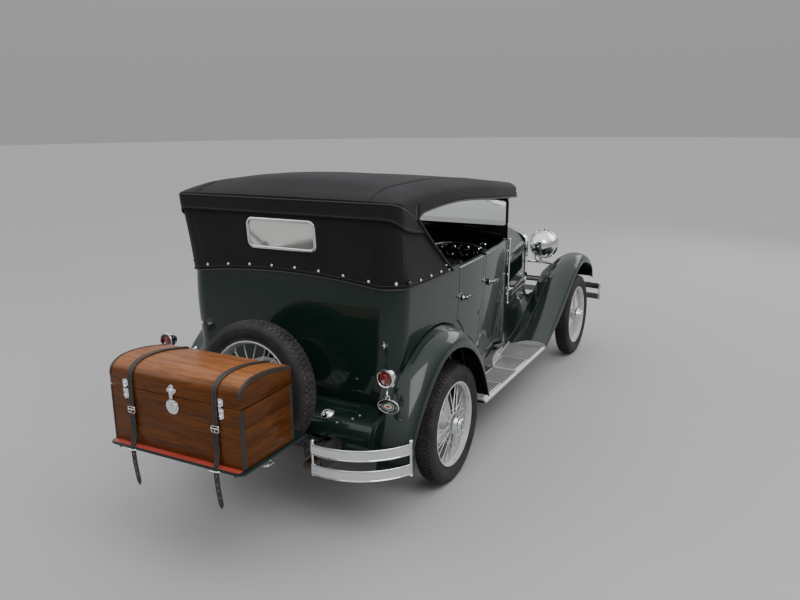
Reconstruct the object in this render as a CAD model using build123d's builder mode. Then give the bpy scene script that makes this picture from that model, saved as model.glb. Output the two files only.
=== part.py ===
from build123d import *
import math
import os

# Open touring car of about 1930: four doors, folding canvas top, wire wheels,
# rear spare wheel, rear luggage rack with a wooden trunk.
# Millimetres. Z up, the floor at Z = 0, the car faces -Y, its left side is +X.
# Lengths along the car are measured from the rear axle and then moved by REAR_AXLE_Y.
os.makedirs("parts", exist_ok=True)

# ---------------------------------------------------------------- driving sizes
REAR_AXLE_Y = 950.0
WHEELBASE = 2769.0          # 109 in
TREAD = 1422.0              # 56 in
TYRE_R = 361.0              # 4.75-19 tyre
TYRE_W = 122.0
RIM_R = 255.0
AXLE_Z = TYRE_R
WHEEL_X = TREAD / 2
KINGPIN_X = 575.0
GAP = 5.0                   # running gap round doors, lid and bonnet
WALL = 30.0                 # body wall with its frame and trim
BELT_Z = 1290.0             # top of the rear body
DOOR_TOP_Z = 1272.0
SILL_TOP_Z = 545.0
SILL_Z = 482.0
FRONT_AXLE_A = -WHEELBASE

# lengthwise stations from the rear axle
REAR_DOOR_BACK = -180.0
REAR_DOOR_FRONT = -600.0
FRONT_DOOR_BACK = -648.0
FRONT_DOOR_FRONT = -1195.0
SCREEN_A = -1280.0
FIREWALL_A = -1600.0
RADIATOR_A = -2660.0
REAR_PANEL_A = 600.0

ARCH_A, ARCH_Z, ARCH_R = 135.0, 440.0, 560.0     # rear wheel arch in the body side


def ya(v):
    """Place along the car of a length measured from the rear axle."""
    return REAR_AXLE_Y + v


# body levels: z, half width, rear panel from the axle, corner radius
BODY_LEVELS = [
    (SILL_Z, 640.0, 585.0, 100.0),
    (800.0, 672.0, 600.0, 120.0),
    (1080.0, 698.0, 602.0, 130.0),
    (BELT_Z, 702.0, 590.0, 130.0),
]
SIDE_STRAIGHT_A = -250.0     # the body side runs straight from the rear to here
SCREEN_NARROWING = 100.0     # and comes in by this much at the windscreen
side_run = SIDE_STRAIGHT_A - SCREEN_A
side_arc_r = (side_run ** 2 + SCREEN_NARROWING ** 2) / (2 * SCREEN_NARROWING)


def side_half_width(half, a):
    """Half width of the body at a station for a level's half width."""
    if a >= SIDE_STRAIGHT_A:
        return half
    d = SIDE_STRAIGHT_A - a
    return half - (side_arc_r - math.sqrt(side_arc_r ** 2 - d ** 2))


# ---------------------------------------------------------------- body tub master
with BuildPart() as tub:
    for z, half, rear, corner in BODY_LEVELS:
        with BuildSketch(Plane.XY.offset(z)):
            with BuildLine():
                Line((0, ya(rear)), (half - corner, ya(rear)))
                RadiusArc((half - corner, ya(rear)), (half, ya(rear - corner)), corner)
                Line((half, ya(rear - corner)), (half, ya(SIDE_STRAIGHT_A)))
                ThreePointArc((half, ya(SIDE_STRAIGHT_A)),
                              (side_half_width(half, (SIDE_STRAIGHT_A + SCREEN_A) / 2), ya((SIDE_STRAIGHT_A + SCREEN_A) / 2)),
                              (half - SCREEN_NARROWING, ya(SCREEN_A)))
                Line((half - SCREEN_NARROWING, ya(SCREEN_A)), (0, ya(SCREEN_A)))
                mirror(about=Plane.YZ)
            make_face()
    loft()
    for z, half, rear, corner in BODY_LEVELS:
        half, rear, corner = half - WALL, rear - WALL, corner - WALL
        with BuildSketch(Plane.XY.offset(z)):
            with BuildLine():
                Line((0, ya(rear)), (half - corner, ya(rear)))
                RadiusArc((half - corner, ya(rear)), (half, ya(rear - corner)), corner)
                Line((half, ya(rear - corner)), (half, ya(SIDE_STRAIGHT_A)))
                ThreePointArc((half, ya(SIDE_STRAIGHT_A)),
                              (side_half_width(half, (SIDE_STRAIGHT_A + SCREEN_A) / 2), ya((SIDE_STRAIGHT_A + SCREEN_A) / 2)),
                              (half - SCREEN_NARROWING, ya(SCREEN_A)))
                Line((half - SCREEN_NARROWING, ya(SCREEN_A)), (half - SCREEN_NARROWING, ya(SCREEN_A - 20)))
                Line((half - SCREEN_NARROWING, ya(SCREEN_A - 20)), (0, ya(SCREEN_A - 20)))
                mirror(about=Plane.YZ)
            make_face()
    loft(mode=Mode.SUBTRACT)

SIDE_X0, SIDE_X1 = 450.0, 760.0
side_plane = Plane(origin=(0, 0, 0), x_dir=(0, 1, 0), z_dir=(1, 0, 0))   # local x = Y, local y = Z


def arch_a(z, r):
    """Front crossing of the wheel arch circle of radius r at height z."""
    return ARCH_A - math.sqrt(r ** 2 - (z - ARCH_Z) ** 2)


def arch_z(a, r):
    """Height of the wheel arch circle of radius r at a station."""
    return ARCH_Z + math.sqrt(r ** 2 - (a - ARCH_A) ** 2)


DOOR_ARCH_R = ARCH_R + 45.0
QUARTER_ARCH_R = DOOR_ARCH_R - GAP - 3.0
REAR_PANEL_Z = 652.0
BELT_BOW = 40.0              # rise of the rear panel's top at the middle

# ---------------------------------------------------------------- rear body
back_of_door = REAR_DOOR_BACK + GAP / 2
with BuildPart() as rear_body:
    add(tub.part)
    # side view of what is kept, both sides at once
    with BuildSketch(side_plane.offset(-800)):
        with BuildLine():
            Polyline((ya(arch_a(SILL_Z, QUARTER_ARCH_R)), SILL_Z),
                     (ya(arch_a(SILL_Z, ARCH_R - 30)), SILL_Z), (ya(arch_a(SILL_Z, ARCH_R - 30)), REAR_PANEL_Z),
                     (ya(700), REAR_PANEL_Z), (ya(700), BELT_Z + 10), (ya(back_of_door), BELT_Z + 10),
                     (ya(back_of_door), arch_z(back_of_door, QUARTER_ARCH_R)))
            ThreePointArc((ya(back_of_door), arch_z(back_of_door, QUARTER_ARCH_R)),
                          (ya(arch_a(700, QUARTER_ARCH_R)), 700),
                          (ya(arch_a(SILL_Z, QUARTER_ARCH_R)), SILL_Z))
        make_face()
    extrude(amount=1600, mode=Mode.INTERSECT)
    # wheel houses: an arched roof between the body side and an inner wall
    for side in (1, -1):
        with BuildSketch(Plane(origin=(side * 598.0, 0, 0), x_dir=(0, 1, 0), z_dir=(1, 0, 0))):
            with Locations((ya(ARCH_A), ARCH_Z)):
                Circle(ARCH_R)
        extrude(amount=side * 160.0, mode=Mode.SUBTRACT)
        with BuildSketch(Plane(origin=(side * 604.0, 0, 0), x_dir=(0, 1, 0), z_dir=(1, 0, 0))):
            with BuildLine():
                ThreePointArc((ya(arch_a(660, ARCH_R - 4)), 660), (ya(ARCH_A), ARCH_Z + ARCH_R - 4),
                              (ya(2 * ARCH_A - arch_a(660, ARCH_R - 4)), 660))
                Line((ya(2 * ARCH_A - arch_a(660, ARCH_R - 4)), 660), (ya(2 * ARCH_A - arch_a(660, ARCH_R + 6)), 660))
                ThreePointArc((ya(2 * ARCH_A - arch_a(660, ARCH_R + 6)), 660), (ya(ARCH_A), ARCH_Z + ARCH_R + 6),
                              (ya(arch_a(660, ARCH_R + 6)), 660))
                Line((ya(arch_a(660, ARCH_R + 6)), 660), (ya(arch_a(660, ARCH_R - 4)), 660))
            make_face()
        extrude(amount=side * 64.0)
        with BuildSketch(Plane(origin=(side * 604.0, 0, 0), x_dir=(0, 1, 0), z_dir=(1, 0, 0))):
            with BuildLine():
                ThreePointArc((ya(arch_a(660, ARCH_R + 6)), 660), (ya(ARCH_A), ARCH_Z + ARCH_R + 6),
                              (ya(2 * ARCH_A - arch_a(660, ARCH_R + 6)), 660))
                Line((ya(2 * ARCH_A - arch_a(660, ARCH_R + 6)), 660), (ya(arch_a(660, ARCH_R + 6)), 660))
            make_face()
        extrude(amount=-side * 6.0)
    # the rear panel's top rises in a shallow bow under the curtain
    with BuildSketch(Plane(origin=(0, ya(590), 0), x_dir=(1, 0, 0), z_dir=(0, -1, 0))):
        with BuildLine():
            ThreePointArc((-560, BELT_Z - 1), (0, BELT_Z + BELT_BOW), (560, BELT_Z - 1))
            Line((560, BELT_Z - 1), (-560, BELT_Z - 1))
        make_face()
    extrude(amount=WALL)
rear_body.part.label = "rear_body"

# ---------------------------------------------------------------- doors
DOOR_T = WALL
HANDLE_Z = 1078.0
front_door_back = FRONT_DOOR_BACK - GAP / 2
rear_door_back = REAR_DOOR_BACK - GAP / 2
rear_door_front = REAR_DOOR_FRONT + GAP / 2
front_door_front = FRONT_DOOR_FRONT + GAP / 2

with BuildPart() as door_rear_left:
    add(tub.part)
    with BuildSketch(side_plane.offset(SIDE_X0)):
        with BuildLine():
            Polyline((ya(arch_a(SILL_TOP_Z + GAP, DOOR_ARCH_R)), SILL_TOP_Z + GAP), (ya(rear_door_front), SILL_TOP_Z + GAP),
                     (ya(rear_door_front), DOOR_TOP_Z), (ya(rear_door_back), DOOR_TOP_Z),
                     (ya(rear_door_back), arch_z(rear_door_back, DOOR_ARCH_R)))
            ThreePointArc((ya(rear_door_back), arch_z(rear_door_back, DOOR_ARCH_R)),
                          (ya(arch_a(750, DOOR_ARCH_R)), 750),
                          (ya(arch_a(SILL_TOP_Z + GAP, DOOR_ARCH_R)), SILL_TOP_Z + GAP))
        make_face()
    extrude(amount=SIDE_X1 - SIDE_X0, mode=Mode.INTERSECT)
    # lever handle on its escutcheon, near the rear edge
    with BuildSketch(Plane(origin=(694, ya(-238), HANDLE_Z), x_dir=(0, 1, 0), z_dir=(1, 0, 0))):
        Ellipse(17, 22)
    extrude(amount=10)
    with BuildSketch(Plane(origin=(700, ya(-238), HANDLE_Z), x_dir=(0, 1, 0), z_dir=(1, 0, 0))):
        Circle(7)
    extrude(amount=34)
    with BuildSketch(Plane(origin=(728, ya(-282), HANDLE_Z), x_dir=(0, 1, 0), z_dir=(1, 0, 0))):
        SlotOverall(112, 15)
    extrude(amount=9)
door_rear_left.part.label = "door_rear_left"

with BuildPart() as door_front_left:
    add(tub.part)
    with BuildSketch(side_plane.offset(SIDE_X0)):
        with BuildLine():
            Polyline((ya(front_door_back), SILL_TOP_Z + GAP), (ya(front_door_front), SILL_TOP_Z + GAP),
                     (ya(front_door_front), DOOR_TOP_Z), (ya(front_door_back), DOOR_TOP_Z), close=True)
        make_face()
    extrude(amount=SIDE_X1 - SIDE_X0, mode=Mode.INTERSECT)
    with BuildSketch(Plane(origin=(678, ya(-712), HANDLE_Z), x_dir=(0, 1, 0), z_dir=(1, 0, 0))):
        Ellipse(17, 22)
    extrude(amount=14)
    with BuildSketch(Plane(origin=(680, ya(-712), HANDLE_Z), x_dir=(0, 1, 0), z_dir=(1, 0, 0))):
        Circle(7)
    extrude(amount=42)
    with BuildSketch(Plane(origin=(716, ya(-756), HANDLE_Z), x_dir=(0, 1, 0), z_dir=(1, 0, 0))):
        SlotOverall(112, 15)
    extrude(amount=9)
door_front_left.part.label = "door_front_left"

with BuildPart() as door_rear_right:
    add(mirror(door_rear_left.part, about=Plane.YZ, mode=Mode.PRIVATE))
door_rear_right.part.label = "door_rear_right"
with BuildPart() as door_front_right:
    add(mirror(door_front_left.part, about=Plane.YZ, mode=Mode.PRIVATE))
door_front_right.part.label = "door_front_right"

# ---------------------------------------------------------------- floor, sills and centre posts
FLOOR_Z = 510.0
REAR_FLOOR_Z = 640.0
with BuildPart() as body_floor:
    add(tub.part)
    # side view of sills and centre posts
    with BuildSketch(side_plane.offset(-800)):
        with BuildLine():
            Polyline((ya(SCREEN_A + 1), SILL_Z), (ya(arch_a(SILL_Z, QUARTER_ARCH_R) - 1), SILL_Z),
                     (ya(arch_a(SILL_TOP_Z, QUARTER_ARCH_R) - 1), SILL_TOP_Z),
                     (ya(REAR_DOOR_FRONT - GAP / 2), SILL_TOP_Z), (ya(REAR_DOOR_FRONT - GAP / 2), DOOR_TOP_Z),
                     (ya(FRONT_DOOR_BACK + GAP / 2), DOOR_TOP_Z), (ya(FRONT_DOOR_BACK + GAP / 2), SILL_TOP_Z),
                     (ya(SCREEN_A + 1), SILL_TOP_Z), close=True)
        make_face()
    extrude(amount=1600, mode=Mode.INTERSECT)
    # front floor, riser under the rear seat, rear floor over the axle
    with BuildSketch(side_plane.offset(-598)):
        with BuildLine():
            Polyline((ya(-1278), FLOOR_Z), (ya(-30), FLOOR_Z), (ya(-30), REAR_FLOOR_Z), (ya(540), REAR_FLOOR_Z),
                     (ya(540), REAR_FLOOR_Z + 12), (ya(-42), REAR_FLOOR_Z + 12), (ya(-42), FLOOR_Z + 14),
                     (ya(-1278), FLOOR_Z + 14), close=True)
        make_face()
    extrude(amount=1196)
    # the floor is as wide as the sills' inner faces, narrower towards the front
    with BuildSketch(Plane.XY.offset(FLOOR_Z - 5)):
        with BuildLine():
            Polyline((598, ya(-420)), (598, ya(-1300)), (520, ya(-1300)), (520, ya(-1278)), close=True)
        make_face()
        mirror(about=Plane.YZ)
    extrude(amount=30, mode=Mode.SUBTRACT)
body_floor.part.label = "body_floor"

# ---------------------------------------------------------------- cowl with dash, firewall and steering column
# cowl section: station, half width, side bottom z, shoulder z, crown z, shoulder corner
COWL_LEVELS = [
    (SCREEN_A, 602.0, SILL_Z, 1262.0, 1338.0),
    (-1440.0, 545.0, SILL_Z, 1190.0, 1284.0),
    (FIREWALL_A, 462.0, SILL_Z + 40, 1060.0, 1215.0),
]
COLUMN_X = 330.0
COLUMN_TOP = (COLUMN_X, ya(-1035.0), 1095.0)
COLUMN_DIR = (0.0, 0.8, 0.6)
COLUMN_LEN = 760.0

with BuildPart() as cowl:
    for a, half, low, shoulder, crown in COWL_LEVELS:
        with BuildSketch(Plane(origin=(0, ya(a), 0), x_dir=(1, 0, 0), z_dir=(0, -1, 0))):
            with BuildLine():
                Line((0, low), (half - 20, low))
                Line((half - 20, low), (half, shoulder))
                ThreePointArc((half, shoulder), (half * 0.77, crown - (crown - shoulder) * 0.36), (0, crown))
                mirror(about=Plane.YZ)
            make_face()
    loft(ruled=True)
    for a, half, low, shoulder, crown in COWL_LEVELS:
        with BuildSketch(Plane(origin=(0, ya(a), 0), x_dir=(1, 0, 0), z_dir=(0, -1, 0))):
            with BuildLine():
                Line((0, low), (half - 44, low))
                Line((half - 44, low), (half - 24, shoulder))
                ThreePointArc((half - 24, shoulder), (half * 0.77 - 15, crown - (crown - shoulder) * 0.36 - 14), (0, crown - 16))
                mirror(about=Plane.YZ)
            make_face()
    loft(ruled=True, mode=Mode.SUBTRACT)
    # front door posts: the strip of the body side ahead of the front doors
    add(tub.part.intersect(Box(1600, abs(SCREEN_A - FRONT_DOOR_FRONT) - GAP / 2, DOOR_TOP_Z - SILL_TOP_Z - 0.5,
                               align=(Align.CENTER, Align.MIN, Align.MIN),
                               mode=Mode.PRIVATE).moved(Location((0, ya(SCREEN_A), SILL_TOP_Z + 0.5)))))
    # firewall
    with BuildSketch(Plane(origin=(0, ya(FIREWALL_A + 8), 0), x_dir=(1, 0, 0), z_dir=(0, -1, 0))):
        with BuildLine():
            Polyline((-430, 540), (430, 540), (437, 1050), (300, 1150), (0, 1195), (-300, 1150), (-437, 1050), close=True)
        make_face()
    extrude(amount=8)
    # dash panel
    with BuildSketch(Plane(origin=(0, ya(SCREEN_A - 4), 0), x_dir=(1, 0, 0), z_dir=(0, -1, 0))):
        with BuildLine():
            Polyline((-580, 1150), (-120, 1090), (120, 1090), (580, 1150), (560, 1200), (440, 1270), (0, 1318), (-440, 1270), (-560, 1200), close=True)
        make_face()
    extrude(amount=14)
    # steering column, from the wheel's hub down through the dash edge and firewall
    with BuildSketch(Plane(origin=COLUMN_TOP, z_dir=(0, -0.8, -0.6))):
        Circle(19)
    extrude(amount=COLUMN_LEN)
cowl.part.label = "cowl"

# ---------------------------------------------------------------- bonnet halves
# bonnet section: station, half width, shoulder z, crown z
HOOD_LEVELS = [
    (FIREWALL_A - GAP, 460.0, 1058.0, 1213.0),
    (RADIATOR_A + GAP + 3, 288.0, 1010.0, 1140.0),
]
HOOD_LOW_Z = 722.0
HOOD_T = 6.0
with BuildPart() as hood_left:
    for a, half, shoulder, crown in HOOD_LEVELS:
        with BuildSketch(Plane(origin=(0, ya(a), 0), x_dir=(1, 0, 0), z_dir=(0, -1, 0))):
            with BuildLine():
                Line((3, HOOD_LOW_Z), (half, HOOD_LOW_Z))
                Line((half, HOOD_LOW_Z), (half, shoulder))
                ThreePointArc((half, shoulder), (half * 0.76, crown - (crown - shoulder) * 0.36), (3, crown))
                Line((3, crown), (3, HOOD_LOW_Z))
            make_face()
    loft(ruled=True)
    for a, half, shoulder, crown in HOOD_LEVELS:
        with BuildSketch(Plane(origin=(0, ya(a), 0), x_dir=(1, 0, 0), z_dir=(0, -1, 0))):
            with BuildLine():
                Line((3, HOOD_LOW_Z), (half - HOOD_T, HOOD_LOW_Z))
                Line((half - HOOD_T, HOOD_LOW_Z), (half - HOOD_T, shoulder))
                ThreePointArc((half - HOOD_T, shoulder), (half * 0.76 - 4, crown - (crown - shoulder) * 0.36 - 5), (3, crown - HOOD_T))
                Line((3, crown - HOOD_T), (3, HOOD_LOW_Z))
            make_face()
    loft(ruled=True, mode=Mode.SUBTRACT)
hood_left.part.label = "hood_left"
with BuildPart() as hood_right:
    add(mirror(hood_left.part, about=Plane.YZ, mode=Mode.PRIVATE))
hood_right.part.label = "hood_right"

# ---------------------------------------------------------------- radiator
with BuildPart() as radiator:
    with BuildSketch(Plane(origin=(0, ya(RADIATOR_A), 0), x_dir=(1, 0, 0), z_dir=(0, -1, 0))):
        with BuildLine():
            Polyline((0, 530), (255, 530), (292, 700), (292, 1015))
            ThreePointArc((292, 1015), (224, 1095), (0, 1146))
            mirror(about=Plane.YZ)
        make_face()
    extrude(amount=85)
    # the core lies back from the shell's front edge
    with BuildSketch(Plane(origin=(0, ya(RADIATOR_A - 85), 0), x_dir=(1, 0, 0), z_dir=(0, -1, 0))):
        with BuildLine():
            Polyline((0, 565), (232, 565), (262, 705), (262, 1000))
            ThreePointArc((262, 1000), (200, 1062), (0, 1100))
            mirror(about=Plane.YZ)
        make_face()
    extrude(amount=-25, mode=Mode.SUBTRACT)
    # filler neck and cap with a plain cross bar
    with BuildSketch(Plane.XY.offset(1130)):
        with Locations((0, ya(RADIATOR_A - 40))):
            Circle(26)
    extrude(amount=42)
    with BuildSketch(Plane.XY.offset(1172)):
        with Locations((0, ya(RADIATOR_A - 40))):
            SlotOverall(110, 30)
    extrude(amount=22)
    with BuildSketch(Plane.XY.offset(1190)):
        with Locations((0, ya(RADIATOR_A - 40))):
            Circle(18)
    extrude(amount=30, taper=12)
radiator.part.label = "radiator"

# ---------------------------------------------------------------- chassis frame
RAIL_LOW, RAIL_TOP = 425.0, 503.0
# cross members: station, width along the car, half length across
CROSS_MEMBERS = [
    (FRONT_AXLE_A, 90.0, 300.0),
    (-2280.0, 60.0, 305.0),
    (-1380.0, 60.0, 342.0),
    (-480.0, 60.0, 345.0),
    (180.0, 90.0, 345.0),
    (765.0, 40.0, 345.0),
]
CRANK_BORE_R, CRANK_BORE_LEN = 14.0, 30.0
with BuildPart() as chassis_frame:
    with BuildSketch(Plane.XY.offset(RAIL_LOW)):
        with BuildLine():
            Polyline((290, ya(-3330)), (322, ya(-3330)), (330, ya(-2300)), (385, ya(-1300)), (385, ya(840)),
                     (345, ya(840)), (345, ya(-1300)), (290, ya(-2300)), close=True)
        make_face()
        mirror(about=Plane.YZ)
    extrude(amount=RAIL_TOP - RAIL_LOW)
    for a, wide, half in CROSS_MEMBERS:
        with BuildSketch(Plane.XY.offset(RAIL_LOW)):
            with Locations((0, ya(a))):
                Rectangle(2 * half, wide)
        extrude(amount=RAIL_TOP - RAIL_LOW - 8)
    # running board arms under the boards
    for a in (-620.0, -1560.0):
        with BuildSketch(Plane.XY.offset(326)):
            with Locations((560, ya(a)), (-560, ya(a))):
                Rectangle(400, 40)
        extrude(amount=18)
        with BuildSketch(Plane.XY.offset(326)):
            with Locations((366, ya(a)), (-366, ya(a))):
                Rectangle(14, 40)
        extrude(amount=RAIL_LOW - 326 + 4)
    # bracket with the bearing bore for the starting crank, on the front cross member
    with BuildSketch(Plane(origin=(0, ya(FRONT_AXLE_A - 35), 0), x_dir=(1, 0, 0), z_dir=(0, -1, 0))):
        with Locations((0, 464)):
            Circle(30)
    extrude(amount=10 + CRANK_BORE_LEN)
    with BuildSketch(Plane(origin=(0, ya(FRONT_AXLE_A - 45), 0), x_dir=(1, 0, 0), z_dir=(0, -1, 0))):
        with Locations((0, 464)):
            Circle(CRANK_BORE_R)
    extrude(amount=CRANK_BORE_LEN, mode=Mode.SUBTRACT)
chassis_frame.part.label = "chassis_frame"

# ---------------------------------------------------------------- engine with gearbox, one plain block
with BuildPart() as engine_block:
    with BuildSketch(Plane.XY.offset(RAIL_TOP + 7)):
        with Locations((0, ya(-2190))):
            Rectangle(290, 720)
    extrude(amount=440)
    with BuildSketch(Plane.XY.offset(384)):
        with Locations((0, ya(-1720))):
            Rectangle(200, 216)
    extrude(amount=RAIL_TOP + 7 - 384 + 90)
engine_block.part.label = "engine_block"

# ---------------------------------------------------------------- exhaust
with BuildPart() as exhaust:
    with BuildLine() as exhaust_line:
        FilletPolyline((-235, ya(-1990), 440), (-235, ya(-1880), 392), (-235, ya(-330), 392), (-235, ya(-150), 288),
                       (-235, ya(300), 288), (-235, ya(420), 330), (-235, ya(800), 330), radius=60)
    with BuildSketch(Plane(origin=exhaust_line.line @ 0, z_dir=exhaust_line.line % 0)):
        Circle(20)
    sweep(path=exhaust_line.line)
    with BuildSketch(Plane(origin=(-235, ya(-1200), 392), z_dir=(0, 1, 0))):
        Circle(52)
    extrude(amount=500)
exhaust.part.label = "exhaust"

# ---------------------------------------------------------------- front axle with its cross spring and radius rods
BOSS_R, KINGPIN_R = 20.0, 11.0
with BuildPart() as front_axle:
    with BuildSketch(Plane(origin=(0, ya(FRONT_AXLE_A) + 26, 0), x_dir=(1, 0, 0), z_dir=(0, -1, 0))):
        with BuildLine():
            Polyline((0, 300), (500, 300), (535, 330), (572, 334), (572, 386), (530, 386), (490, 352), (0, 352))
            mirror(about=Plane.YZ)
        make_face()
    extrude(amount=52)
    for side in (1, -1):
        with BuildSketch(Plane.XY.offset(333)):
            with Locations((side * KINGPIN_X, ya(FRONT_AXLE_A))):
                Circle(BOSS_R)
        extrude(amount=54)
        # perches that carry the spring's eyes
        with BuildSketch(Plane.XY.offset(345)):
            with Locations((side * 425, ya(FRONT_AXLE_A))):
                Rectangle(34, 52)
        extrude(amount=36)
    # spring pack, a shallow arch under the cross member
    with BuildSketch(Plane(origin=(0, ya(FRONT_AXLE_A) + 28, 0), x_dir=(1, 0, 0), z_dir=(0, -1, 0))):
        with BuildLine():
            ThreePointArc((-445, 392), (0, 424.5), (445, 392))
            Line((445, 392), (445, 368))
            ThreePointArc((445, 368), (0, 382), (-445, 368))
            Line((-445, 368), (-445, 392))
        make_face()
    extrude(amount=56)
    for side in (1, -1):
        with BuildSketch(Plane(origin=(side * 455, ya(FRONT_AXLE_A), 322), z_dir=(-side * 425, 1000, 20))):
            Circle(13)
        extrude(amount=math.sqrt(425 ** 2 + 1000 ** 2 + 20 ** 2))
    # the ball where the two rods meet
    with BuildSketch(Plane(origin=(0, ya(FRONT_AXLE_A + 990), 342), z_dir=(0, 1, 0))):
        Circle(32)
    extrude(amount=70)
    # king pin holes
    for side in (1, -1):
        with BuildSketch(Plane.XY.offset(330)):
            with Locations((side * KINGPIN_X, ya(FRONT_AXLE_A))):
                Circle(KINGPIN_R)
        extrude(amount=60, mode=Mode.SUBTRACT)
front_axle.part.label = "front_axle"

# ---------------------------------------------------------------- steering knuckles
ARM_LEN = 165.0
ARM_X = KINGPIN_X
SPINDLE_R = 17.5
BACKPLATE_X = 607.0
with BuildPart() as knuckle_left:
    # king pin and the fork's two discs above and below the axle's boss
    with BuildSketch(Plane.XY.offset(268)):
        with Locations((KINGPIN_X, ya(FRONT_AXLE_A))):
            Circle(10.6)
    extrude(amount=157)
    for z0, z1 in ((268.0, 327.0), (393.0, 425.0)):
        with BuildSketch(Plane.XY.offset(z0)):
            with Locations((KINGPIN_X, ya(FRONT_AXLE_A))):
                Circle(27)
            with Locations((KINGPIN_X + 18, ya(FRONT_AXLE_A))):
                Rectangle(34, 50)
        extrude(amount=z1 - z0)
    with BuildSketch(Plane.XY.offset(268)):
        with Locations((KINGPIN_X + 31, ya(FRONT_AXLE_A))):
            Rectangle(10, 54)
    extrude(amount=157)
    # brake back plate and wheel spindle
    with BuildSketch(Plane(origin=(BACKPLATE_X, ya(FRONT_AXLE_A), AXLE_Z), z_dir=(1, 0, 0))):
        Circle(146)
    extrude(amount=5)
    with BuildSketch(Plane(origin=(BACKPLATE_X, ya(FRONT_AXLE_A), AXLE_Z), z_dir=(1, 0, 0))):
        Circle(SPINDLE_R)
    extrude(amount=WHEEL_X + 18 - BACKPLATE_X)
    # steering arm and its ball pin
    with BuildSketch(Plane.XY.offset(268)):
        with BuildLine():
            Polyline((KINGPIN_X - 22, ya(FRONT_AXLE_A)), (KINGPIN_X + 12, ya(FRONT_AXLE_A)),
                     (ARM_X + 12, ya(FRONT_AXLE_A) + ARM_LEN), (ARM_X - 12, ya(FRONT_AXLE_A) + ARM_LEN), close=True)
        make_face()
        with Locations((ARM_X, ya(FRONT_AXLE_A) + ARM_LEN)):
            Circle(14)
    extrude(amount=18)
    with BuildSketch(Plane.XY.offset(243)):
        with Locations((ARM_X, ya(FRONT_AXLE_A) + ARM_LEN)):
            Circle(6.5)
    extrude(amount=26)
knuckle_left.part.label = "knuckle_left"
with BuildPart() as knuckle_right:
    add(mirror(knuckle_left.part, about=Plane.YZ, mode=Mode.PRIVATE))
knuckle_right.part.label = "knuckle_right"

# ---------------------------------------------------------------- tie rod between the two steering arms
with BuildPart() as tie_rod:
    with BuildSketch(Plane(origin=(-ARM_X + 10, ya(FRONT_AXLE_A) + ARM_LEN, 252), z_dir=(1, 0, 0))):
        Circle(9.5)
    extrude(amount=2 * ARM_X - 20)
    with BuildSketch(Plane.XY.offset(242)):
        with Locations((ARM_X, ya(FRONT_AXLE_A) + ARM_LEN), (-ARM_X, ya(FRONT_AXLE_A) + ARM_LEN)):
            Circle(17)
    extrude(amount=20)
    with BuildSketch(Plane.XY.offset(240)):
        with Locations((ARM_X, ya(FRONT_AXLE_A) + ARM_LEN)):
            Circle(7)
    extrude(amount=26, mode=Mode.SUBTRACT)
    with BuildSketch(Plane.XY.offset(240)):
        with Locations((-ARM_X, ya(FRONT_AXLE_A) + ARM_LEN)):
            Circle(8.5)
    extrude(amount=26, mode=Mode.SUBTRACT)
tie_rod.part.label = "tie_rod"

# ---------------------------------------------------------------- rear axle with torque tube, spring and jacking pads
JACK_PAD_X, JACK_PAD_SIZE, JACK_PAD_Z = 400.0, 70.0, 306.0
with BuildPart() as rear_axle:
    with BuildSketch(Plane(origin=(-BACKPLATE_X - 2, ya(0), AXLE_Z), z_dir=(1, 0, 0))):
        Circle(38)
    extrude(amount=2 * BACKPLATE_X + 4)
    with BuildSketch(Plane(origin=(0, ya(0), AXLE_Z - 10), x_dir=(1, 0, 0), z_dir=(0, 0, 1))):
        Circle(118)
    extrude(amount=60, both=True)
    with BuildSketch(Plane(origin=(0, ya(-1612), 372), z_dir=(0, 1, 0))):
        Circle(34)
    extrude(amount=1580)
    for side in (1, -1):
        with BuildSketch(Plane(origin=(side * BACKPLATE_X, ya(0), AXLE_Z), z_dir=(side, 0, 0))):
            Circle(146)
        extrude(amount=5)
        with BuildSketch(Plane(origin=(side * BACKPLATE_X, ya(0), AXLE_Z), z_dir=(side, 0, 0))):
            Circle(SPINDLE_R)
        extrude(amount=WHEEL_X + 18 - BACKPLATE_X)
        # spring lugs behind the axle
        with BuildSketch(Plane.XY.offset(340)):
            with Locations((side * 500, ya(105))):
                Rectangle(28, 190)
        extrude(amount=36)
        with BuildSketch(Plane(origin=(side * 540, ya(0), 350), z_dir=(-side * 510, -700, 8))):
            Circle(12)
        extrude(amount=math.sqrt(510 ** 2 + 700 ** 2 + 20 ** 2))
        with BuildSketch(Plane.XY.offset(JACK_PAD_Z)):
            with Locations((side * JACK_PAD_X, ya(0))):
                Rectangle(JACK_PAD_SIZE, JACK_PAD_SIZE)
        extrude(amount=30)
    with BuildSketch(Plane(origin=(0, ya(180) + 29, 0), x_dir=(1, 0, 0), z_dir=(0, -1, 0))):
        with BuildLine():
            ThreePointArc((-515, 372), (0, 424.5), (515, 372))
            Line((515, 372), (515, 350))
            ThreePointArc((515, 350), (0, 380), (-515, 350))
            Line((-515, 350), (-515, 372))
        make_face()
    extrude(amount=58)
rear_axle.part.label = "rear_axle"

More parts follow.
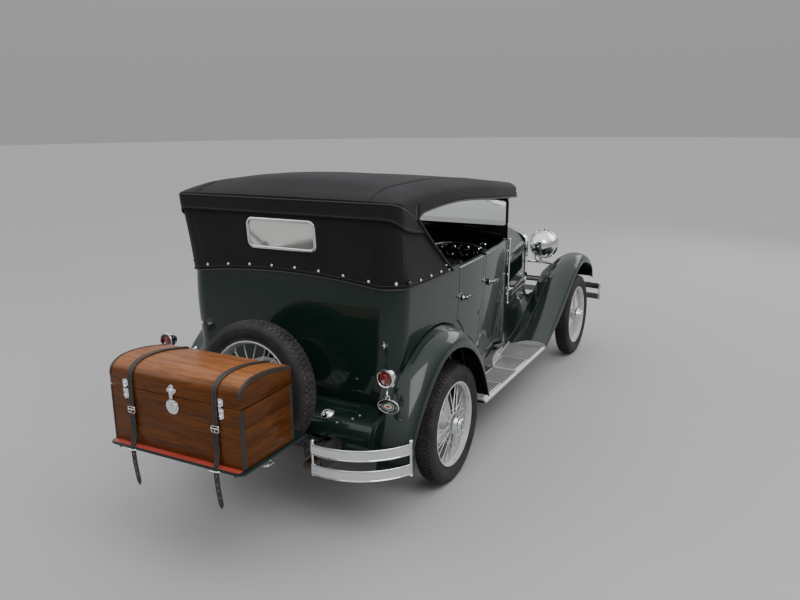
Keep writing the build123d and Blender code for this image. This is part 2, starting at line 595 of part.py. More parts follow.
# ---------------------------------------------------------------- wheel and tyre masters, axis along X, outside is +X
HUB_BORE_R = SPINDLE_R + 0.5
SPOKE_PAIRS = 12
with BuildPart() as wheel_master:
    with BuildSketch(Plane.XY):
        with BuildLine():
            Polyline((-49, RIM_R), (-49, 244), (-30, 238), (30, 238), (49, 244), (49, RIM_R), (45, RIM_R), (45, 250),
                     (-45, 250), (-45, RIM_R), close=True)
        make_face()
    revolve(axis=Axis.X)
    # hub with its stepped cap, and the brake drum
    with BuildSketch(Plane.XY):
        with BuildLine():
            Polyline((-94, HUB_BORE_R), (-94, 52), (-52, 60), (-40, 60), (-32, 48), (26, 48), (34, 62), (62, 62), (66, 54),
                     (76, 54), (80, 46), (90, 44), (97, 34), (97, 0), (24, 0), (24, HUB_BORE_R), close=True)
        make_face()
    revolve(axis=Axis.X)
    with BuildSketch(Plane.XY):
        with BuildLine():
            Polyline((-94, 140), (-94, 149), (-48, 149), (-40, 140), (-40, 50), (-46, 50), (-46, 138), (-54, 140), close=True)
        make_face()
    revolve(axis=Axis.X)
    for i in range(2 * SPOKE_PAIRS):
        outer = i % 2 == 0
        turn = math.radians(360.0 / (2 * SPOKE_PAIRS) * i)
        x0 = 28.0 if outer else -36.0
        cy, cz = math.cos(turn), math.sin(turn)
        dx = (2.0 if outer else -2.0) - x0
        with BuildSketch(Plane(origin=(x0, 44 * cy, 44 * cz), z_dir=(dx, 197 * cy, 197 * cz))):
            Circle(3.2)
        extrude(amount=math.sqrt(dx ** 2 + 197 ** 2))

with BuildPart() as tyre_master:
    with BuildSketch(Plane.XY):
        with BuildLine():
            Line((-46, RIM_R + 1), (46, RIM_R + 1))
            ThreePointArc((46, RIM_R + 1), (TYRE_W / 2, 306), (50, 347))
            ThreePointArc((50, 347), (0, TYRE_R), (-50, 347))
            ThreePointArc((-50, 347), (-TYRE_W / 2, 306), (-46, RIM_R + 1))
        make_face()
    revolve(axis=Axis.X)

left_turn = (0, 0, 0)
right_turn = (0, 0, 180)
with BuildPart() as wheel_front_left:
    with Locations(Location((WHEEL_X, ya(FRONT_AXLE_A), AXLE_Z), left_turn)):
        add(wheel_master.part)
with BuildPart() as wheel_front_right:
    with Locations(Location((-WHEEL_X, ya(FRONT_AXLE_A), AXLE_Z), right_turn)):
        add(wheel_master.part)
with BuildPart() as wheel_rear_left:
    with Locations(Location((WHEEL_X, ya(0), AXLE_Z), left_turn)):
        add(wheel_master.part)
with BuildPart() as wheel_rear_right:
    with Locations(Location((-WHEEL_X, ya(0), AXLE_Z), right_turn)):
        add(wheel_master.part)
with BuildPart() as tyre_front_left:
    with Locations(Location((WHEEL_X, ya(FRONT_AXLE_A), AXLE_Z), left_turn)):
        add(tyre_master.part)
with BuildPart() as tyre_front_right:
    with Locations(Location((-WHEEL_X, ya(FRONT_AXLE_A), AXLE_Z), right_turn)):
        add(tyre_master.part)
with BuildPart() as tyre_rear_left:
    with Locations(Location((WHEEL_X, ya(0), AXLE_Z), left_turn)):
        add(tyre_master.part)
with BuildPart() as tyre_rear_right:
    with Locations(Location((-WHEEL_X, ya(0), AXLE_Z), right_turn)):
        add(tyre_master.part)

# spare wheel, upright behind the body with its top leaning forward
SPARE_A, SPARE_Z, SPARE_TILT = 893.0, 768.0, 7.3
spare_place = Location((0, ya(SPARE_A), SPARE_Z), (SPARE_TILT, 0, 90))
with BuildPart() as spare_wheel:
    with Locations(Location((0, ya(SPARE_A), SPARE_Z), (SPARE_TILT, 0, 0)) * Location((0, 0, 0), (0, 0, 90))):
        add(wheel_master.part)
# the spare's carrier: a post from the rear panel, and a stub that fills the hub's bore
with BuildPart() as spare_carrier:
    with BuildSketch(Plane(origin=(0, ya(608), 756), x_dir=(1, 0, 0), z_dir=(0, 1, 0))):
        Circle(38)
    extrude(amount=178)
    with Locations(Location((0, ya(SPARE_A), SPARE_Z), (SPARE_TILT, 0, 0)) * Location((0, 0, 0), (0, 0, 90))):
        with Locations((-113.2, 0, 0)):
            Cylinder(54, 38, rotation=(0, 90, 0))
        with Locations((-54.2, 0, 0)):
            Cylinder(SPINDLE_R, 80, rotation=(0, 90, 0))
spare_carrier.part.label = "spare_carrier"
with BuildPart() as spare_tyre:
    with Locations(Location((0, ya(SPARE_A), SPARE_Z), (SPARE_TILT, 0, 0)) * Location((0, 0, 0), (0, 0, 90))):
        add(tyre_master.part)

# ---------------------------------------------------------------- fenders
# Lip line in side view and how far the sheet's section is stretched there:
# station, z, share of the section's rise, share of its inner flange
FRONT_LIP = [
    (-3135.0, 640.0, 0.55, 0.35),
    (-3110.0, 722.0, 0.80, 0.60),
    (-2985.0, 800.0, 1.00, 1.00),
    (-2720.0, 847.0, 1.00, 1.00),
    (-2430.0, 725.0, 1.00, 1.00),
    (-2170.0, 568.0, 1.00, 1.00),
    (-1900.0, 436.0, 0.85, 0.75),
    (-1700.0, 366.0, 0.50, 0.40),
]
# section across the front fender: x, rise from the lip (inner flange rises are scaled apart)
FRONT_SECTION = [(800.0, 0.0), (792.0, 36.0), (765.0, 64.0), (705.0, 76.0), (640.0, 64.0), (575.0, 26.0)]
FRONT_FLANGE = [(505.0, -34.0), (452.0, -84.0)]
# station, z, rise of the inner edge over the lip
REAR_LIP = [
    (722.0, 380.0, 52.0),
    (683.0, 470.0, 66.0),
    (597.0, 602.0, 86.0),
    (476.0, 728.0, 104.0),
    (343.0, 826.0, 112.0),
    (220.0, 872.0, 112.0),
    (50.0, 866.0, 116.0),
    (-149.0, 776.0, 111.0),
    (-303.0, 601.0, 84.0),
    (-404.0, 406.0, 22.0),
]
# section across the rear fender: x, share of the rise
REAR_SECTION = [(820.0, 0.0), (812.0, 0.36), (785.0, 0.64), (748.0, 0.83), (706.0, 0.95), (668.0, 1.0)]
FENDER_T = 5.0


def lip_normals(points):
    """Unit normals, away from the wheel, of a lip line that runs from its first point."""
    out = []
    for i in range(len(points)):
        a0, z0 = points[max(i - 1, 0)][:2]
        a1, z1 = points[min(i + 1, len(points) - 1)][:2]
        d = math.hypot(a1 - a0, z1 - z0)
        ta, tz = (a1 - a0) / d, (z1 - z0) / d
        out.append((-tz, ta))
    return out


with BuildPart() as front_fenders:
    normals = lip_normals(FRONT_LIP)
    for (a, z, rise, flange), (na, nz) in zip(FRONT_LIP, normals):
        outer = [(x, r * rise) for x, r in FRONT_SECTION] + [(x, r * flange) for x, r in FRONT_FLANGE]
        inner = [(x + (3.0 if x < 700 else -FENDER_T if x > 780 else 0.0), r - FENDER_T) for x, r in reversed(outer)]
        with BuildSketch(Plane(origin=(0, ya(a), z), x_dir=(1, 0, 0), z_dir=(0, -nz, na))):
            with BuildLine():
                Polyline(*[(x, r) for x, r in outer + inner], close=True)
            make_face()
    loft(ruled=True)
    mirror(about=Plane.YZ)
front_fenders.part.label = "front_fenders"

with BuildPart() as rear_fenders:
    for a, z, rise in REAR_LIP:
        d = math.hypot(a - ARCH_A, z - ARCH_Z)
        na, nz = (a - ARCH_A) / d, (z - ARCH_Z) / d
        outer = [(x, r * rise) for x, r in REAR_SECTION]
        inner = [(x - (FENDER_T if x > 780 else 0.0), r - FENDER_T) for x, r in reversed(outer)]
        with BuildSketch(Plane(origin=(0, ya(a), z), x_dir=(1, 0, 0), z_dir=(0, -nz, na))):
            with BuildLine():
                Polyline(*[(x, r) for x, r in outer + inner], close=True)
            make_face()
    loft(ruled=True)
    mirror(about=Plane.YZ)
rear_fenders.part.label = "rear_fenders"

# ---------------------------------------------------------------- running boards with their splash aprons
BOARD_TOP, BOARD_LOW = 362.0, 345.0
BOARD_OUT, BOARD_IN = 793.0, 500.0
BOARD_BACK, BOARD_FRONT = -412.0, -1690.0
with BuildPart() as running_boards:
    with BuildSketch(Plane(origin=(0, ya(BOARD_FRONT), 0), x_dir=(1, 0, 0), z_dir=(0, -1, 0))):
        with BuildLine():
            Polyline((BOARD_OUT, BOARD_LOW), (BOARD_OUT, BOARD_TOP), (BOARD_IN + 12, BOARD_TOP), (604, SILL_Z - 3),
                     (598, SILL_Z - 3), (BOARD_IN, BOARD_TOP), (BOARD_IN, BOARD_LOW), close=True)
        make_face()
    extrude(amount=-(BOARD_BACK - BOARD_FRONT))
    # step plates
    for a0, a1 in ((-520.0, -900.0), (-1010.0, -1330.0)):
        with BuildSketch(Plane.XY.offset(BOARD_TOP)):
            with Locations((650, ya((a0 + a1) / 2))):
                Rectangle(190, abs(a1 - a0))
        extrude(amount=4)
    # the tail is cut to clear the front fender's foot
    with BuildSketch(Plane.XY.offset(BOARD_TOP + 1)):
        with Locations((650, ya(BOARD_FRONT))):
            Rectangle(600, 100)
    extrude(amount=200, mode=Mode.SUBTRACT)
    mirror(about=Plane.YZ)
running_boards.part.label = "running_boards"

# ---------------------------------------------------------------- rear apron with the tank's filler
with BuildPart() as rear_apron:
    with BuildSketch(side_plane.offset(-640)):
        with BuildLine():
            Polyline((ya(604), 650), (ya(740), 628))
            ThreePointArc((ya(740), 628), (ya(800), 590), (ya(822), 530))
            Polyline((ya(822), 530), (ya(822), 455), (ya(817), 455), (ya(817), 530))
            ThreePointArc((ya(817), 530), (ya(796), 586), (ya(738), 623))
            Polyline((ya(738), 623), (ya(604), 645), (ya(604), 650))
        make_face()
    extrude(amount=1280)
    # notches round the frame ends, the rack's irons and the bumper arms
    with BuildSketch(Plane(origin=(0, ya(810), 0), x_dir=(1, 0, 0), z_dir=(0, 1, 0))):
        with Locations((389, -492), (-389, -492)):
            Rectangle(102, 88)
    extrude(amount=20, mode=Mode.SUBTRACT)
    # filler neck and cap on the car's right
    with BuildSketch(Plane(origin=(-353, ya(735), 605), z_dir=(0, 0.45, 0.89))):
        Circle(30)
    extrude(amount=28)
    with BuildSketch(Plane(origin=(-353, ya(747), 628), z_dir=(0, 0.45, 0.89))):
        Circle(36)
    extrude(amount=20, taper=20)
rear_apron.part.label = "rear_apron"

with BuildPart() as fuel_tank:
    with BuildSketch(Plane(origin=(-330, ya(650), 525), z_dir=(1, 0, 0))):
        with Locations((0, 0)):
            RectangleRounded(150, 150, 40)
    extrude(amount=660)
fuel_tank.part.label = "fuel_tank"

# ---------------------------------------------------------------- bumpers
with BuildPart() as front_bumper_bars:
    # two full width bars, bowed
    for z0 in (486.0, 385.0):
        with BuildSketch(Plane.XY.offset(z0)):
            with BuildLine():
                ThreePointArc((-838, ya(-3330)), (0, ya(-3425)), (838, ya(-3330)))
                Line((838, ya(-3330)), (838, ya(-3320)))
                ThreePointArc((838, ya(-3320)), (0, ya(-3415)), (-838, ya(-3320)))
                Line((-838, ya(-3320)), (-838, ya(-3330)))
            make_face()
        extrude(amount=55)
front_bumper_bars.part.label = "front_bumper_bars"

with BuildPart() as bumpers:
    # front: arms from the frame horns, each ending on the back of the bars
    with BuildSketch(Plane.XY.offset(390)):
        with Locations((306, ya(-3369.5)), (-306, ya(-3369.5))):
            Rectangle(14, 77)
    extrude(amount=130)
    add(front_bumper_bars.part, mode=Mode.SUBTRACT)
    with BuildSketch(Plane.XY.offset(390)):
        with BuildLine():
            ThreePointArc((-838, ya(-3320)), (0, ya(-3415)), (838, ya(-3320)))
            Polyline((838, ya(-3320)), (838, ya(-3460)), (-838, ya(-3460)), (-838, ya(-3320)))
        make_face()
    extrude(amount=130, mode=Mode.SUBTRACT)
    # rear: a pair of short double bars each side
    for z0 in (490.0, 380.0):
        with BuildSketch(Plane.XY.offset(z0)):
            with BuildLine():
                ThreePointArc((375, ya(950)), (655, ya(914)), (838, ya(722)))
                Line((838, ya(722)), (831, ya(716)))
                ThreePointArc((831, ya(716)), (650, ya(905)), (375, ya(941)))
                Line((375, ya(941)), (375, ya(950)))
            make_face()
            mirror(about=Plane.YZ)
        extrude(amount=60)
    with BuildSketch(Plane.XY.offset(400)):
        with Locations((430, ya(885)), (-430, ya(885))):
            Rectangle(14, 116)
    extrude(amount=130)
    with BuildSketch(Plane.XY.offset(430)):
        with Locations((412, ya(834)), (-412, ya(834))):
            Rectangle(48, 16)
    extrude(amount=60)
bumpers.part.label = "bumpers"

# ---------------------------------------------------------------- luggage rack
with BuildPart() as luggage_rack:
    with BuildSketch(Plane.XY.offset(628)):
        with Locations((0, ya(1254))):
            RectangleRounded(812, 496, 24)
    extrude(amount=14)
    # side irons from the frame rails up under the plate
    with BuildSketch(side_plane.offset(346)):
        with BuildLine():
            Polyline((ya(770), RAIL_TOP + 1), (ya(838), RAIL_TOP + 1), (ya(1010), 610), (ya(1500), 610), (ya(1500), 628),
                     (ya(1000), 628), (ya(830), 530), (ya(770), 530), close=True)
        make_face()
    extrude(amount=14)
    mirror(about=Plane.YZ)
    # strap loops at the rear edge
    with BuildSketch(Plane.XY.offset(622)):
        with Locations((254, ya(1508)), (-254, ya(1508))):
            RectangleRounded(52, 34, 8)
            RectangleRounded(40, 20, 5, mode=Mode.SUBTRACT)
    extrude(amount=8)
luggage_rack.part.label = "luggage_rack"

# ---------------------------------------------------------------- trunk
TRUNK_X = 392.0
TRUNK_FRONT, TRUNK_BACK = 1104.0, 1483.0
TRUNK_LOW, TRUNK_SEAM, TRUNK_LID_TOP = 643.0, 922.0, 1048.0
TRUNK_T = 12.0
with BuildPart() as trunk_box:
    with BuildSketch(Plane.XY.offset(TRUNK_LOW)):
        with Locations((0, ya((TRUNK_FRONT + TRUNK_BACK) / 2))):
            Rectangle(2 * TRUNK_X, TRUNK_BACK - TRUNK_FRONT)
    extrude(amount=TRUNK_SEAM - TRUNK_LOW)
    with BuildSketch(Plane.XY.offset(TRUNK_LOW + TRUNK_T)):
        with Locations((0, ya((TRUNK_FRONT + TRUNK_BACK) / 2))):
            Rectangle(2 * (TRUNK_X - TRUNK_T), TRUNK_BACK - TRUNK_FRONT - 2 * TRUNK_T)
    extrude(amount=TRUNK_SEAM - TRUNK_LOW, mode=Mode.SUBTRACT)
trunk_box.part.label = "trunk_box"

with BuildPart() as trunk_lid:
    # side view of the lid: a large round at the back, a gentle fall to the front
    with BuildSketch(side_plane.offset(-TRUNK_X)):
        with BuildLine():
            Polyline((ya(TRUNK_FRONT), TRUNK_SEAM + GAP), (ya(TRUNK_BACK), TRUNK_SEAM + GAP), (ya(TRUNK_BACK), 975))
            ThreePointArc((ya(TRUNK_BACK), 975), (ya(TRUNK_BACK - 22), 1022), (ya(TRUNK_BACK - 80), 1046))
            ThreePointArc((ya(TRUNK_BACK - 80), 1046), (ya(1260), 1044), (ya(TRUNK_FRONT), 1014))
            Line((ya(TRUNK_FRONT), 1014), (ya(TRUNK_FRONT), TRUNK_SEAM + GAP))
        make_face()
    extrude(amount=2 * TRUNK_X)
    with BuildSketch(side_plane.offset(-TRUNK_X + TRUNK_T)):
        with BuildLine():
            Polyline((ya(TRUNK_FRONT + TRUNK_T), TRUNK_SEAM - 10), (ya(TRUNK_BACK - TRUNK_T), TRUNK_SEAM - 10),
                     (ya(TRUNK_BACK - TRUNK_T), 975), (ya(TRUNK_BACK - 40), 1016), (ya(1330), 1032), (ya(TRUNK_FRONT + TRUNK_T), 1000), close=True)
        make_face()
    extrude(amount=2 * (TRUNK_X - TRUNK_T), mode=Mode.SUBTRACT)
    # the straps' upper runs, over the lid and down to the buckles
    for x in (254.0, -254.0):
        with BuildSketch(side_plane.offset(x - 17)):
            with BuildLine():
                Polyline((ya(TRUNK_FRONT), 1014), (ya(1260), 1044), (ya(TRUNK_BACK - 80), 1046), (ya(TRUNK_BACK - 22), 1024),
                         (ya(TRUNK_BACK), 975), (ya(TRUNK_BACK), 930), (ya(TRUNK_BACK + 6), 926), (ya(TRUNK_BACK + 6), 790),
                         (ya(TRUNK_BACK + 12), 790), (ya(TRUNK_BACK + 11), 932), (ya(TRUNK_BACK + 5), 978), (ya(TRUNK_BACK - 18), 1030),
                         (ya(TRUNK_BACK - 80), 1052), (ya(1260), 1050), (ya(TRUNK_FRONT), 1020), close=True)
            make_face()
        extrude(amount=34)
trunk_lid.part.label = "trunk_lid"

with BuildPart() as trunk_straps:
    # the straps' lower runs, from the buckle down over the rack's edge, tails hanging free
    for x in (254.0, -254.0):
        with BuildSketch(side_plane.offset(x - 17)):
            with BuildLine():
                Polyline((ya(TRUNK_BACK + 6), 785), (ya(TRUNK_BACK + 12), 785), (ya(TRUNK_BACK + 12), 706),
                         (ya(TRUNK_BACK + 30), 650), (ya(TRUNK_BACK + 30), 430), (ya(TRUNK_BACK + 24), 430),
                         (ya(TRUNK_BACK + 24), 648), (ya(TRUNK_BACK + 6), 704), close=True)
            make_face()
        extrude(amount=34)
trunk_straps.part.label = "trunk_straps"

# ---------------------------------------------------------------- lamps
with BuildPart() as headlamps:
    for side in (1, -1):
        with BuildSketch(Plane(origin=(side * 390, ya(-2830), 965), x_dir=(1, 0, 0), z_dir=(0, 0, 1))):
            with BuildLine():
                Polyline((0, -95), (118, -95), (135, -88), (135, -66), (128, -58))
                ThreePointArc((128, -58), (96, 40), (0, 104))
                Line((0, 104), (0, -95))
            make_face()
        revolve(axis=Axis((side * 390, ya(-2830), 965), (0, 1, 0)))
        with BuildSketch(Plane.XY.offset(800)):
            with Locations((side * 390, ya(-2812))):
                Circle(13)
        extrude(amount=60)
    # tie bar between the fenders, in front of the radiator
    with BuildSketch(Plane(origin=(-492, ya(-2812), 812), z_dir=(1, 0, 0))):
        Circle(13)
    extrude(amount=984)
headlamps.part.label = "headlamps"

with BuildPart() as tail_lamps:
    for side in (1, -1):
        with BuildSketch(Plane(origin=(side * 722, ya(790), 898), z_dir=(0, -1, 0))):
            Circle(48)
        extrude(amount=24)
        with BuildSketch(Plane(origin=(side * 722, ya(766), 898), z_dir=(0, -1, 0))):
            Circle(44)
        extrude(amount=46, taper=14)
        with BuildLine() as lamp_arm:
            FilletPolyline((side * 662, ya(618), 808), (side * 690, ya(700), 820), (side * 722, ya(748), 836), (side * 722, ya(748), 862), radius=12)
        with BuildSketch(Plane(origin=lamp_arm.line @ 0, z_dir=lamp_arm.line % 0)):
            Circle(9)
        sweep(path=lamp_arm.line)
    # plain oval badge hung under the right lamp
    with BuildSketch(Plane(origin=(-742, ya(796), 759), x_dir=(1, 0, 0), z_dir=(0, -1, 0))):
        Ellipse(60, 38)
    extrude(amount=7)
    with BuildSketch(Plane.XY.offset(790)):
        with Locations((-734, ya(785))):
            Rectangle(14, 10)
    extrude(amount=66)
tail_lamps.part.label = "tail_lamps"

# ---------------------------------------------------------------- windscreen
SCREEN_TOP = 1572.0
with BuildPart() as windshield_frame:
    with BuildSketch(Plane(origin=(0, ya(SCREEN_A + 8), 0), x_dir=(1, 0, 0), z_dir=(0, -1, 0))):
        with BuildLine():
            Polyline((0, 1336), (460, 1308), (560, 1275), (608, 1275), (608, SCREEN_TOP), (0, SCREEN_TOP))
            mirror(about=Plane.YZ)
        make_face()
        with Locations((0, (1368 + SCREEN_TOP - 20) / 2)):
            Rectangle(2 * 588, SCREEN_TOP - 20 - 1368, mode=Mode.SUBTRACT)
    extrude(amount=18)
    # clear the domed top of the cowl and the front door posts
    with BuildSketch(Plane(origin=(0, ya(SCREEN_A + 30), 0), x_dir=(1, 0, 0), z_dir=(0, -1, 0))):
        with BuildLine():
            Polyline((0, 400), (610, 400), (610, 1274.5), (588, 1274.5))
            ThreePointArc((588, 1274.5), (465, 1314), (0, 1341.5))
            mirror(about=Plane.YZ)
        make_face()
    extrude(amount=60, mode=Mode.SUBTRACT)
windshield_frame.part.label = "windshield_frame"

with BuildPart() as windshield_glass:
    with BuildSketch(Plane(origin=(0, ya(SCREEN_A + 1), 0), x_dir=(1, 0, 0), z_dir=(0, -1, 0))):
        with Locations((0, (1368 + SCREEN_TOP - 20) / 2)):
            Rectangle(2 * 587.5, SCREEN_TOP - 20 - 1368 - 1)
    extrude(amount=5)
windshield_glass.part.label = "windshield_glass"

# ---------------------------------------------------------------- seats
with BuildPart() as front_seat:
    with BuildSketch(side_plane.offset(-530)):
        with BuildLine():
            Polyline((ya(-1060), 526), (ya(-640), 526), (ya(-600), 1215), (ya(-690), 1225), (ya(-730), 800), (ya(-1090), 815),
                     (ya(-1100), 690), (ya(-1060), 680), close=True)
        make_face()
    extrude(amount=1060)
front_seat.part.label = "front_seat"
with BuildPart() as rear_seat:
    with BuildSketch(side_plane.offset(-592)):
        with BuildLine():
            Polyline((ya(-38), REAR_FLOOR_Z + 14), (ya(530), REAR_FLOOR_Z + 14), (ya(555), 1235), (ya(470), 1245), (ya(400), 850),
                     (ya(-70), 870), (ya(-80), 780), (ya(-38), 770), close=True)
        make_face()
    extrude(amount=1184)
rear_seat.part.label = "rear_seat"

# ---------------------------------------------------------------- steering wheel
with BuildPart() as steering_wheel:
    hub = Plane(origin=COLUMN_TOP, x_dir=(1, 0, 0), z_dir=COLUMN_DIR)
    with BuildSketch(hub.offset(3)):
        Circle(30)
    extrude(amount=38)
    with BuildSketch(Plane(origin=hub.offset(22).origin, x_dir=(1, 0, 0), z_dir=(0, -0.6, 0.8))):
        with Locations((210, 0)):
            Circle(11)
    revolve(axis=Axis(hub.origin, COLUMN_DIR))
    with BuildSketch(hub.offset(14)):
        with PolarLocations(0, 4, start_angle=45):
            with Locations((118, 0)):
                Rectangle(186, 20)
    extrude(amount=8)
steering_wheel.part.label = "steering_wheel"

# ---------------------------------------------------------------- folding top
# roof sections: station, half width, hem z, edge z, crown z
ROOF_LEVELS = [
    (628.0, 716.0, 1632.0, 1716.0, 1752.0),
    (440.0, 715.0, 1650.0, 1738.0, 1822.0),
    (350.0, 714.0, 1655.0, 1744.0, 1842.0),
    (0.0, 706.0, 1660.0, 1752.0, 1830.0),
    (-400.0, 684.0, 1650.0, 1735.0, 1796.0),
    (-785.0, 662.0, 1630.0, 1706.0, 1748.0),
    (-1497.0, 600.0, 1556.0, 1628.0, 1664.0),
]
ROOF_T = 8.0
with BuildPart() as top_canvas:
    for a, half, hem, edge, crown in ROOF_LEVELS:
        with BuildSketch(Plane(origin=(0, ya(a), 0), x_dir=(1, 0, 0), z_dir=(0, -1, 0))):
            with BuildLine():
                Line((0, hem), (half, hem))
                Line((half, hem), (half - 4, edge - 22))
                ThreePointArc((half - 4, edge - 22), (half - 22, edge + 8), (half - 62, edge + 30))
                ThreePointArc((half - 62, edge + 30), (half * 0.5, crown - (crown - edge - 30) * 0.22), (0, crown))
                mirror(about=Plane.YZ)
            make_face()
    loft(ruled=True)
    # curtain and quarters below the roof: leaning from the roof edge to the body's belt
    for z, half, rear, corner in ((BELT_Z + 2, 704.0, 594.0, 126.0), (1640.0, 712.0, 628.0, 60.0)):
        with BuildSketch(Plane.XY.offset(z)):
            with BuildLine():
                Line((0, ya(rear)), (half - corner, ya(rear)))
                RadiusArc((half - corner, ya(rear)), (half, ya(rear - corner)), corner)
                Line((half, ya(rear - corner)), (half, ya(-60)))
                Line((half, ya(-60)), (0, ya(-60)))
                mirror(about=Plane.YZ)
            make_face()
    loft(ruled=True)
    # inside of the curtain and quarters
    for z, half, rear, corner in ((BELT_Z + 2, 704.0, 594.0, 126.0), (1640.0, 712.0, 628.0, 60.0)):
        half, rear, corner = half - ROOF_T, rear - ROOF_T, corner - ROOF_T
        with BuildSketch(Plane.XY.offset(z)):
            with BuildLine():
                Line((0, ya(rear)), (half - corner, ya(rear)))
                RadiusArc((half - corner, ya(rear)), (half, ya(rear - corner)), corner)
                Line((half, ya(rear - corner)), (half, ya(-80)))
                Line((half, ya(-80)), (0, ya(-80)))
                mirror(about=Plane.YZ)
            make_face()
    loft(ruled=True, mode=Mode.SUBTRACT)
    # inside of the roof
    for i, (a, half, hem, edge, crown) in enumerate(ROOF_LEVELS):
        a = a - ROOF_T if i == 0 else a + ROOF_T if i == len(ROOF_LEVELS) - 1 else a
        with BuildSketch(Plane(origin=(0, ya(a), 0), x_dir=(1, 0, 0), z_dir=(0, -1, 0))):
            with BuildLine():
                Line((0, hem - 1), (half - ROOF_T, hem - 1))
                Line((half - ROOF_T, hem - 1), (half - 4 - ROOF_T, edge - 24))
                ThreePointArc((half - 4 - ROOF_T, edge - 24), (half - 28, edge + 1), (half - 64, edge + 21))
                ThreePointArc((half - 64, edge + 21), (half * 0.5, crown - (crown - edge - 30) * 0.22 - ROOF_T - 1), (0, crown - ROOF_T))
                mirror(about=Plane.YZ)
            make_face()
    loft(ruled=True, mode=Mode.SUBTRACT)
    # slanted front edge of the quarters
    with BuildSketch(side_plane.offset(-800)):
        with BuildLine():
            Polyline((ya(-200), 1200), (ya(5), BELT_Z + 2), (ya(330), 1520), (ya(420), 1605), (ya(420), 1631), (ya(-200), 1631), close=True)
        make_face()
    extrude(amount=1600, mode=Mode.SUBTRACT)
    # the curtain's foot follows the bow of the rear panel's top
    with BuildSketch(Plane(origin=(0, ya(606), 0), x_dir=(1, 0, 0), z_dir=(0, -1, 0))):
        with BuildLine():
            ThreePointArc((-562, BELT_Z), (0, BELT_Z + BELT_BOW + 2), (562, BELT_Z))
            Polyline((562, BELT_Z), (562, BELT_Z - 12), (-562, BELT_Z - 12), (-562, BELT_Z))
        make_face()
    extrude(amount=56, mode=Mode.SUBTRACT)
    # rear window opening
    with BuildSketch(Plane(origin=(0, ya(700), 0), x_dir=(1, 0, 0), z_dir=(0, -1, 0))):
        with Locations((0, 1541)):
            RectangleRounded(420, 142, 22)
    extrude(amount=160, mode=Mode.SUBTRACT)
top_canvas.part.label = "top_canvas"

# bows of the top: station at the roof, half width there, z there
BOW_LEVELS = [(440.0, 640.0, 1712.0), (-60.0, 640.0, 1716.0), (-620.0, 615.0, 1688.0)]
BOW_PIVOT = (636.0, -70.0, 1330.0)
BOW_R = 10.0
with BuildPart() as top_bows:
    for a, half, z in BOW_LEVELS:
        with BuildLine() as bow:
            FilletPolyline((BOW_PIVOT[0], ya(BOW_PIVOT[1]), BOW_PIVOT[2]), (half, ya(a), z), (-half, ya(a), z),
                           (-BOW_PIVOT[0], ya(BOW_PIVOT[1]), BOW_PIVOT[2]), radius=70)
        with BuildSketch(Plane(origin=bow.line @ 0, z_dir=bow.line % 0)):
            Circle(BOW_R)
        sweep(path=bow.line)
    for side in (1, -1):
        with BuildSketch(Plane(origin=(side * 622, ya(BOW_PIVOT[1]), BOW_PIVOT[2]), z_dir=(side, 0, 0))):
            Circle(26)
        extrude(amount=26)
        # stay from the pivot down to the body's inside
        with BuildSketch(Plane.XY.offset(1200)):
            with Locations((side * 634, ya(BOW_PIVOT[1]))):
                Rectangle(12, 36)
        extrude(amount=130)
        # side rail from the front bow to the header
        rail_vec = (side * (575 - 600), -1455 + 600, 1590 - 1660)
        with BuildSketch(Plane(origin=(side * 604, ya(-600), 1668), z_dir=rail_vec)):
            Circle(BOW_R)
        extrude(amount=math.sqrt(rail_vec[0] ** 2 + rail_vec[1] ** 2 + rail_vec[2] ** 2))
    # header over the windscreen
    with BuildSketch(Plane(origin=(-578, ya(-1452), 1606), z_dir=(1, 0, 0))):
        Rectangle(24, 46)
    extrude(amount=1156)
top_bows.part.label = "top_bows"

# ---------------------------------------------------------------- write every piece
pieces = {
    "chassis_frame": chassis_frame, "front_axle": front_axle, "rear_axle": rear_axle, "engine_block": engine_block,
    "exhaust": exhaust, "fuel_tank": fuel_tank, "radiator": radiator, "cowl": cowl, "rear_body": rear_body,
    "body_floor": body_floor, "front_seat": front_seat, "rear_seat": rear_seat, "windshield_frame": windshield_frame,
    "windshield_glass": windshield_glass, "top_canvas": top_canvas, "top_bows": top_bows,
    "front_fenders": front_fenders, "rear_fenders": rear_fenders, "running_boards": running_boards,
    "rear_apron": rear_apron, "headlamps": headlamps, "tail_lamps": tail_lamps, "bumpers": bumpers, "front_bumper_bars": front_bumper_bars,
    "spare_wheel": spare_wheel, "spare_carrier": spare_carrier, "spare_tyre": spare_tyre, "luggage_rack": luggage_rack, "trunk_box": trunk_box,
    "trunk_straps": trunk_straps, "trunk_lid": trunk_lid,
    "door_front_left": door_front_left, "door_front_right": door_front_right,
    "door_rear_left": door_rear_left, "door_rear_right": door_rear_right,
    "hood_left": hood_left, "hood_right": hood_right, "steering_wheel": steering_wheel,
    "knuckle_left": knuckle_left, "knuckle_right": knuckle_right, "tie_rod": tie_rod,
    "wheel_front_left": wheel_front_left, "wheel_front_right": wheel_front_right,
    "wheel_rear_left": wheel_rear_left, "wheel_rear_right": wheel_rear_right,
    "tyre_front_left": tyre_front_left, "tyre_front_right": tyre_front_right,
    "tyre_rear_left": tyre_rear_left, "tyre_rear_right": tyre_rear_right,
}
for name, piece in pieces.items():
    piece.part.label = name
    export_step(piece.part, f"parts/{name}.step")
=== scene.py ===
import math
import bpy, bmesh
import numpy as np
from mathutils import Vector, Matrix


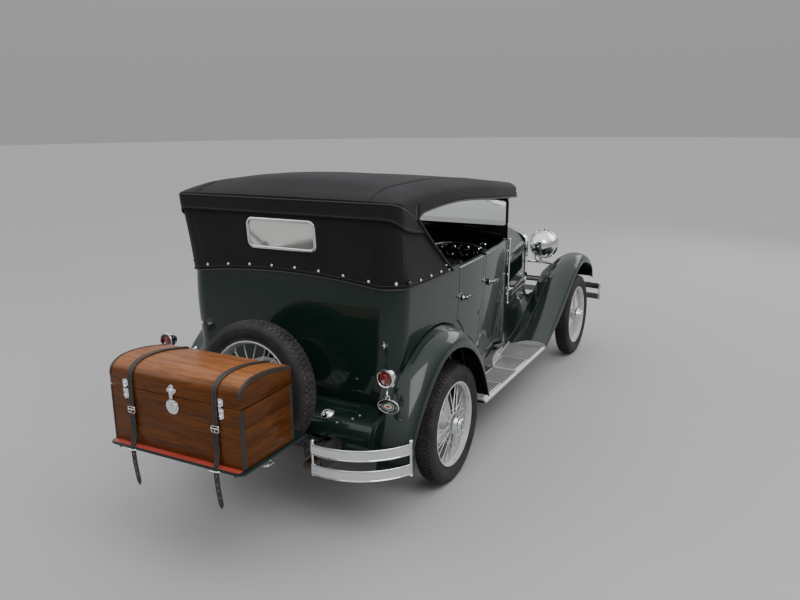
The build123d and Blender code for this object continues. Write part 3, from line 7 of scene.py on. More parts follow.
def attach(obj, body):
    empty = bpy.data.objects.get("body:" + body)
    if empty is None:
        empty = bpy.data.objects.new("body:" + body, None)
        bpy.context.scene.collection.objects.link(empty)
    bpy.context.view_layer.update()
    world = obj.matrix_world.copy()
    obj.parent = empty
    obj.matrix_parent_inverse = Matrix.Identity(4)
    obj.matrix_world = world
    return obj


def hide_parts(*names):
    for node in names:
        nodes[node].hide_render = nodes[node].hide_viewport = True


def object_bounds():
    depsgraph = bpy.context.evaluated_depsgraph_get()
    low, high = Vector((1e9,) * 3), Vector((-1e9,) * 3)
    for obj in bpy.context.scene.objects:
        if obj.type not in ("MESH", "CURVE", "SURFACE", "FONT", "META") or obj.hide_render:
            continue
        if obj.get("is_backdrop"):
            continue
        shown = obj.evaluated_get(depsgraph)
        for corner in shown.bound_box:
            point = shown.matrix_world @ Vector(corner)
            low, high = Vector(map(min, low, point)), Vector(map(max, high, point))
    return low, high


# Open touring car: looks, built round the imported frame. Metres; Z up, the car faces -Y, its left side is +X.
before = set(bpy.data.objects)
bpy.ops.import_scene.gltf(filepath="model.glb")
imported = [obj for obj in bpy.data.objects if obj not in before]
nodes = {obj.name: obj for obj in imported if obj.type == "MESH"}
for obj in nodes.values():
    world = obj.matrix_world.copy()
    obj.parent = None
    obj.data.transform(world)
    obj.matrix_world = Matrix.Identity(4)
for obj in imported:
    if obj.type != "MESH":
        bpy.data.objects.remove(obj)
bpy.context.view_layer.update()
rng = np.random.default_rng(11)


def ya(mm):
    """Row-frame Y in metres of a station measured in millimetres from the rear axle."""
    return 0.95 + mm / 1000.0


def pt(x, a, z):
    return np.array([x / 1000.0, ya(a), z / 1000.0])


# ------------------------------------------------------------------ shape helpers
def unit(v):
    v = np.asarray(v, float)
    n = np.linalg.norm(v)
    return v / n if n > 1e-12 else v


def frame_of(origin, z, x=None):
    """4x4 whose Z is z and whose X is near x."""
    z = unit(z)
    if x is None:
        x = (1, 0, 0) if abs(z[0]) < 0.9 else (0, 1, 0)
    y = unit(np.cross(z, x))
    x = np.cross(y, z)
    m = np.eye(4)
    m[:3, 0], m[:3, 1], m[:3, 2], m[:3, 3] = x, y, z, origin
    return m


def moved(g, m):
    v, f = g
    return v @ m[:3, :3].T + m[:3, 3], f


def shifted(g, d):
    return g[0] + np.asarray(d, float), g[1]


def flipped(g):
    return g[0], [tuple(reversed(q)) for q in g[1]]


def mirrored(g):
    return g[0] * np.array([-1.0, 1.0, 1.0]), [tuple(reversed(q)) for q in g[1]]


def joined(*gs):
    v, f, n = [], [], 0
    for gv, gf in gs:
        v.append(np.asarray(gv, float))
        f += [tuple(i + n for i in q) for q in gf]
        n += len(gv)
    return np.concatenate(v), f


def g_grid(p, cu=False, cv=False, flip=False):
    """Quads over p[u][v]; cu and cv close it along u and v."""
    p = np.asarray(p, float)
    nu, nv = p.shape[:2]
    iu = np.arange(nu if cu else nu - 1)
    iv = np.arange(nv if cv else nv - 1)
    a, b = np.meshgrid(iu, iv, indexing="ij")
    a2, b2 = (a + 1) % nu, (b + 1) % nv
    q = np.stack([a * nv + b, a2 * nv + b, a2 * nv + b2, a * nv + b2], -1).reshape(-1, 4)
    if flip:
        q = q[:, ::-1]
    return p.reshape(-1, 3), [tuple(x) for x in q.tolist()]


def g_lathe(prof, seg=48, arc=360.0):
    """Turns (radius, height) pairs about Z. A radius of 0 makes a pole."""
    v, rows = [], []
    full = arc >= 359.99
    n = seg if full else seg + 1
    ang = np.radians(arc) * np.arange(n) / seg
    c, s = np.cos(ang), np.sin(ang)
    for r, h in prof:
        start = len(v)
        if abs(r) < 1e-9:
            v.append((0.0, 0.0, h))
            rows.append([start] * n)
        else:
            v += [(r * c[i], r * s[i], h) for i in range(n)]
            rows.append(list(range(start, start + n)))
    f = []
    for k in range(len(rows) - 1):
        lo, hi = rows[k], rows[k + 1]
        for i in range(seg):
            j = (i + 1) % n if full else i + 1
            q = [lo[i], lo[j], hi[j], hi[i]]
            q = [x for m, x in enumerate(q) if x not in q[:m]]
            if len(q) > 2:
                f.append(tuple(q))
    return np.array(v, float), f


def path_frames(path, closed=False, up=None):
    path = np.asarray(path, float)
    n = len(path)
    if closed:
        t = np.roll(path, -1, 0) - np.roll(path, 1, 0)
    else:
        t = np.gradient(path, axis=0)
    t = t / np.linalg.norm(t, axis=1)[:, None]
    xs, ys = np.zeros_like(t), np.zeros_like(t)
    if up is not None:
        for i in range(n):
            u = np.asarray(up[i] if np.ndim(up) == 2 else up, float)
            x = unit(np.cross(u, t[i]))
            xs[i], ys[i] = x, np.cross(t[i], x)
    else:
        ref = (0, 0, 1) if abs(t[0][2]) < 0.9 else (1, 0, 0)
        x = unit(np.cross(ref, t[0]))
        for i in range(n):
            x = unit(x - t[i] * np.dot(x, t[i]))
            xs[i], ys[i] = x, np.cross(t[i], x)
        if closed:
            back = unit(xs[0] - t[-1] * np.dot(xs[0], t[-1]))
            twist = math.atan2(np.dot(back, ys[-1]), np.dot(back, xs[-1]))
            for i in range(n):
                w = twist * i / n
                x0, y0 = xs[i].copy(), ys[i].copy()
                xs[i] = x0 * math.cos(w) + y0 * math.sin(w)
                ys[i] = -x0 * math.sin(w) + y0 * math.cos(w)
    return path, t, xs, ys


def g_sweep(path, sec, closed=False, up=None, caps=True, scale=None):
    """Section (x, y) pairs swept along a path; x lies across, y along up."""
    path, t, xs, ys = path_frames(path, closed, up)
    sec = np.asarray(sec, float)
    k = np.ones(len(path)) if scale is None else np.asarray(scale, float)
    p = path[:, None, :] + k[:, None, None] * (sec[None, :, :1] * xs[:, None, :] + sec[None, :, 1:2] * ys[:, None, :])
    v, f = g_grid(p, cu=closed, cv=True, flip=True)
    if caps and not closed:
        m, n = len(sec), len(path)
        f = f + [tuple(range(m)), tuple((n - 1) * m + i for i in reversed(range(m)))]
    return v, f


def circle(r, seg=12, ry=None):
    a = np.arange(seg) * 2 * math.pi / seg
    return np.stack([r * np.cos(a), (ry or r) * np.sin(a)], -1)


def g_tube(path, r, seg=10, closed=False, caps=True, scale=None):
    return g_sweep(path, circle(r, seg), closed=closed, caps=caps, scale=scale)


def g_rod(a, b, r, seg=10, r2=None):
    a, b = np.asarray(a, float), np.asarray(b, float)
    d = b - a
    length = np.linalg.norm(d)
    g = g_lathe([(0, 0), (r, 0), (r if r2 is None else r2, length), (0, length)], seg)
    return moved(g, frame_of(a, d))


def g_turned(a, axis, prof, seg=32):
    """A turned piece standing at a along axis; prof is (radius, height)."""
    return moved(g_lathe(prof, seg), frame_of(a, axis))


def g_ball(c, r, seg=16, rings=10, sz=1.0):
    th = np.linspace(-math.pi / 2, math.pi / 2, rings + 1)
    prof = [(max(0.0, r * math.cos(x)), r * sz * math.sin(x)) for x in th]
    prof[0], prof[-1] = (0, -r * sz), (0, r * sz)
    return shifted(g_lathe(prof, seg), c)


def from_bm(bm):
    bm.verts.index_update()
    v = np.array([x.co[:] for x in bm.verts], float).reshape(-1, 3)
    f = [tuple(x.index for x in q.verts) for q in bm.faces]
    bm.free()
    return v, f


def g_box(lo, hi, bev=0.0015, seg=2):
    lo, hi = np.minimum(lo, hi), np.maximum(lo, hi)
    bm = bmesh.new()
    bmesh.ops.create_cube(bm, size=1.0)
    size, mid = hi - lo, (hi + lo) / 2
    for x in bm.verts:
        x.co = Vector(np.array(x.co) * size + mid)
    b = min(bev, 0.45 * size.min())
    if b > 1e-5:
        bmesh.ops.bevel(bm, geom=bm.edges[:], offset=b, segments=seg, profile=0.5, affect="EDGES")
    return from_bm(bm)


def g_plate(poly, t, bev=0.001, seg=2):
    """A flat outline in XY, t thick, with rounded rims."""
    bm = bmesh.new()
    base = [bm.verts.new((x, y, 0)) for x, y in poly]
    bm.faces.new(base)
    bmesh.ops.recalc_face_normals(bm, faces=bm.faces)
    out = bmesh.ops.extrude_face_region(bm, geom=bm.faces[:])
    for x in out["geom"]:
        if isinstance(x, bmesh.types.BMVert):
            x.co.z += t
    bmesh.ops.recalc_face_normals(bm, faces=bm.faces)
    if bev > 0:
        rim = [e for e in bm.edges if abs(e.verts[0].co.z - e.verts[1].co.z) < 1e-9]
        bmesh.ops.bevel(bm, geom=rim, offset=min(bev, 0.45 * t), segments=seg, profile=0.5, affect="EDGES")
    return from_bm(bm)


def rounded_rect(w, h, r, seg=6, cx=0.0, cy=0.0):
    out = []
    for sx, sy, a0 in ((1, 1, 0), (-1, 1, 90), (-1, -1, 180), (1, -1, 270)):
        for i in range(seg + 1):
            a = math.radians(a0 + 90 * i / seg)
            out.append((cx + sx * (w / 2 - r) + r * math.cos(a), cy + sy * (h / 2 - r) + r * math.sin(a)))
    return np.array(out)


def smooth_line(points, n=8, closed=False):
    """Catmull-Rom line through the points, n steps a span."""
    p = np.asarray(points, float)
    m = len(p)
    out = []
    for i in range(m if closed else m - 1):
        if closed:
            a, b, c, d = p[(i - 1) % m], p[i], p[(i + 1) % m], p[(i + 2) % m]
        else:
            b, c = p[i], p[i + 1]
            a = p[i - 1] if i > 0 else 2 * b - c
            d = p[i + 2] if i + 2 < m else 2 * c - b
        for k in range(n):
            t = k / n
            out.append(0.5 * (2 * b + (c - a) * t + (2 * a - 5 * b + 4 * c - d) * t * t + (3 * b - a - 3 * c + d) * t ** 3))
    if not closed:
        out.append(p[-1])
    return np.array(out)


def curve_of(xs, ys):
    """Natural cubic through a table, as a function."""
    xs, ys = np.asarray(xs, float), np.asarray(ys, float)
    order = np.argsort(xs)
    xs, ys = xs[order], ys[order]
    n = len(xs)
    h = np.diff(xs)
    a = np.zeros((n, n))
    b = np.zeros((n,) + ys.shape[1:])
    a[0, 0] = a[-1, -1] = 1
    for i in range(1, n - 1):
        a[i, i - 1], a[i, i], a[i, i + 1] = h[i - 1], 2 * (h[i - 1] + h[i]), h[i]
        b[i] = 3 * ((ys[i + 1] - ys[i]) / h[i] - (ys[i] - ys[i - 1]) / h[i - 1])
    c = np.linalg.solve(a, b)

    def f(x):
        x = np.asarray(x, float)
        k = np.clip(np.searchsorted(xs, x) - 1, 0, n - 2)
        d = x - xs[k]
        hk = h[k]
        if ys.ndim > 1:
            d, hk = d[..., None], hk[..., None]
        bb = (ys[k + 1] - ys[k]) / hk - hk * (2 * c[k] + c[k + 1]) / 3
        dd = (c[k + 1] - c[k]) / (3 * hk)
        return ys[k] + bb * d + c[k] * d * d + dd * d ** 3
    return f


class Shape:
    """Collects shapes with their materials and makes one object of them."""

    def __init__(self):
        self.v, self.f, self.m, self.mats, self.n = [], [], [], [], 0

    def add(self, g, mat, both=False):
        v, f = g
        if mat not in self.mats:
            self.mats.append(mat)
        k = self.mats.index(mat)
        self.v.append(np.asarray(v, float))
        self.f += [tuple(i + self.n for i in q) for q in f]
        self.m += [k] * len(f)
        self.n += len(v)
        if both:
            self.add(mirrored(g), mat)
        return self

    def mirror(self, mat_from=0):
        """Adds the mirror image of everything collected so far."""
        v = np.concatenate(self.v) * np.array([-1.0, 1.0, 1.0])
        f = [tuple(i + self.n for i in reversed(q)) for q in self.f]
        self.v.append(v)
        self.f += f
        self.m += list(self.m)
        self.n *= 2
        return self

    def done(self, name, body="root", slot=None, replaces=(), angle=38.0, ride=True):
        me = bpy.data.meshes.new(name)
        me.from_pydata(np.concatenate(self.v).tolist(), [], self.f)
        for m in self.mats:
            me.materials.append(MATS[m])
        me.polygons.foreach_set("material_index", self.m)
        me.polygons.foreach_set("use_smooth", [True] * len(self.f))
        me.update()
        me.set_sharp_from_angle(angle=math.radians(angle))
        ob = bpy.data.objects.new(name, me)
        bpy.context.scene.collection.objects.link(ob)
        if ride:
            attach(ob, body)
        if replaces:
            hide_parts(*replaces)
        return ob


# ------------------------------------------------------------------ materials
MATS = {}


class Nodes:
    """A small writer of node materials."""

    def __init__(self, name):
        self.mat = bpy.data.materials.new(name)
        self.mat.use_nodes = True
        self.nt = self.mat.node_tree
        self.nt.nodes.clear()
        self.out = self.nt.nodes.new("ShaderNodeOutputMaterial")
        self.bsdf = self.nt.nodes.new("ShaderNodeBsdfPrincipled")
        self.nt.links.new(self.bsdf.outputs[0], self.out.inputs[0])
        self.tc = self.nt.nodes.new("ShaderNodeTexCoord")
        self.pos = self.tc.outputs["Object"]
        MATS[name] = self.mat

    def new(self, kind, **props):
        n = self.nt.nodes.new(kind)
        for k, v in props.items():
            setattr(n, k, v)
        return n

    def put(self, socket, value):
        if isinstance(value, bpy.types.NodeSocket):
            self.nt.links.new(value, socket)
        elif value is not None:
            socket.default_value = value

    def set(self, **values):
        names = {"color": "Base Color", "rough": "Roughness", "metal": "Metallic", "normal": "Normal", "ior": "IOR",
                 "spec": "Specular IOR Level", "coat": "Coat Weight", "coat_rough": "Coat Roughness", "coat_normal": "Coat Normal",
                 "sheen": "Sheen Weight", "sheen_rough": "Sheen Roughness", "sheen_tint": "Sheen Tint",
                 "trans": "Transmission Weight", "alpha": "Alpha", "emit": "Emission Strength", "emit_color": "Emission Color"}
        for k, v in values.items():
            self.put(self.bsdf.inputs[names[k]], v)
        return self

    def scaled(self, sx, sy, sz, loc=(0, 0, 0), rot=(0, 0, 0)):
        n = self.new("ShaderNodeMapping")
        self.put(n.inputs["Vector"], self.pos)
        n.inputs["Scale"].default_value = (sx, sy, sz)
        n.inputs["Location"].default_value = loc
        n.inputs["Rotation"].default_value = rot
        return n.outputs[0]

    def noise(self, scale, detail=3.0, rough=0.5, vec=None, dist=0.0):
        n = self.new("ShaderNodeTexNoise")
        self.put(n.inputs["Vector"], self.pos if vec is None else vec)
        n.inputs["Scale"].default_value = scale
        n.inputs["Detail"].default_value = detail
        n.inputs["Roughness"].default_value = rough
        n.inputs["Distortion"].default_value = dist
        return n.outputs["Fac"]

    def wave(self, scale, vec=None, direction="X", dist=0.0, profile="SIN", detail=1.0, kind="BANDS"):
        n = self.new("ShaderNodeTexWave", wave_type=kind, wave_profile=profile)
        if kind == "BANDS":
            n.bands_direction = direction
        self.put(n.inputs["Vector"], self.pos if vec is None else vec)
        n.inputs["Scale"].default_value = scale
        n.inputs["Distortion"].default_value = dist
        n.inputs["Detail"].default_value = detail
        return n.outputs["Fac"]

    def cells(self, scale, vec=None, feature="F1", rnd=1.0, out="Distance"):
        n = self.new("ShaderNodeTexVoronoi", feature=feature)
        self.put(n.inputs["Vector"], self.pos if vec is None else vec)
        n.inputs["Scale"].default_value = scale
        n.inputs["Randomness"].default_value = rnd
        return n.outputs[out]

    def math(self, op, a, b=None, c=None, clamp=False):
        n = self.new("ShaderNodeMath", operation=op, use_clamp=clamp)
        self.put(n.inputs[0], a)
        self.put(n.inputs[1], b)
        self.put(n.inputs[2], c)
        return n.outputs[0]

    def range(self, value, a, b, c, d, clamp=True):
        n = self.new("ShaderNodeMapRange", clamp=clamp)
        self.put(n.inputs[0], value)
        for i, x in enumerate((a, b, c, d)):
            n.inputs[1 + i].default_value = x
        return n.outputs[0]

    def axis(self, which, vec=None):
        n = self.new("ShaderNodeSeparateXYZ")
        self.put(n.inputs[0], self.pos if vec is None else vec)
        return n.outputs["XYZ".index(which)]

    def vector(self, x, y, z):
        n = self.new("ShaderNodeCombineXYZ")
        for i, s in enumerate((x, y, z)):
            self.put(n.inputs[i], s)
        return n.outputs[0]

    def normal_axis(self, which):
        g = self.new("ShaderNodeNewGeometry")
        return self.axis(which, g.outputs["Normal"])

    def edge_wear(self, lo=0.52, hi=0.62):
        g = self.new("ShaderNodeNewGeometry")
        return self.range(g.outputs["Pointiness"], lo, hi, 0, 1)

    def ramp(self, fac, stops):
        n = self.new("ShaderNodeValToRGB")
        self.put(n.inputs[0], fac)
        e = n.color_ramp.elements
        while len(e) < len(stops):
            e.new(0.5)
        for i, (p, c) in enumerate(stops):
            e[i].position = p
            e[i].color = tuple(c) + (1.0,) if len(c) == 3 else c
        return n.outputs[0]

    def mix(self, fac, a, b, blend="MIX"):
        n = self.new("ShaderNodeMix", data_type="RGBA", blend_type=blend)
        self.put(n.inputs[0], fac)
        for s, x in ((n.inputs[6], a), (n.inputs[7], b)):
            if isinstance(x, bpy.types.NodeSocket):
                self.nt.links.new(x, s)
            else:
                s.default_value = tuple(x) + (1.0,) if len(x) == 3 else x
        return n.outputs[2]

    def bump(self, height, strength=0.3, distance=0.001, under=None):
        n = self.new("ShaderNodeBump")
        self.put(n.inputs["Height"], height)
        n.inputs["Strength"].default_value = strength
        n.inputs["Distance"].default_value = distance
        if under is not None:
            self.put(n.inputs["Normal"], under)
        return n.outputs[0]


def dust(m, color, tone=(0.16, 0.15, 0.125), top=0.75, low=0.25, most=0.16, scale=7.0):
    """Road dust that gathers low down."""
    z = m.axis("Z")
    n = m.noise(scale, 6, 0.62)
    h = m.range(z, top, low, 0.0, 1.0)
    patch = m.range(n, 0.38, 0.72, 0.25, 1.0)
    fac = m.math("MULTIPLY", m.math("MULTIPLY", h, patch), most)
    return m.mix(fac, color, tone), fac


def mat_paint(name, base, base2, rough=0.34, coat=1.0, coat_rough=0.03, most=0.07, peel=0.012):
    m = Nodes(name)
    big = m.noise(2.2, 3, 0.5)
    fine = m.noise(60, 4, 0.6)
    c = m.mix(m.range(big, 0.35, 0.65, 0, 1), base, base2)
    c, fac = dust(m, c, most=most)
    r = m.math("ADD", m.range(fine, 0.3, 0.7, rough - 0.05, rough + 0.06), m.math("MULTIPLY", fac, 1.6), clamp=True)
    b = m.bump(m.noise(26, 2, 0.5), peel, 0.002)
    m.set(color=c, rough=r, coat=coat, coat_rough=coat_rough, normal=b, spec=0.15)
    return m


def build_materials():
    mat_paint("paint_green", (0.0026, 0.0108, 0.0082), (0.0033, 0.0134, 0.0100), coat=0.62)
    mat_paint("paint_black", (0.0040, 0.0042, 0.0046), (0.0058, 0.0061, 0.0066), rough=0.34)
    # satin chassis black with dust and oil
    m = Nodes("chassis_black")
    n = m.noise(26, 6, 0.65)
    c = m.mix(m.range(n, 0.4, 0.75, 0, 1), (0.012, 0.012, 0.0125), (0.035, 0.031, 0.027))
    c, fac = dust(m, c, tone=(0.13, 0.115, 0.09), top=0.7, low=0.2, most=0.35, scale=12)
    m.set(color=c, rough=m.range(n, 0.3, 0.7, 0.42, 0.68), normal=m.bump(m.noise(180, 5, 0.6), 0.25, 0.0008))
    # chrome
    m = Nodes("chrome")
    n = m.noise(9, 4, 0.6)
    sc = m.noise(70, 3, 0.6, vec=m.scaled(1, 1, 6))
    m.set(color=m.mix(m.range(n, 0.35, 0.7, 0, 1), (0.80, 0.81, 0.82), (0.70, 0.715, 0.73)), metal=1.0,
          rough=m.math("ADD", m.range(n, 0.35, 0.75, 0.035, 0.09), m.range(sc, 0.55, 0.75, 0, 0.06)),
          normal=m.bump(m.noise(16, 2, 0.5), 0.04, 0.002))
    # nickel and bright steel a little duller than chrome
    m = Nodes("nickel")
    n = m.noise(20, 4, 0.6)
    m.set(color=m.mix(n, (0.62, 0.61, 0.585), (0.74, 0.735, 0.72)), metal=1.0, rough=m.range(n, 0.3, 0.7, 0.14, 0.26))
    # silver enamel of the wheels
    m = Nodes("wheel_silver")
    n = m.noise(30, 5, 0.6)
    flake = m.noise(900, 1, 0.5)
    c = m.mix(m.range(n, 0.35, 0.7, 0, 1), (0.66, 0.665, 0.65), (0.54, 0.545, 0.53))
    c = m.mix(m.range(m.noise(14, 5, 0.7), 0.56, 0.78, 0, 0.35), c, (0.17, 0.155, 0.13))
    m.set(color=c, metal=0.35, rough=m.range(n, 0.3, 0.7, 0.30, 0.44), coat=0.35, coat_rough=0.12,
          normal=m.bump(flake, 0.08, 0.0003))
    # tyre rubber, sidewall and tread
    for nm, dusty in (("rubber", 0.30), ("tread", 0.55)):
        m = Nodes(nm)
        n = m.noise(18, 7, 0.65)
        c = m.mix(m.range(n, 0.3, 0.75, 0, 1), (0.012, 0.012, 0.0125), (0.026, 0.0255, 0.0245))
        c = m.mix(m.math("MULTIPLY", m.range(m.noise(7, 6, 0.7), 0.42, 0.72, 0, 1), dusty), c, (0.085, 0.078, 0.064))
        m.set(color=c, rough=m.range(n, 0.3, 0.7, 0.62, 0.84), spec=0.35,
              normal=m.bump(m.noise(240, 5, 0.65), 0.3, 0.0008))
    # black woven canvas of the top
    for nm, lift in (("canvas", 1.0), ("canvas_in", 1.9)):
        m = Nodes(nm)
        x, y, z = m.axis("X"), m.axis("Y"), m.axis("Z")
        k = 3900.0
        s1 = m.math("SINE", m.math("MULTIPLY", x, k))
        s2 = m.math("SINE", m.math("MULTIPLY", m.math("ADD", y, z), k))
        s3 = m.math("SINE", m.math("MULTIPLY", m.math("SUBTRACT", y, z), k))
        w = m.math("ADD", m.math("MULTIPLY", s1, s2), m.math("MULTIPLY", s2, s3))
        slub = m.noise(120, 3, 0.6, vec=m.scaled(1, 7, 1))
        fade = m.noise(3.2, 5, 0.6)
        up = m.range(m.normal_axis("Z"), 0.2, 0.95, 0, 1)
        c = m.mix(m.range(fade, 0.35, 0.7, 0, 1), (0.0050 * lift, 0.0050 * lift, 0.0056 * lift), (0.0085 * lift, 0.0084 * lift, 0.0090 * lift))
        c = m.mix(m.math("MULTIPLY", up, m.range(fade, 0.3, 0.7, 0.25, 0.6)), c, (0.0125 * lift, 0.0123 * lift, 0.0128 * lift))
        c = m.mix(m.range(slub, 0.55, 0.8, 0, 0.3), c, (0.018, 0.018, 0.019))
        soft = m.bump(m.noise(5.5, 3, 0.5, vec=m.scaled(1, 1, 1)), 0.35, 0.012)
        b = m.bump(m.math("ADD", m.math("MULTIPLY", w, 0.5), m.math("MULTIPLY", slub, 0.8)), 0.45, 0.0004, under=soft)
        m.set(color=c, rough=m.range(slub, 0.3, 0.7, 0.80, 0.92), sheen=0.12, sheen_rough=0.45, normal=b, spec=0.25)
        m.bsdf.inputs["Sheen Tint"].default_value = (0.55, 0.56, 0.6, 1)
    # binding and piping of the top
    m = Nodes("binding")
    n = m.noise(80, 4, 0.6)
    m.set(color=m.mix(n, (0.009, 0.009, 0.010), (0.020, 0.020, 0.021)), rough=m.range(n, 0.3, 0.7, 0.42, 0.6),
          normal=m.bump(m.cells(900), 0.25, 0.0004))
    # varnished boards of the trunk; the ends have their grain the other way and are painted a shade darker, and a copy
    # at 40% brightness for the floor and battens under the box is painted shade
    for nm, dark, sx, sy in (("wood", 1.0, 1.1, 13.0), ("wood_side", 0.92, 13.0, 1.1), ("wood_shaded", 0.40, 1.1, 13.0)):
        m = Nodes(nm)
        v = m.scaled(sx, sy, 13.0)
        warp = m.noise(1.6, 3, 0.5, vec=v)
        grain = m.noise(5.0, 9, 0.66, vec=v, dist=0.9)
        fine = m.noise(36.0, 4, 0.6, vec=m.scaled(sx * 0.9, sy * 1.6 if sy > 2 else 1.0, 22.0))
        g = m.math("ADD", m.math("MULTIPLY", grain, 0.72), m.math("MULTIPLY", warp, 0.28))
        c = m.ramp(g, [(0.30, (0.036 * dark, 0.0100 * dark, 0.0016 * dark)), (0.44, (0.074 * dark, 0.0216 * dark, 0.0030 * dark)),
                       (0.56, (0.108 * dark, 0.0332 * dark, 0.0048 * dark)), (0.72, (0.146 * dark, 0.0480 * dark, 0.0076 * dark))])
        if nm == "wood":
            # upward-facing boards get a paler ramp: painted light falling on the lid's crown
            painted_top_light = m.ramp(g, [(0.30, (0.125, 0.0400, 0.0120)), (0.44, (0.215, 0.0760, 0.0240)), (0.56, (0.300, 0.1160, 0.0400)), (0.72, (0.385, 0.1620, 0.0620))])
            c = m.mix(m.range(m.normal_axis("Z"), 0.50, 0.96, 0, 0.9), c, painted_top_light)
        c = m.mix(m.range(fine, 0.55, 0.72, 0, 0.35), c, (0.036 * dark, 0.009 * dark, 0.0026 * dark))
        blot = m.noise(3.4, 5, 0.6)
        c = m.mix(m.range(blot, 0.5, 0.78, 0, 0.5), c, (0.060 * dark, 0.0155 * dark, 0.0036 * dark))
        r = m.range(blot, 0.35, 0.7, 0.36, 0.52)
        m.set(color=c, rough=r, coat=0.22, coat_rough=0.10, spec=0.10,
              normal=m.bump(m.math("ADD", fine, grain), 0.10, 0.0005))
    # red painted board under the trunk
    m = Nodes("red_board")
    n = m.noise(14, 6, 0.6)
    m.set(color=m.mix(n, (0.26, 0.026, 0.018), (0.36, 0.050, 0.032)), rough=m.range(n, 0.3, 0.7, 0.35, 0.5), coat=0.3, coat_rough=0.2,
          normal=m.bump(m.noise(90, 4, 0.6), 0.15, 0.0006))
    # leathers
    for nm, a, b_, r0 in (("strap", (0.0125, 0.0085, 0.0070), (0.040, 0.025, 0.018), 0.42), ("seat_leather", (0.0085, 0.0082, 0.0082), (0.017, 0.0160, 0.0155), 0.36),
                          ("edge_leather", (0.020, 0.0120, 0.0085), (0.048, 0.030, 0.021), 0.45)):
        m = Nodes(nm)
        grain = m.cells(520, feature="DISTANCE_TO_EDGE")
        crease = m.noise(34, 6, 0.62, dist=0.6)
        c = m.mix(m.range(crease, 0.45, 0.72, 0, 1), a, b_)
        bb = m.bump(m.math("ADD", m.range(grain, 0, 0.12, 0, 1), m.math("MULTIPLY", crease, 0.7)), 0.35, 0.0005)
        m.set(color=c, rough=m.range(crease, 0.3, 0.7, r0, r0 + 0.2), normal=bb, coat=0.06, coat_rough=0.3)
    # stitching thread
    m = Nodes("thread")
    m.set(color=m.mix(m.noise(300, 2), (0.05, 0.045, 0.04), (0.10, 0.09, 0.075)), rough=0.75)
    # aluminium trims and step plates
    m = Nodes("alu")
    n = m.noise(40, 5, 0.6, vec=m.scaled(8, 1, 8))
    blot = m.noise(11, 5, 0.6)
    m.set(color=m.mix(m.range(blot, 0.35, 0.7, 0, 1), (0.80, 0.80, 0.785), (0.66, 0.655, 0.635)), metal=0.82, rough=m.range(n, 0.3, 0.7, 0.30, 0.46),
          normal=m.bump(n, 0.1, 0.0004))
    # rubber mat of the running boards
    m = Nodes("mat_rubber")
    n = m.noise(15, 6, 0.65)
    rib = m.wave(62.0, direction="X", profile="SIN")
    c = m.mix(m.range(n, 0.35, 0.7, 0, 1), (0.125, 0.125, 0.125), (0.19, 0.187, 0.18))
    m.set(color=c, rough=m.range(n, 0.3, 0.7, 0.62, 0.8), normal=m.bump(rib, 0.5, 0.0012))
    # glass
    m = Nodes("glass")
    m.set(color=(0.93, 0.96, 0.95, 1), rough=0.02, trans=1.0, ior=1.45, spec=0.5)
    m = Nodes("lens_clear")
    v = m.wave(120.0, direction="X", profile="SIN")
    m.set(color=(0.95, 0.97, 0.97, 1), rough=m.range(m.noise(20), 0.3, 0.7, 0.03, 0.07), trans=0.85, ior=1.45, normal=m.bump(v, 0.5, 0.002))
    m = Nodes("lens_red")
    v = m.cells(190, rnd=0.0)
    m.set(color=m.mix(m.range(v, 0, 0.5, 0, 1), (0.36, 0.012, 0.010), (0.17, 0.004, 0.004)), rough=m.range(m.noise(20), 0.3, 0.7, 0.05, 0.12),
          trans=0.25, coat=1.0, coat_rough=0.03, normal=m.bump(v, 0.6, 0.0015))
    # window of the top: clear sheet, slightly yellowed
    m = Nodes("clear_sheet")
    n = m.noise(5, 4, 0.6)
    m.set(color=m.mix(n, (0.80, 0.86, 0.80), (0.88, 0.91, 0.86)), rough=m.range(n, 0.3, 0.7, 0.05, 0.16), trans=0.9, ior=1.3,
          normal=m.bump(m.noise(7, 2), 0.15, 0.006))
    # plain oval plate: rings of enamel in green, cream and red on black
    m = Nodes("enamel_black")
    m.set(color=m.mix(m.noise(30, 3), (0.006, 0.006, 0.008), (0.012, 0.012, 0.014)), rough=0.18, coat=1.0, coat_rough=0.04)
    for nm, col in (("enamel_green", (0.010, 0.11, 0.045)), ("enamel_red", (0.34, 0.014, 0.014)), ("enamel_cream", (0.62, 0.60, 0.50))):
        m = Nodes(nm)
        m.set(color=m.mix(m.noise(60, 3), col, tuple(0.75 * x for x in col)), rough=0.2, coat=1.0, coat_rough=0.05)
    # engine green-grey iron, exhaust
    m = Nodes("engine_iron")
    n = m.noise(22, 7, 0.65)
    c = m.mix(m.range(n, 0.35, 0.7, 0, 1), (0.016, 0.034, 0.024), (0.038, 0.040, 0.032))
    m.set(color=m.mix(m.range(m.noise(6, 5, 0.7), 0.5, 0.75, 0, 0.7), c, (0.018, 0.014, 0.010)), rough=m.range(n, 0.3, 0.7, 0.45, 0.75),
          normal=m.bump(m.noise(160, 5, 0.6), 0.4, 0.001))
    m = Nodes("exhaust_steel")
    n = m.noise(18, 7, 0.7)
    m.set(color=m.ramp(n, [(0.3, (0.060, 0.048, 0.038)), (0.55, (0.115, 0.080, 0.055)), (0.75, (0.150, 0.085, 0.045))]), metal=0.55,
          rough=m.range(n, 0.3, 0.7, 0.45, 0.75), normal=m.bump(m.noise(90, 6, 0.7), 0.4, 0.0008))
    # radiator core: the cell centres are painted darker than their raised rims, painted shade inside the honeycomb
    m = Nodes("core")
    v = m.cells(95, vec=m.scaled(1, 0.02, 1), rnd=0.0)
    m.set(color=m.mix(m.range(v, 0.2, 0.55, 0, 1), (0.010, 0.010, 0.010), (0.045, 0.045, 0.043)), metal=0.3, rough=m.range(v, 0.2, 0.5, 0.5, 0.7),
          normal=m.bump(v, 0.8, 0.003))
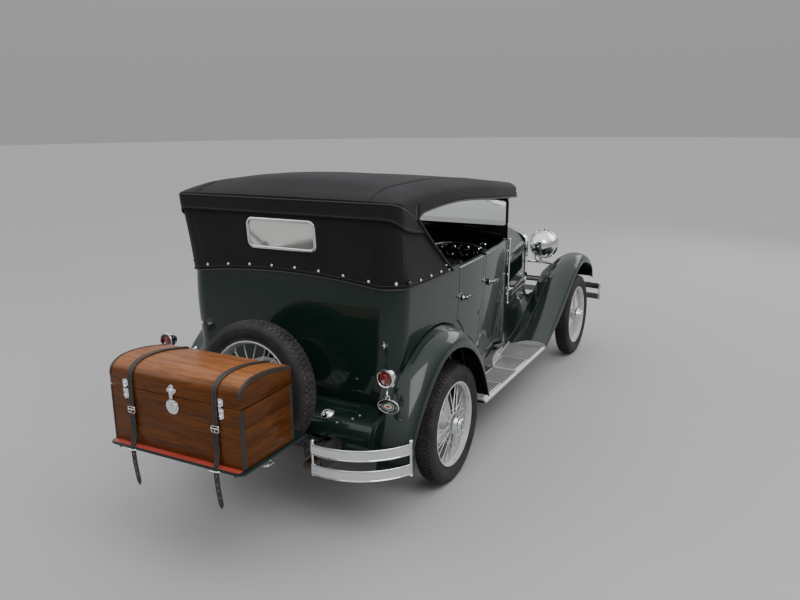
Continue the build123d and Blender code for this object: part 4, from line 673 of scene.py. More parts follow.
    # carpets, boards, dials
    m = Nodes("carpet")
    n = m.noise(380, 3, 0.7)
    m.set(color=m.mix(m.range(m.noise(6, 4), 0.3, 0.7, 0, 1), (0.020, 0.019, 0.018), (0.034, 0.031, 0.028)), rough=0.95, sheen=0.3,
          normal=m.bump(n, 0.7, 0.003))
    m = Nodes("bakelite")
    n = m.noise(24, 5, 0.6)
    m.set(color=m.mix(n, (0.008, 0.008, 0.008), (0.018, 0.017, 0.016)), rough=m.range(n, 0.3, 0.7, 0.16, 0.3), coat=0.5, coat_rough=0.08,
          normal=m.bump(m.noise(220, 3), 0.05, 0.0004))
    m = Nodes("dial")
    n = m.noise(50, 3)
    m.set(color=m.mix(n, (0.52, 0.49, 0.40), (0.64, 0.61, 0.52)), rough=0.5)
    m = Nodes("ink")
    m.set(color=m.mix(m.noise(50, 3), (0.012, 0.012, 0.012), (0.02, 0.02, 0.02)), rough=0.5)
    m = Nodes("brass")
    n = m.noise(24, 4, 0.6)
    m.set(color=m.mix(n, (0.58, 0.40, 0.15), (0.42, 0.29, 0.11)), metal=1.0, rough=m.range(n, 0.3, 0.7, 0.2, 0.4))
    m = Nodes("reflector")
    n = m.noise(12, 3)
    m.set(color=m.mix(n, (0.86, 0.87, 0.88), (0.78, 0.79, 0.80)), metal=1.0, rough=m.range(n, 0.3, 0.7, 0.04, 0.10))
    m = Nodes("top_wood")
    v = m.scaled(1.5, 14, 14)
    n = m.noise(5, 7, 0.6, vec=v, dist=0.6)
    m.set(color=m.ramp(n, [(0.3, (0.11, 0.062, 0.030)), (0.6, (0.22, 0.135, 0.070)), (0.8, (0.29, 0.19, 0.105))]), rough=m.range(n, 0.3, 0.7, 0.4, 0.55),
          normal=m.bump(n, 0.2, 0.0006))
    # stage floor
    m = Nodes("stage")
    n = m.noise(1.2, 4, 0.5)
    m.set(color=m.mix(n, (0.360, 0.360, 0.357), (0.378, 0.378, 0.375)), rough=0.95, spec=0.1)


build_materials()


def paint_node(name, mat):
    """Gives a CAD node's slots one material."""
    ob = nodes[name]
    if not ob.material_slots:
        raise RuntimeError(name)
    for s in ob.material_slots:
        s.material = MATS[mat]

# ------------------------------------------------------------------ finish of the nodes that keep their shape
KEPT = {
    "chassis_frame": "chassis_black", "front_axle": "chassis_black", "rear_axle": "chassis_black", "engine_block": "engine_iron",
    "exhaust": "exhaust_steel", "fuel_tank": "paint_black", "radiator": "chrome", "cowl": "paint_green", "rear_body": "paint_green",
    "body_floor": "paint_green", "front_seat": "seat_leather", "rear_seat": "seat_leather", "windshield_frame": "paint_black",
    "windshield_glass": "glass", "top_canvas": "canvas", "top_bows": "paint_black", "front_fenders": "paint_green",
    "rear_fenders": "paint_green", "running_boards": "paint_black", "rear_apron": "paint_green", "headlamps": "chrome",
    "tail_lamps": "chrome", "bumpers": "chrome", "spare_wheel": "wheel_silver", "spare_tyre": "rubber", "luggage_rack": "paint_green",
    "trunk_box": "wood", "trunk_straps": "strap", "trunk_lid": "wood", "door_front_left": "paint_green", "door_front_right": "paint_green",
    "door_rear_left": "paint_green", "door_rear_right": "paint_green", "hood_left": "paint_green", "hood_right": "paint_green",
    "steering_wheel": "bakelite", "knuckle_left": "chassis_black", "knuckle_right": "chassis_black", "tie_rod": "chassis_black",
    "wheel_front_left": "wheel_silver", "wheel_front_right": "wheel_silver", "wheel_rear_left": "wheel_silver", "wheel_rear_right": "wheel_silver",
    "tyre_front_left": "rubber", "tyre_front_right": "rubber", "tyre_rear_left": "rubber", "tyre_rear_right": "rubber",
    "spare_carrier": "paint_black", "front_bumper_bars": "chrome",
}
for name, mat in KEPT.items():
    if name in nodes:
        paint_node(name, mat)

# ------------------------------------------------------------------ wheels and tyres
MM = 0.001


def mm(prof):
    return [(r * MM, h * MM) for r, h in prof]


def tyre_radius(x):
    """Crown line of the tread across the tyre, millimetres."""
    return 355.6 - 9.2 * (abs(x) / 50.0) ** 2.6


def g_tyre():
    """A tyre about Z, its outer side towards +Z, metres."""
    half = [(256, 46), (258, 48.5), (263, 49), (267, 47.6), (270, 48.6), (281, 54.5), (294, 59.3), (306, 60.6), (316, 60.4), (319, 61.2), (322, 60.3),
            (330, 58.2), (338, 55.0), (343.5, 51.8)]
    crown = [(tyre_radius(x) - (2.6 if 11 < abs(x) < 15 or 28 < abs(x) < 32 else 0.0), x) for x in (47, 40, 32, 30, 28, 20, 15, 13, 11, 6, 0)]
    side = half + crown
    prof = side + [(r, -h) for r, h in reversed(side[:-1])] + [(256, -46), (256, 46)]
    body = g_lathe(mm(list(reversed(prof))), 88)
    v, f = [], []

    def block(x0, x1, a0, a1, top, skew):
        """One raised block between two widths and two angles."""
        n0 = len(v)
        for lift, inset in ((-3.0, 0.0), (top - 1.3, 0.35), (top, 1.5)):
            for x, a in ((x0, a0), (x1, a0), (x1, a1), (x0, a1)):
                xi = x + (inset if x == x0 else -inset)
                r = tyre_radius(xi) + lift
                ai = a + (inset / 356.0 if a == a0 else -inset / 356.0) + skew * xi / 356.0
                v.append((r * math.cos(ai) * MM, r * math.sin(ai) * MM, xi * MM))
        for k in (0, 4):
            for i in range(4):
                j = (i + 1) % 4
                f.append((n0 + k + i, n0 + k + j, n0 + k + 4 + j, n0 + k + 4 + i))
        f.append((n0 + 8, n0 + 9, n0 + 10, n0 + 11))

    count = 74
    pitch = 2 * math.pi / count
    for i in range(count):
        a = i * pitch
        block(-9.5, 9.5, a, a + pitch * 0.86, 5.0, 0.35)
        for s in (1, -1):
            lo, hi = sorted((s * 13.5, s * 28.0))
            block(lo, hi, a + pitch * 0.5, a + pitch * 1.30, 5.0, 0.5 * s)
            lo, hi = sorted((s * 31.5, s * 49.5))
            block(lo, hi, a + pitch * 0.08, a + pitch * 0.84, 4.6, 0.25 * s)
    blocks = (np.array(v), [tuple(reversed(q)) for q in f])
    return body, blocks


def g_wheel():
    """Wheel about Z with its outer face towards +Z: list of (shape, material)."""
    out = []
    rim = [(255, 49.0), (255.6, 47.8), (255, 46.4), (251, 45.5), (250, 44.5), (250, -44.5), (251, -45.5), (255, -46.4), (255.6, -47.8), (255, -49.0),
           (252, -49.6), (248, -48.6), (246, -46), (244.6, -40), (241, -33), (238, -29), (238, -12), (239.2, -9), (239.2, 9), (238, 12), (238, 24),
           (240.0, 26), (240.0, 33), (243.4, 35), (243.4, 42.5), (247.2, 44.5), (247.6, 48.4), (250.5, 49.8), (253.6, 49.8), (255, 49.0)]
    out.append((g_lathe(mm(rim), 112), "wheel_silver"))
    # hub shell with the flanges that take the spokes
    hub = [(18.2, -93.5), (52, -94), (53, -92), (55, -70), (60, -52), (60, -41), (56, -38), (48, -34), (46.5, -20), (46.5, 14), (50, 22), (57, 27),
           (61.5, 31), (62.5, 35), (62.5, 37), (60, 39), (52, 40), (0, 40)]
    out.append((g_lathe(mm(hub), 56), "wheel_silver"))
    cap = [(60, 38), (61.5, 40), (61.8, 44), (61.8, 58), (60.8, 61), (58, 62.2), (55.6, 62.6), (54.4, 64.6), (54.0, 74), (52.6, 76.2), (48.8, 76.9),
           (46.8, 78.4), (46.2, 88), (44.8, 90.2), (39.0, 91.2), (37.2, 93.2), (34.8, 96.4), (32.0, 97.2), (29.5, 96.6), (28.4, 95.4)]
    out.append((g_lathe(mm(cap), 72), "chrome"))
    out.append((g_lathe(mm([(28.6, 95.2), (24, 96.2), (12, 97.0), (0, 97.2)]), 40), "enamel_green"))
    out.append((g_lathe(mm([(9.5, 96.6), (9.2, 97.7), (6.6, 98.3), (0, 98.4)]), 28), "chrome"))
    # bolts of the hub flange
    for i in range(5):
        a = math.radians(72 * i + 18)
        c = np.array([43.0 * math.cos(a), 43.0 * math.sin(a), -94.0]) * MM
        out.append((shifted(g_lathe(mm([(0, -3), (7.5, -3), (8, 3), (0, 3)]), 6), c), "wheel_silver"))
    # brake drum, ribbed round its rim
    drum = [(18.5, -41), (50, -42.5), (70, -44), (96, -42), (120, -41), (134, -41.5), (141, -44), (146, -49), (148.6, -54), (148.6, -58), (146.6, -60),
            (146.6, -64), (148.6, -66), (148.6, -70), (146.6, -72), (146.6, -76), (148.6, -78), (148.6, -84), (150.0, -86), (150.0, -92), (147.5, -94), (143, -93.5),
            (140, -90), (139, -54), (132, -47), (60, -48.5), (18.5, -47)]
    out.append((g_lathe(mm(drum), 72), "wheel_silver"))
    # spokes: ten crossing pairs from the outer flange, ten from the inner
    for i in range(20):
        s = 1 if i % 2 == 0 else -1
        base = math.radians(36 * (i // 2) + (9 if s > 0 else -9))
        tip = base - s * math.radians(20)
        a = np.array([57.5 * math.cos(base), 57.5 * math.sin(base), 31.0]) * MM
        b = np.array([239.6 * math.cos(tip), 239.6 * math.sin(tip), 1.0 + 4.0 * s]) * MM
        out.append((g_rod(a, b, 3.1 * MM, 8, 2.9 * MM), "wheel_silver"))
        d = unit(a - b)
        out.append((moved(g_lathe(mm([(0, 0), (6.4, 0), (5.6, 5), (3.2, 13)]), 10), frame_of(b, d)), "wheel_silver"))
    for i in range(10):
        base = math.radians(36 * i + 18)
        tip = base + math.radians(14 if i % 2 else -14)
        a = np.array([57.0 * math.cos(base), 57.0 * math.sin(base), -43.0]) * MM
        b = np.array([239.6 * math.cos(tip), 239.6 * math.sin(tip), -6.0]) * MM
        out.append((g_rod(a, b, 3.1 * MM, 8, 2.9 * MM), "wheel_silver"))
        d = unit(a - b)
        out.append((moved(g_lathe(mm([(0, 0), (6.4, 0), (5.6, 5), (3.2, 13)]), 10), frame_of(b, d)), "wheel_silver"))
    # valve stem with its cap
    a = np.array([239.0, 0, 9.0]) * MM
    out.append((moved(g_lathe(mm([(0, 0), (6, 0), (6, 4), (4, 5), (3.6, 18), (4.6, 19), (4.6, 28), (2.5, 31), (0, 31)]), 12),
                      frame_of(a, (-0.96, 0, 0.28))), "nickel"))
    return out


TYRE_BODY, TYRE_BLOCKS = g_tyre()
WHEEL_PARTS = g_wheel()
AXLE = 0.361


def put_wheel(place, turn, body, wheel, tyre):
    m = place @ np.array([[math.cos(turn), -math.sin(turn), 0, 0], [math.sin(turn), math.cos(turn), 0, 0], [0, 0, 1, 0], [0, 0, 0, 1.0]])
    s = Shape()
    for g, mat in WHEEL_PARTS:
        s.add(moved(g, m), mat)
    s.done(wheel + "_look", body, slot="wheel_silver", replaces=(wheel,), angle=34)
    s = Shape()
    s.add(moved(TYRE_BODY, m), "rubber")
    s.add(moved(TYRE_BLOCKS, m), "tread")
    s.done(tyre + "_look", body, slot="tyre_rubber", replaces=(tyre,), angle=32)


for nm, x, a in (("front_left", 711, -2769), ("front_right", -711, -2769), ("rear_left", 711, 0), ("rear_right", -711, 0)):
    put_wheel(frame_of(pt(x, a, 361), (1 if x > 0 else -1, 0, 0), (0, 1, 0)), 0.3 + 0.7 * (a < 0) + 0.4 * (x < 0),
              "road_wheel_" + nm, "wheel_" + nm, "tyre_" + nm)
tilt = math.radians(7.3)
put_wheel(frame_of(pt(0, 893, 768), (0, math.cos(tilt), math.sin(tilt)), (1, 0, 0)), 0.5, "root", "spare_wheel", "spare_tyre")

# ------------------------------------------------------------------ fenders
def strip_normals(p):
    t = np.gradient(p, axis=0)
    t = t / np.linalg.norm(t, axis=1)[:, None]
    return t


def front_fender():
    table = np.array([(-3135, 640, .55, .35), (-3110, 722, .80, .60), (-2985, 800, 1, 1), (-2720, 847, 1, 1), (-2430, 725, 1, 1), (-2170, 568, 1, 1),
                      (-1900, 436, .85, .75), (-1700, 366, .50, .40)], float)
    s = np.concatenate([[0], np.cumsum(np.hypot(np.diff(table[:, 0]), np.diff(table[:, 1])))])
    line = curve_of(s, table)
    n = 84
    t = np.linspace(0, s[-1], n)
    rows = line(t)
    rows[:, 2:] = np.clip(rows[:, 2:], 0.3, 1.02)
    tang = np.gradient(rows[:, :2], axis=0)
    tang = tang / np.linalg.norm(tang, axis=1)[:, None]
    top = smooth_line([(800, 0), (797, 16), (791, 36), (765, 63), (705, 76), (640, 64), (590, 36)], 5)
    fl = smooth_line([(583, 30), (560, 10), (505, -34), (452, -84)], 4)
    outer, inner = [], []
    for (a, z, rise, flange), (ta, tz) in zip(rows, tang):
        na, nz = -tz, ta
        o = [(x, r * rise) for x, r in top] + [(x, r * flange if r < 0 else r * (rise if x > 570 else flange)) for x, r in fl]
        o = np.array(o)
        d = strip_normals(o)
        nn = np.stack([d[:, 1], -d[:, 0]], -1)
        i = o + 2.4 * np.stack([-d[:, 1], d[:, 0]], -1)
        outer.append([pt(x, a + na * r, z + nz * r) for x, r in o])
        inner.append([pt(x, a + na * r, z + nz * r) for x, r in i])
    outer, inner = np.array(outer), np.array(inner)
    return outer, inner, rows, tang


def rear_fender():
    table = np.array([(722, 380, 52), (683, 470, 66), (597, 602, 86), (476, 728, 104), (343, 826, 112), (220, 872, 112), (50, 866, 116),
                      (-149, 776, 111), (-303, 601, 84), (-404, 406, 22)], float)
    s = np.concatenate([[0], np.cumsum(np.hypot(np.diff(table[:, 0]), np.diff(table[:, 1])))])
    line = curve_of(s, table)
    n = 92
    rows = line(np.linspace(0, s[-1], n))
    top = smooth_line([(820, 0), (818, .16), (811, .36), (785, .64), (748, .83), (706, .95), (668, 1.0), (655, 1.005)], 5)
    outer, inner = [], []
    for a, z, rise in rows:
        d = math.hypot(a - 135, z - 440)
        na, nz = (a - 135) / d, (z - 440) / d
        o = np.array([(x, r * rise) for x, r in top])
        g = strip_normals(o)
        i = o + 2.4 * np.stack([g[:, 1], -g[:, 0]], -1)
        outer.append([pt(x, a + na * r, z + nz * r) for x, r in o])
        inner.append([pt(x, a + na * r, z + nz * r) for x, r in i])
    return np.array(outer), np.array(inner), rows


def shell_of(outer, inner):
    """Closed sheet from two matching grids."""
    p = np.concatenate([outer, inner[:, ::-1]], axis=1)
    v, f = g_grid(p, cv=True)
    m, n = p.shape[1], p.shape[0]
    k = outer.shape[1]
    for row, flip in ((0, False), (n - 1, True)):
        for j in range(k - 1):
            q = (row * m + j, row * m + j + 1, row * m + m - 2 - j, row * m + m - 1 - j)
            f.append(tuple(reversed(q)) if flip else q)
    return v, f


def outward(g, centre):
    """Turns faces so that the sheet's first faces look away from a centre."""
    v, f = g
    q = f[len(f) // 8]
    a, b, c = v[q[0]], v[q[1]], v[q[2]]
    if np.dot(np.cross(b - a, c - a), a - np.asarray(centre)) < 0:
        return flipped(g)
    return g


fo, fi, frows, ftan = front_fender()
s = Shape()
s.add(outward(shell_of(fo, fi), pt(640, -2700, 400)), "paint_green")
# wired lip, front edge bead and the raised crease along the crown's inner side
lip = fo[:, 0] + np.array([-0.0015, 0, 0])
s.add(g_tube(lip, 0.0042, 8), "paint_green")
s.add(g_tube(fo[0, :34], 0.0042, 8), "paint_green")
s.add(g_tube(fo[4:-3, 33], 0.0028, 6), "paint_green")
s.mirror().done("front_fenders_look", slot="body_green", replaces=("front_fenders",), angle=50)

ro, ri, rrows = rear_fender()
s = Shape()
s.add(outward(shell_of(ro, ri), pt(740, 135, 440)), "paint_green")
s.add(g_tube(ro[:, 0] + np.array([-0.0015, 0, 0]), 0.0042, 8), "paint_green")
s.add(g_tube(ro[0, :33], 0.0042, 8), "paint_green")
# inner flange that meets the body
k0 = 1
root_line = ro[:, -1]
flange = np.array([root_line, root_line + np.array([-0.006, 0, -0.002])])
drop = []
for i, (a, z, rise) in enumerate(rrows):
    d = math.hypot(a - 135, z - 440)
    na, nz = (a - 135) / d, (z - 440) / d
    x0 = 655.0
    drop.append([pt(x0, a + na * rise * 1.005, z + nz * rise * 1.005), pt(x0 - 5, a + na * (rise * 1.005 - 3), z + nz * (rise * 1.005 - 3)),
                 pt(x0 - 7, a + na * (rise - 14), z + nz * (rise - 14)), pt(x0 - 7, a + na * (rise - 34), z + nz * (rise - 34))])
drop = np.array(drop)
s.add(g_grid(drop), "paint_green")
s.add(g_grid(drop + np.array([0.0018, 0, 0]), flip=True), "paint_green")
s.mirror().done("rear_fenders_look", slot="body_green", replaces=("rear_fenders",), angle=50)

# ------------------------------------------------------------------ folding top: one canvas over roof, valance, curtain and quarters
TOP = np.array([  # station, half width, shoulder, crown, share of the shoulder's round
    (628, 716, 1737, 1748, .15), (600, 716, 1740, 1762, .40), (540, 716, 1743, 1786, .72), (440, 715, 1745, 1822, 1.0), (350, 714, 1745, 1838, 1.0),
    (150, 710, 1750, 1839, 1.0), (0, 706, 1750, 1828, 1.0), (-400, 684, 1735, 1795, 1.0), (-785, 662, 1706, 1750, 1.0), (-1150, 631, 1668, 1708, 1.0),
    (-1497, 600, 1626, 1662, 1.0)], float)
top_of = curve_of(TOP[:, 0], TOP[:, 1:])
R_REAR, R_FRONT = 62.0, 34.0


def roof_section(a, w):
    """Height over a share w (0 to 1) of the half width."""
    half, edge, crown, sh = top_of(float(a))
    px = np.array([0, .25 * half, .5 * half, .72 * half, half - 110, half - 62, half - 30, half - 12, half - 3, half])
    pz = np.array([crown, crown - .055 * (crown - edge - 30 * sh), crown - .22 * (crown - edge - 30 * sh), crown - .50 * (crown - edge - 30 * sh),
                   edge + 44 * sh, edge + 30 * sh, edge + 14 * sh, edge + 1 * sh, edge - 11 * sh, edge - 24 * sh])
    pz[4] = min(pz[4], pz[3] - 1)
    return np.interp(w * half, px, pz)


def corner_map(x, a):
    """Rounds the plan's corners."""
    half = float(top_of(float(a))[0])
    for end, rad, sgn in ((628.0, R_REAR, 1), (-1497.0, R_FRONT, -1)):
        q = (a - (end - sgn * rad)) * sgn / rad
        p = (abs(x) - (half - rad)) / rad
        if q > 0 and p > 0:
            p, q = min(p, 1), min(q, 1)
            p2, q2 = p * math.sqrt(1 - q * q / 2), q * math.sqrt(1 - p * p / 2)
            return math.copysign(half - rad + p2 * rad, x), end - sgn * rad + sgn * q2 * rad
    return x, a


stations = np.unique(np.concatenate([np.linspace(-1497, -1463, 4), np.linspace(-1463, 404, 46), np.linspace(404, 566, 9), np.linspace(566, 628, 7)]))
shares = np.unique(np.round(np.concatenate([np.linspace(0, 1 - 130 / 716, 15), np.linspace(1 - 130 / 716, 1 - 62 / 716, 6), np.linspace(1 - 62 / 716, 1, 9)]), 6))
shares = np.concatenate([-shares[::-1], shares[1:]])
bow_at = (440.0, -60.0, -620.0, -1452.0)


def sag(a, w):
    """The cloth's slack between the bows, millimetres."""
    for b, c in zip(bow_at[1:], bow_at[:-1]):
        if b <= a <= c:
            k = (a - b) / (c - b)
            return 6.5 * math.sin(math.pi * k) ** 2 * (1 - abs(w) ** 3)
    return 0.0


roof = np.zeros((len(stations), len(shares), 3))
for i, a in enumerate(stations):
    half = float(top_of(float(a))[0])
    for j, w in enumerate(shares):
        z = roof_section(a, abs(w)) - sag(a, w)
        x, a2 = corner_map(w * half, a)
        roof[i, j] = pt(x, a2, z)
iu404 = int(np.argmin(abs(stations - 404)))

# rim of the roof, from the right quarter's front edge round the back to the left one, and the hem under it
rim = [tuple(roof[i, 0]) for i in range(iu404, len(stations))] + [tuple(q) for q in roof[-1, 1:-1]] + [tuple(roof[i, -1]) for i in range(len(stations) - 1, iu404 - 1, -1)]
rim = np.array(rim)


def seam_z(a):
    """Height of the seam where the deck meets the quarter, by station."""
    return float(np.interp(a, [404, 430, 476, 530, 583, 610, 628], [1627, 1640, 1664, 1692, 1714, 1727, 1733])) / 1000


hem_of = curve_of([404, 360, 300, 0, -400, -593, -785, -1150, -1497], [1629, 1654, 1664, 1672, 1652, 1634, 1617, 1585, 1556])


def rim_station(p):
    return (p[1] - 0.95) * 1000


seam = np.array([(p[0] * 1.0, p[1], min(seam_z(rim_station(p)), p[2] - 0.003)) for p in rim])
out_plan = np.array([unit((p[0] - (0.0 if abs(p[0]) < .60 else math.copysign(.60, p[0])) if abs(p[0]) > .60 else 0.0, max(0.0, p[1] - ya(560)) + 1e-5, 0)) for p in rim])


def belt_point(k):
    """Lower edge of curtain and quarters for column k of the rim."""
    p = rim[k]
    a = rim_station(p)
    side = math.copysign(1, p[0])
    if a < 566.5 and abs(p[0]) > 0.6:
        t = (a - 404) / (566 - 404)
        aa = -49 + t * (468 + 49)
        x = 704.5 + 2.0
        z = 1272 + 16 * (1 - abs(2 * t - 1) ** 2) * 0 + np.interp(aa, [-49, 60, 300, 468], [1285, 1275, 1276, 1283])- 1272
        return pt(side * x, aa, z)
    if abs(p[0]) > (716 - R_REAR) / 1000 + 1e-6:
        ang = math.atan2(p[1] - ya(628 - R_REAR), abs(p[0]) - (716 - R_REAR) / 1000)
        ang = min(max(ang, 0), math.pi / 2)
        return pt(side * (706.5 - 126 + 126 * math.cos(ang)), 594 - 126 + 3 + 126 * math.sin(ang), 1284 + 6 * math.sin(ang))
    k2 = (716 - R_REAR)
    xt = abs(p[0]) * 1000
    xb = xt if xt <= 230 else 230 + (xt - 230) * (580.5 - 230) / (k2 - 230)
    return pt(side * xb, 597, 1290 + 40 * (1 - (xb / 581) ** 2))


belt = np.array([belt_point(k) for k in range(len(rim))])
levels = np.array([0, .045, .12, .20, .29, .38, .47, .56, .65, .74, .83, .92, 1.0])
rear_c = [k for k in range(len(rim)) if abs(rim[k][0]) <= 0.2301 and rim[k][1] > ya(620)]
win_lo, win_hi = 1.470, 1.612
curtain = np.zeros((len(levels), len(rim), 3))
for k in range(len(rim)):
    b, t = belt[k], seam[k]
    for i, w in enumerate(levels):
        q = b + (t - b) * w
        if abs(b[0]) < 0.6:
            pass
        # a slight draw-in of the cloth between the belt and the roof edge
        pull = 0.0065 * math.sin(math.pi * w) * (1.0 if abs(rim[k][0]) > .62 or abs(rim[k][0]) < .55 else .4)
        if abs(b[0]) > 0.70 or rim_station(rim[k]) < 560:
            q = q - np.array([math.copysign(pull, b[0]), 0, 0])
        else:
            q = q - np.array([0, pull * (0.35 if abs(b[0]) < .3 else 1.0), 0])
        curtain[i, k] = q


def cut_window(p, x0, x1, z0, z1):
    """Snaps the nearest rows and columns to a window's edges and says which quads go."""
    p = p.copy()
    mid = [k for k in range(p.shape[1]) if abs(p[0, k, 0]) < 0.45 and p[0, k, 1] > ya(560)]
    cols = []
    for x in (x1, x0):
        k = min(mid, key=lambda c: abs(p[6, c, 0] - x))
        for i in range(p.shape[0]):
            p[i, k, 0] = x
        cols.append(k)
    i0 = min(range(len(levels)), key=lambda i: abs(p[i, mid[len(mid) // 2], 2] - z0))
    i1 = min(range(len(levels)), key=lambda i: abs(p[i, mid[len(mid) // 2], 2] - z1))
    for k in mid:
        for i, z in ((i0, z0), (i1, z1)):
            lo_, hi_ = p[0, k].copy(), p[-1, k].copy()
            w = (z - lo_[2]) / (hi_[2] - lo_[2])
            y = lo_[1] + (hi_[1] - lo_[1]) * w - 0.002
            p[i, k, 1:] = (y, z)
    c0, c1 = sorted(cols)
    gone = {(i, k) for i in range(i0, i1) for k in range(c0, c1)}
    return p, gone


curtain, gone = cut_window(curtain, -0.210, 0.210, win_lo, win_hi)


def canvas_mesh():
    """Roof, rim strip, hems and curtain as one welded sheet."""
    v, f = [], []

    def grid(p, skip=()):
        n0 = len(v)
        nu, nv = p.shape[:2]
        v.extend(p.reshape(-1, 3).tolist())
        for i in range(nu - 1):
            for j in range(nv - 1):
                if (i, j) in skip:
                    continue
                f.append((n0 + i * nv + j, n0 + i * nv + j + 1, n0 + (i + 1) * nv + j + 1, n0 + (i + 1) * nv + j))
    grid(roof)
    # deck between the rim and the seam round the back
    mid = np.stack([rim + (seam - rim) * w for w in (0, .34, .67, 1.0)])
    grid(mid)
    grid(curtain[::-1], {(len(levels) - 2 - i, k) for i, k in gone})
    # side hems forward of the quarters, and the front's
    front = [tuple(roof[i, -1]) for i in range(iu404, -1, -1)] + [tuple(q) for q in roof[0, 1:-1][::-1]] + [tuple(roof[i, 0]) for i in range(0, iu404 + 1)]
    front = np.array(front)
    low = front.copy()
    for k, p in enumerate(front):
        low[k, 2] = float(hem_of(max(min(rim_station(p), 404), -1497))) / 1000
    low[0, 2] = seam[-1][2]
    low[-1, 2] = seam[0][2]
    strip = np.stack([front + (low - front) * w for w in (0, .3, .65, 1.0)])
    grid(strip)
    bm = bmesh.new()
    vs = [bm.verts.new(q) for q in v]
    for q in f:
        try:
            bm.faces.new([vs[i] for i in q])
        except ValueError:
            pass
    bmesh.ops.remove_doubles(bm, verts=bm.verts, dist=0.0006)
    bmesh.ops.dissolve_degenerate(bm, edges=bm.edges, dist=1e-5)
    bmesh.ops.recalc_face_normals(bm, faces=bm.faces)
    up = sum(q.normal.z * q.calc_area() for q in bm.faces if q.calc_center_median().z > 1.75)
    if up < 0:
        bmesh.ops.reverse_faces(bm, faces=bm.faces)
    return bm, low, front


bm, hem_line, hem_front = canvas_mesh()
canvas_area = sum(q.calc_area() for q in bm.faces)
me = bpy.data.meshes.new("top_canvas_look")
bm.to_mesh(me)
bm.free()
me.materials.append(MATS["canvas"])
me.materials.append(MATS["canvas_in"])
me.polygons.foreach_set("use_smooth", [True] * len(me.polygons))
me.set_sharp_from_angle(angle=math.radians(48))
canvas = bpy.data.objects.new("top_canvas_look", me)
bpy.context.scene.collection.objects.link(canvas)
mod = canvas.modifiers.new("cloth", "SOLIDIFY")
mod.thickness = 0.0024
mod.offset = -1.0
mod.material_offset = 1
mod.material_offset_rim = 0
mod.use_quality_normals = True
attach(canvas, "root")
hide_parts("top_canvas")


def plan_out(p):
    """Level direction away from the top's middle at a rim or curtain point."""
    a = rim_station(p)
    if a > 628 - R_REAR and abs(p[0]) > (716 - R_REAR) / 1000:
        return unit((p[0] - math.copysign((716 - R_REAR) / 1000, p[0]), p[1] - ya(628 - R_REAR), 0))
    if a > 600:
        return np.array([0, 1.0, 0])
    return np.array([math.copysign(1.0, p[0]), 0, 0])


trim = Shape()
# piping on the seam
pipe = np.array([p + plan_out(p) * 0.0018 for p in seam])
trim.add(g_tube(smooth_line(pipe, 2), 0.0042, 8), "binding")
# valance below it, hanging clear of the curtain, with a doubled hem
val_low = []
for k, p in enumerate(seam):
    a = rim_station(p)
    zl = float(np.interp(a, [404, 440, 476, 532, 583, 628], [1556, 1560, 1566, 1580, 1606, 1652])) / 1000
    w = (zl - belt[k][2]) / (seam[k][2] - belt[k][2])
    q = belt[k] + (seam[k] - belt[k]) * w
    val_low.append(q)
val_low = np.array(val_low)
rows_ = []
for w, off in ((0.0, .0030), (.25, .0052), (.6, .0068), (.86, .0064), (.90, .0086), (1.0, .0088), (1.0, .0050), (.86, .0040)):
    rows_.append([seam[k] + (val_low[k] - seam[k]) * w + plan_out(seam[k]) * off for k in range(len(seam))])
trim.add(outward(g_grid(np.array(rows_)), pt(0, -200, 1500)), "canvas")
# stitch lines on the hem
for w in (.885,):
    line = np.array([seam[k] + (val_low[k] - seam[k]) * w + plan_out(seam[k]) * .0078 for k in range(len(seam))])
    trim.add(g_tube(line, 0.0007, 4), "thread")
# thick binding on the quarters' slanted front edges
for side in (0, -1):
    col = np.array([curtain[i, side] for i in range(len(levels))])
    col = np.concatenate([col, [seam[side] + np.array([0, 0, .006])]])
    sgn = -1 if side == 0 else 1
    path = smooth_line(col + np.array([sgn * .002, 0, 0]), 3)
    trim.add(g_sweep(path, rounded_rect(.017, .030, .007, 4), up=(sgn, 0, 0)), "canvas")
    trim.add(g_tube(path + np.array([sgn * .0075, -.012, -.004]), 0.0030, 6), "binding")
# bound hem of the deck's sides and front
hem = np.array([p + plan_out(p) * .0006 if rim_station(p) > -1480 else p for p in hem_line])
trim.add(g_tube(hem, 0.0048, 8), "binding")
# lower binding of curtain and quarters on the belt
low = np.array([p + plan_out(rim[k]) * .0022 for k, p in enumerate(belt)])
trim.add(g_tube(low + np.array([0, 0, .004]), 0.0045, 8), "binding")
trim.add(g_tube(np.array([belt[k] + (seam[k] - belt[k]) * .055 + plan_out(rim[k]) * .0012 for k in range(len(rim))]), 0.0007, 4), "thread")
# seams of the roof along the car, with their edge lines
for w in (-0.775, 0.775):
    for dw in (-0.007, 0.007):
        line = []
        for a in np.linspace(-1490, 622, 90):
            half = float(top_of(float(a))[0])
            line.append(pt((w + dw) * half, a, roof_section(a, abs(w + dw)) - sag(a, w) + 0.9))
        trim.add(g_tube(np.array(line), 0.0009, 5), "canvas")
trim.done("top_binding", slot="black_canvas", angle=40)

# turn buttons along the curtain's foot, and the knobs at its corners
s = Shape()


def stud(p, n, r=0.0068):
    s.add(g_turned(p, n, [(0, -.002), (r * 1.25, -.002), (r * 1.25, .0005), (r, .0015), (r * .92, .0042), (r * .55, .0068), (0, .0075)], 14), "nickel")


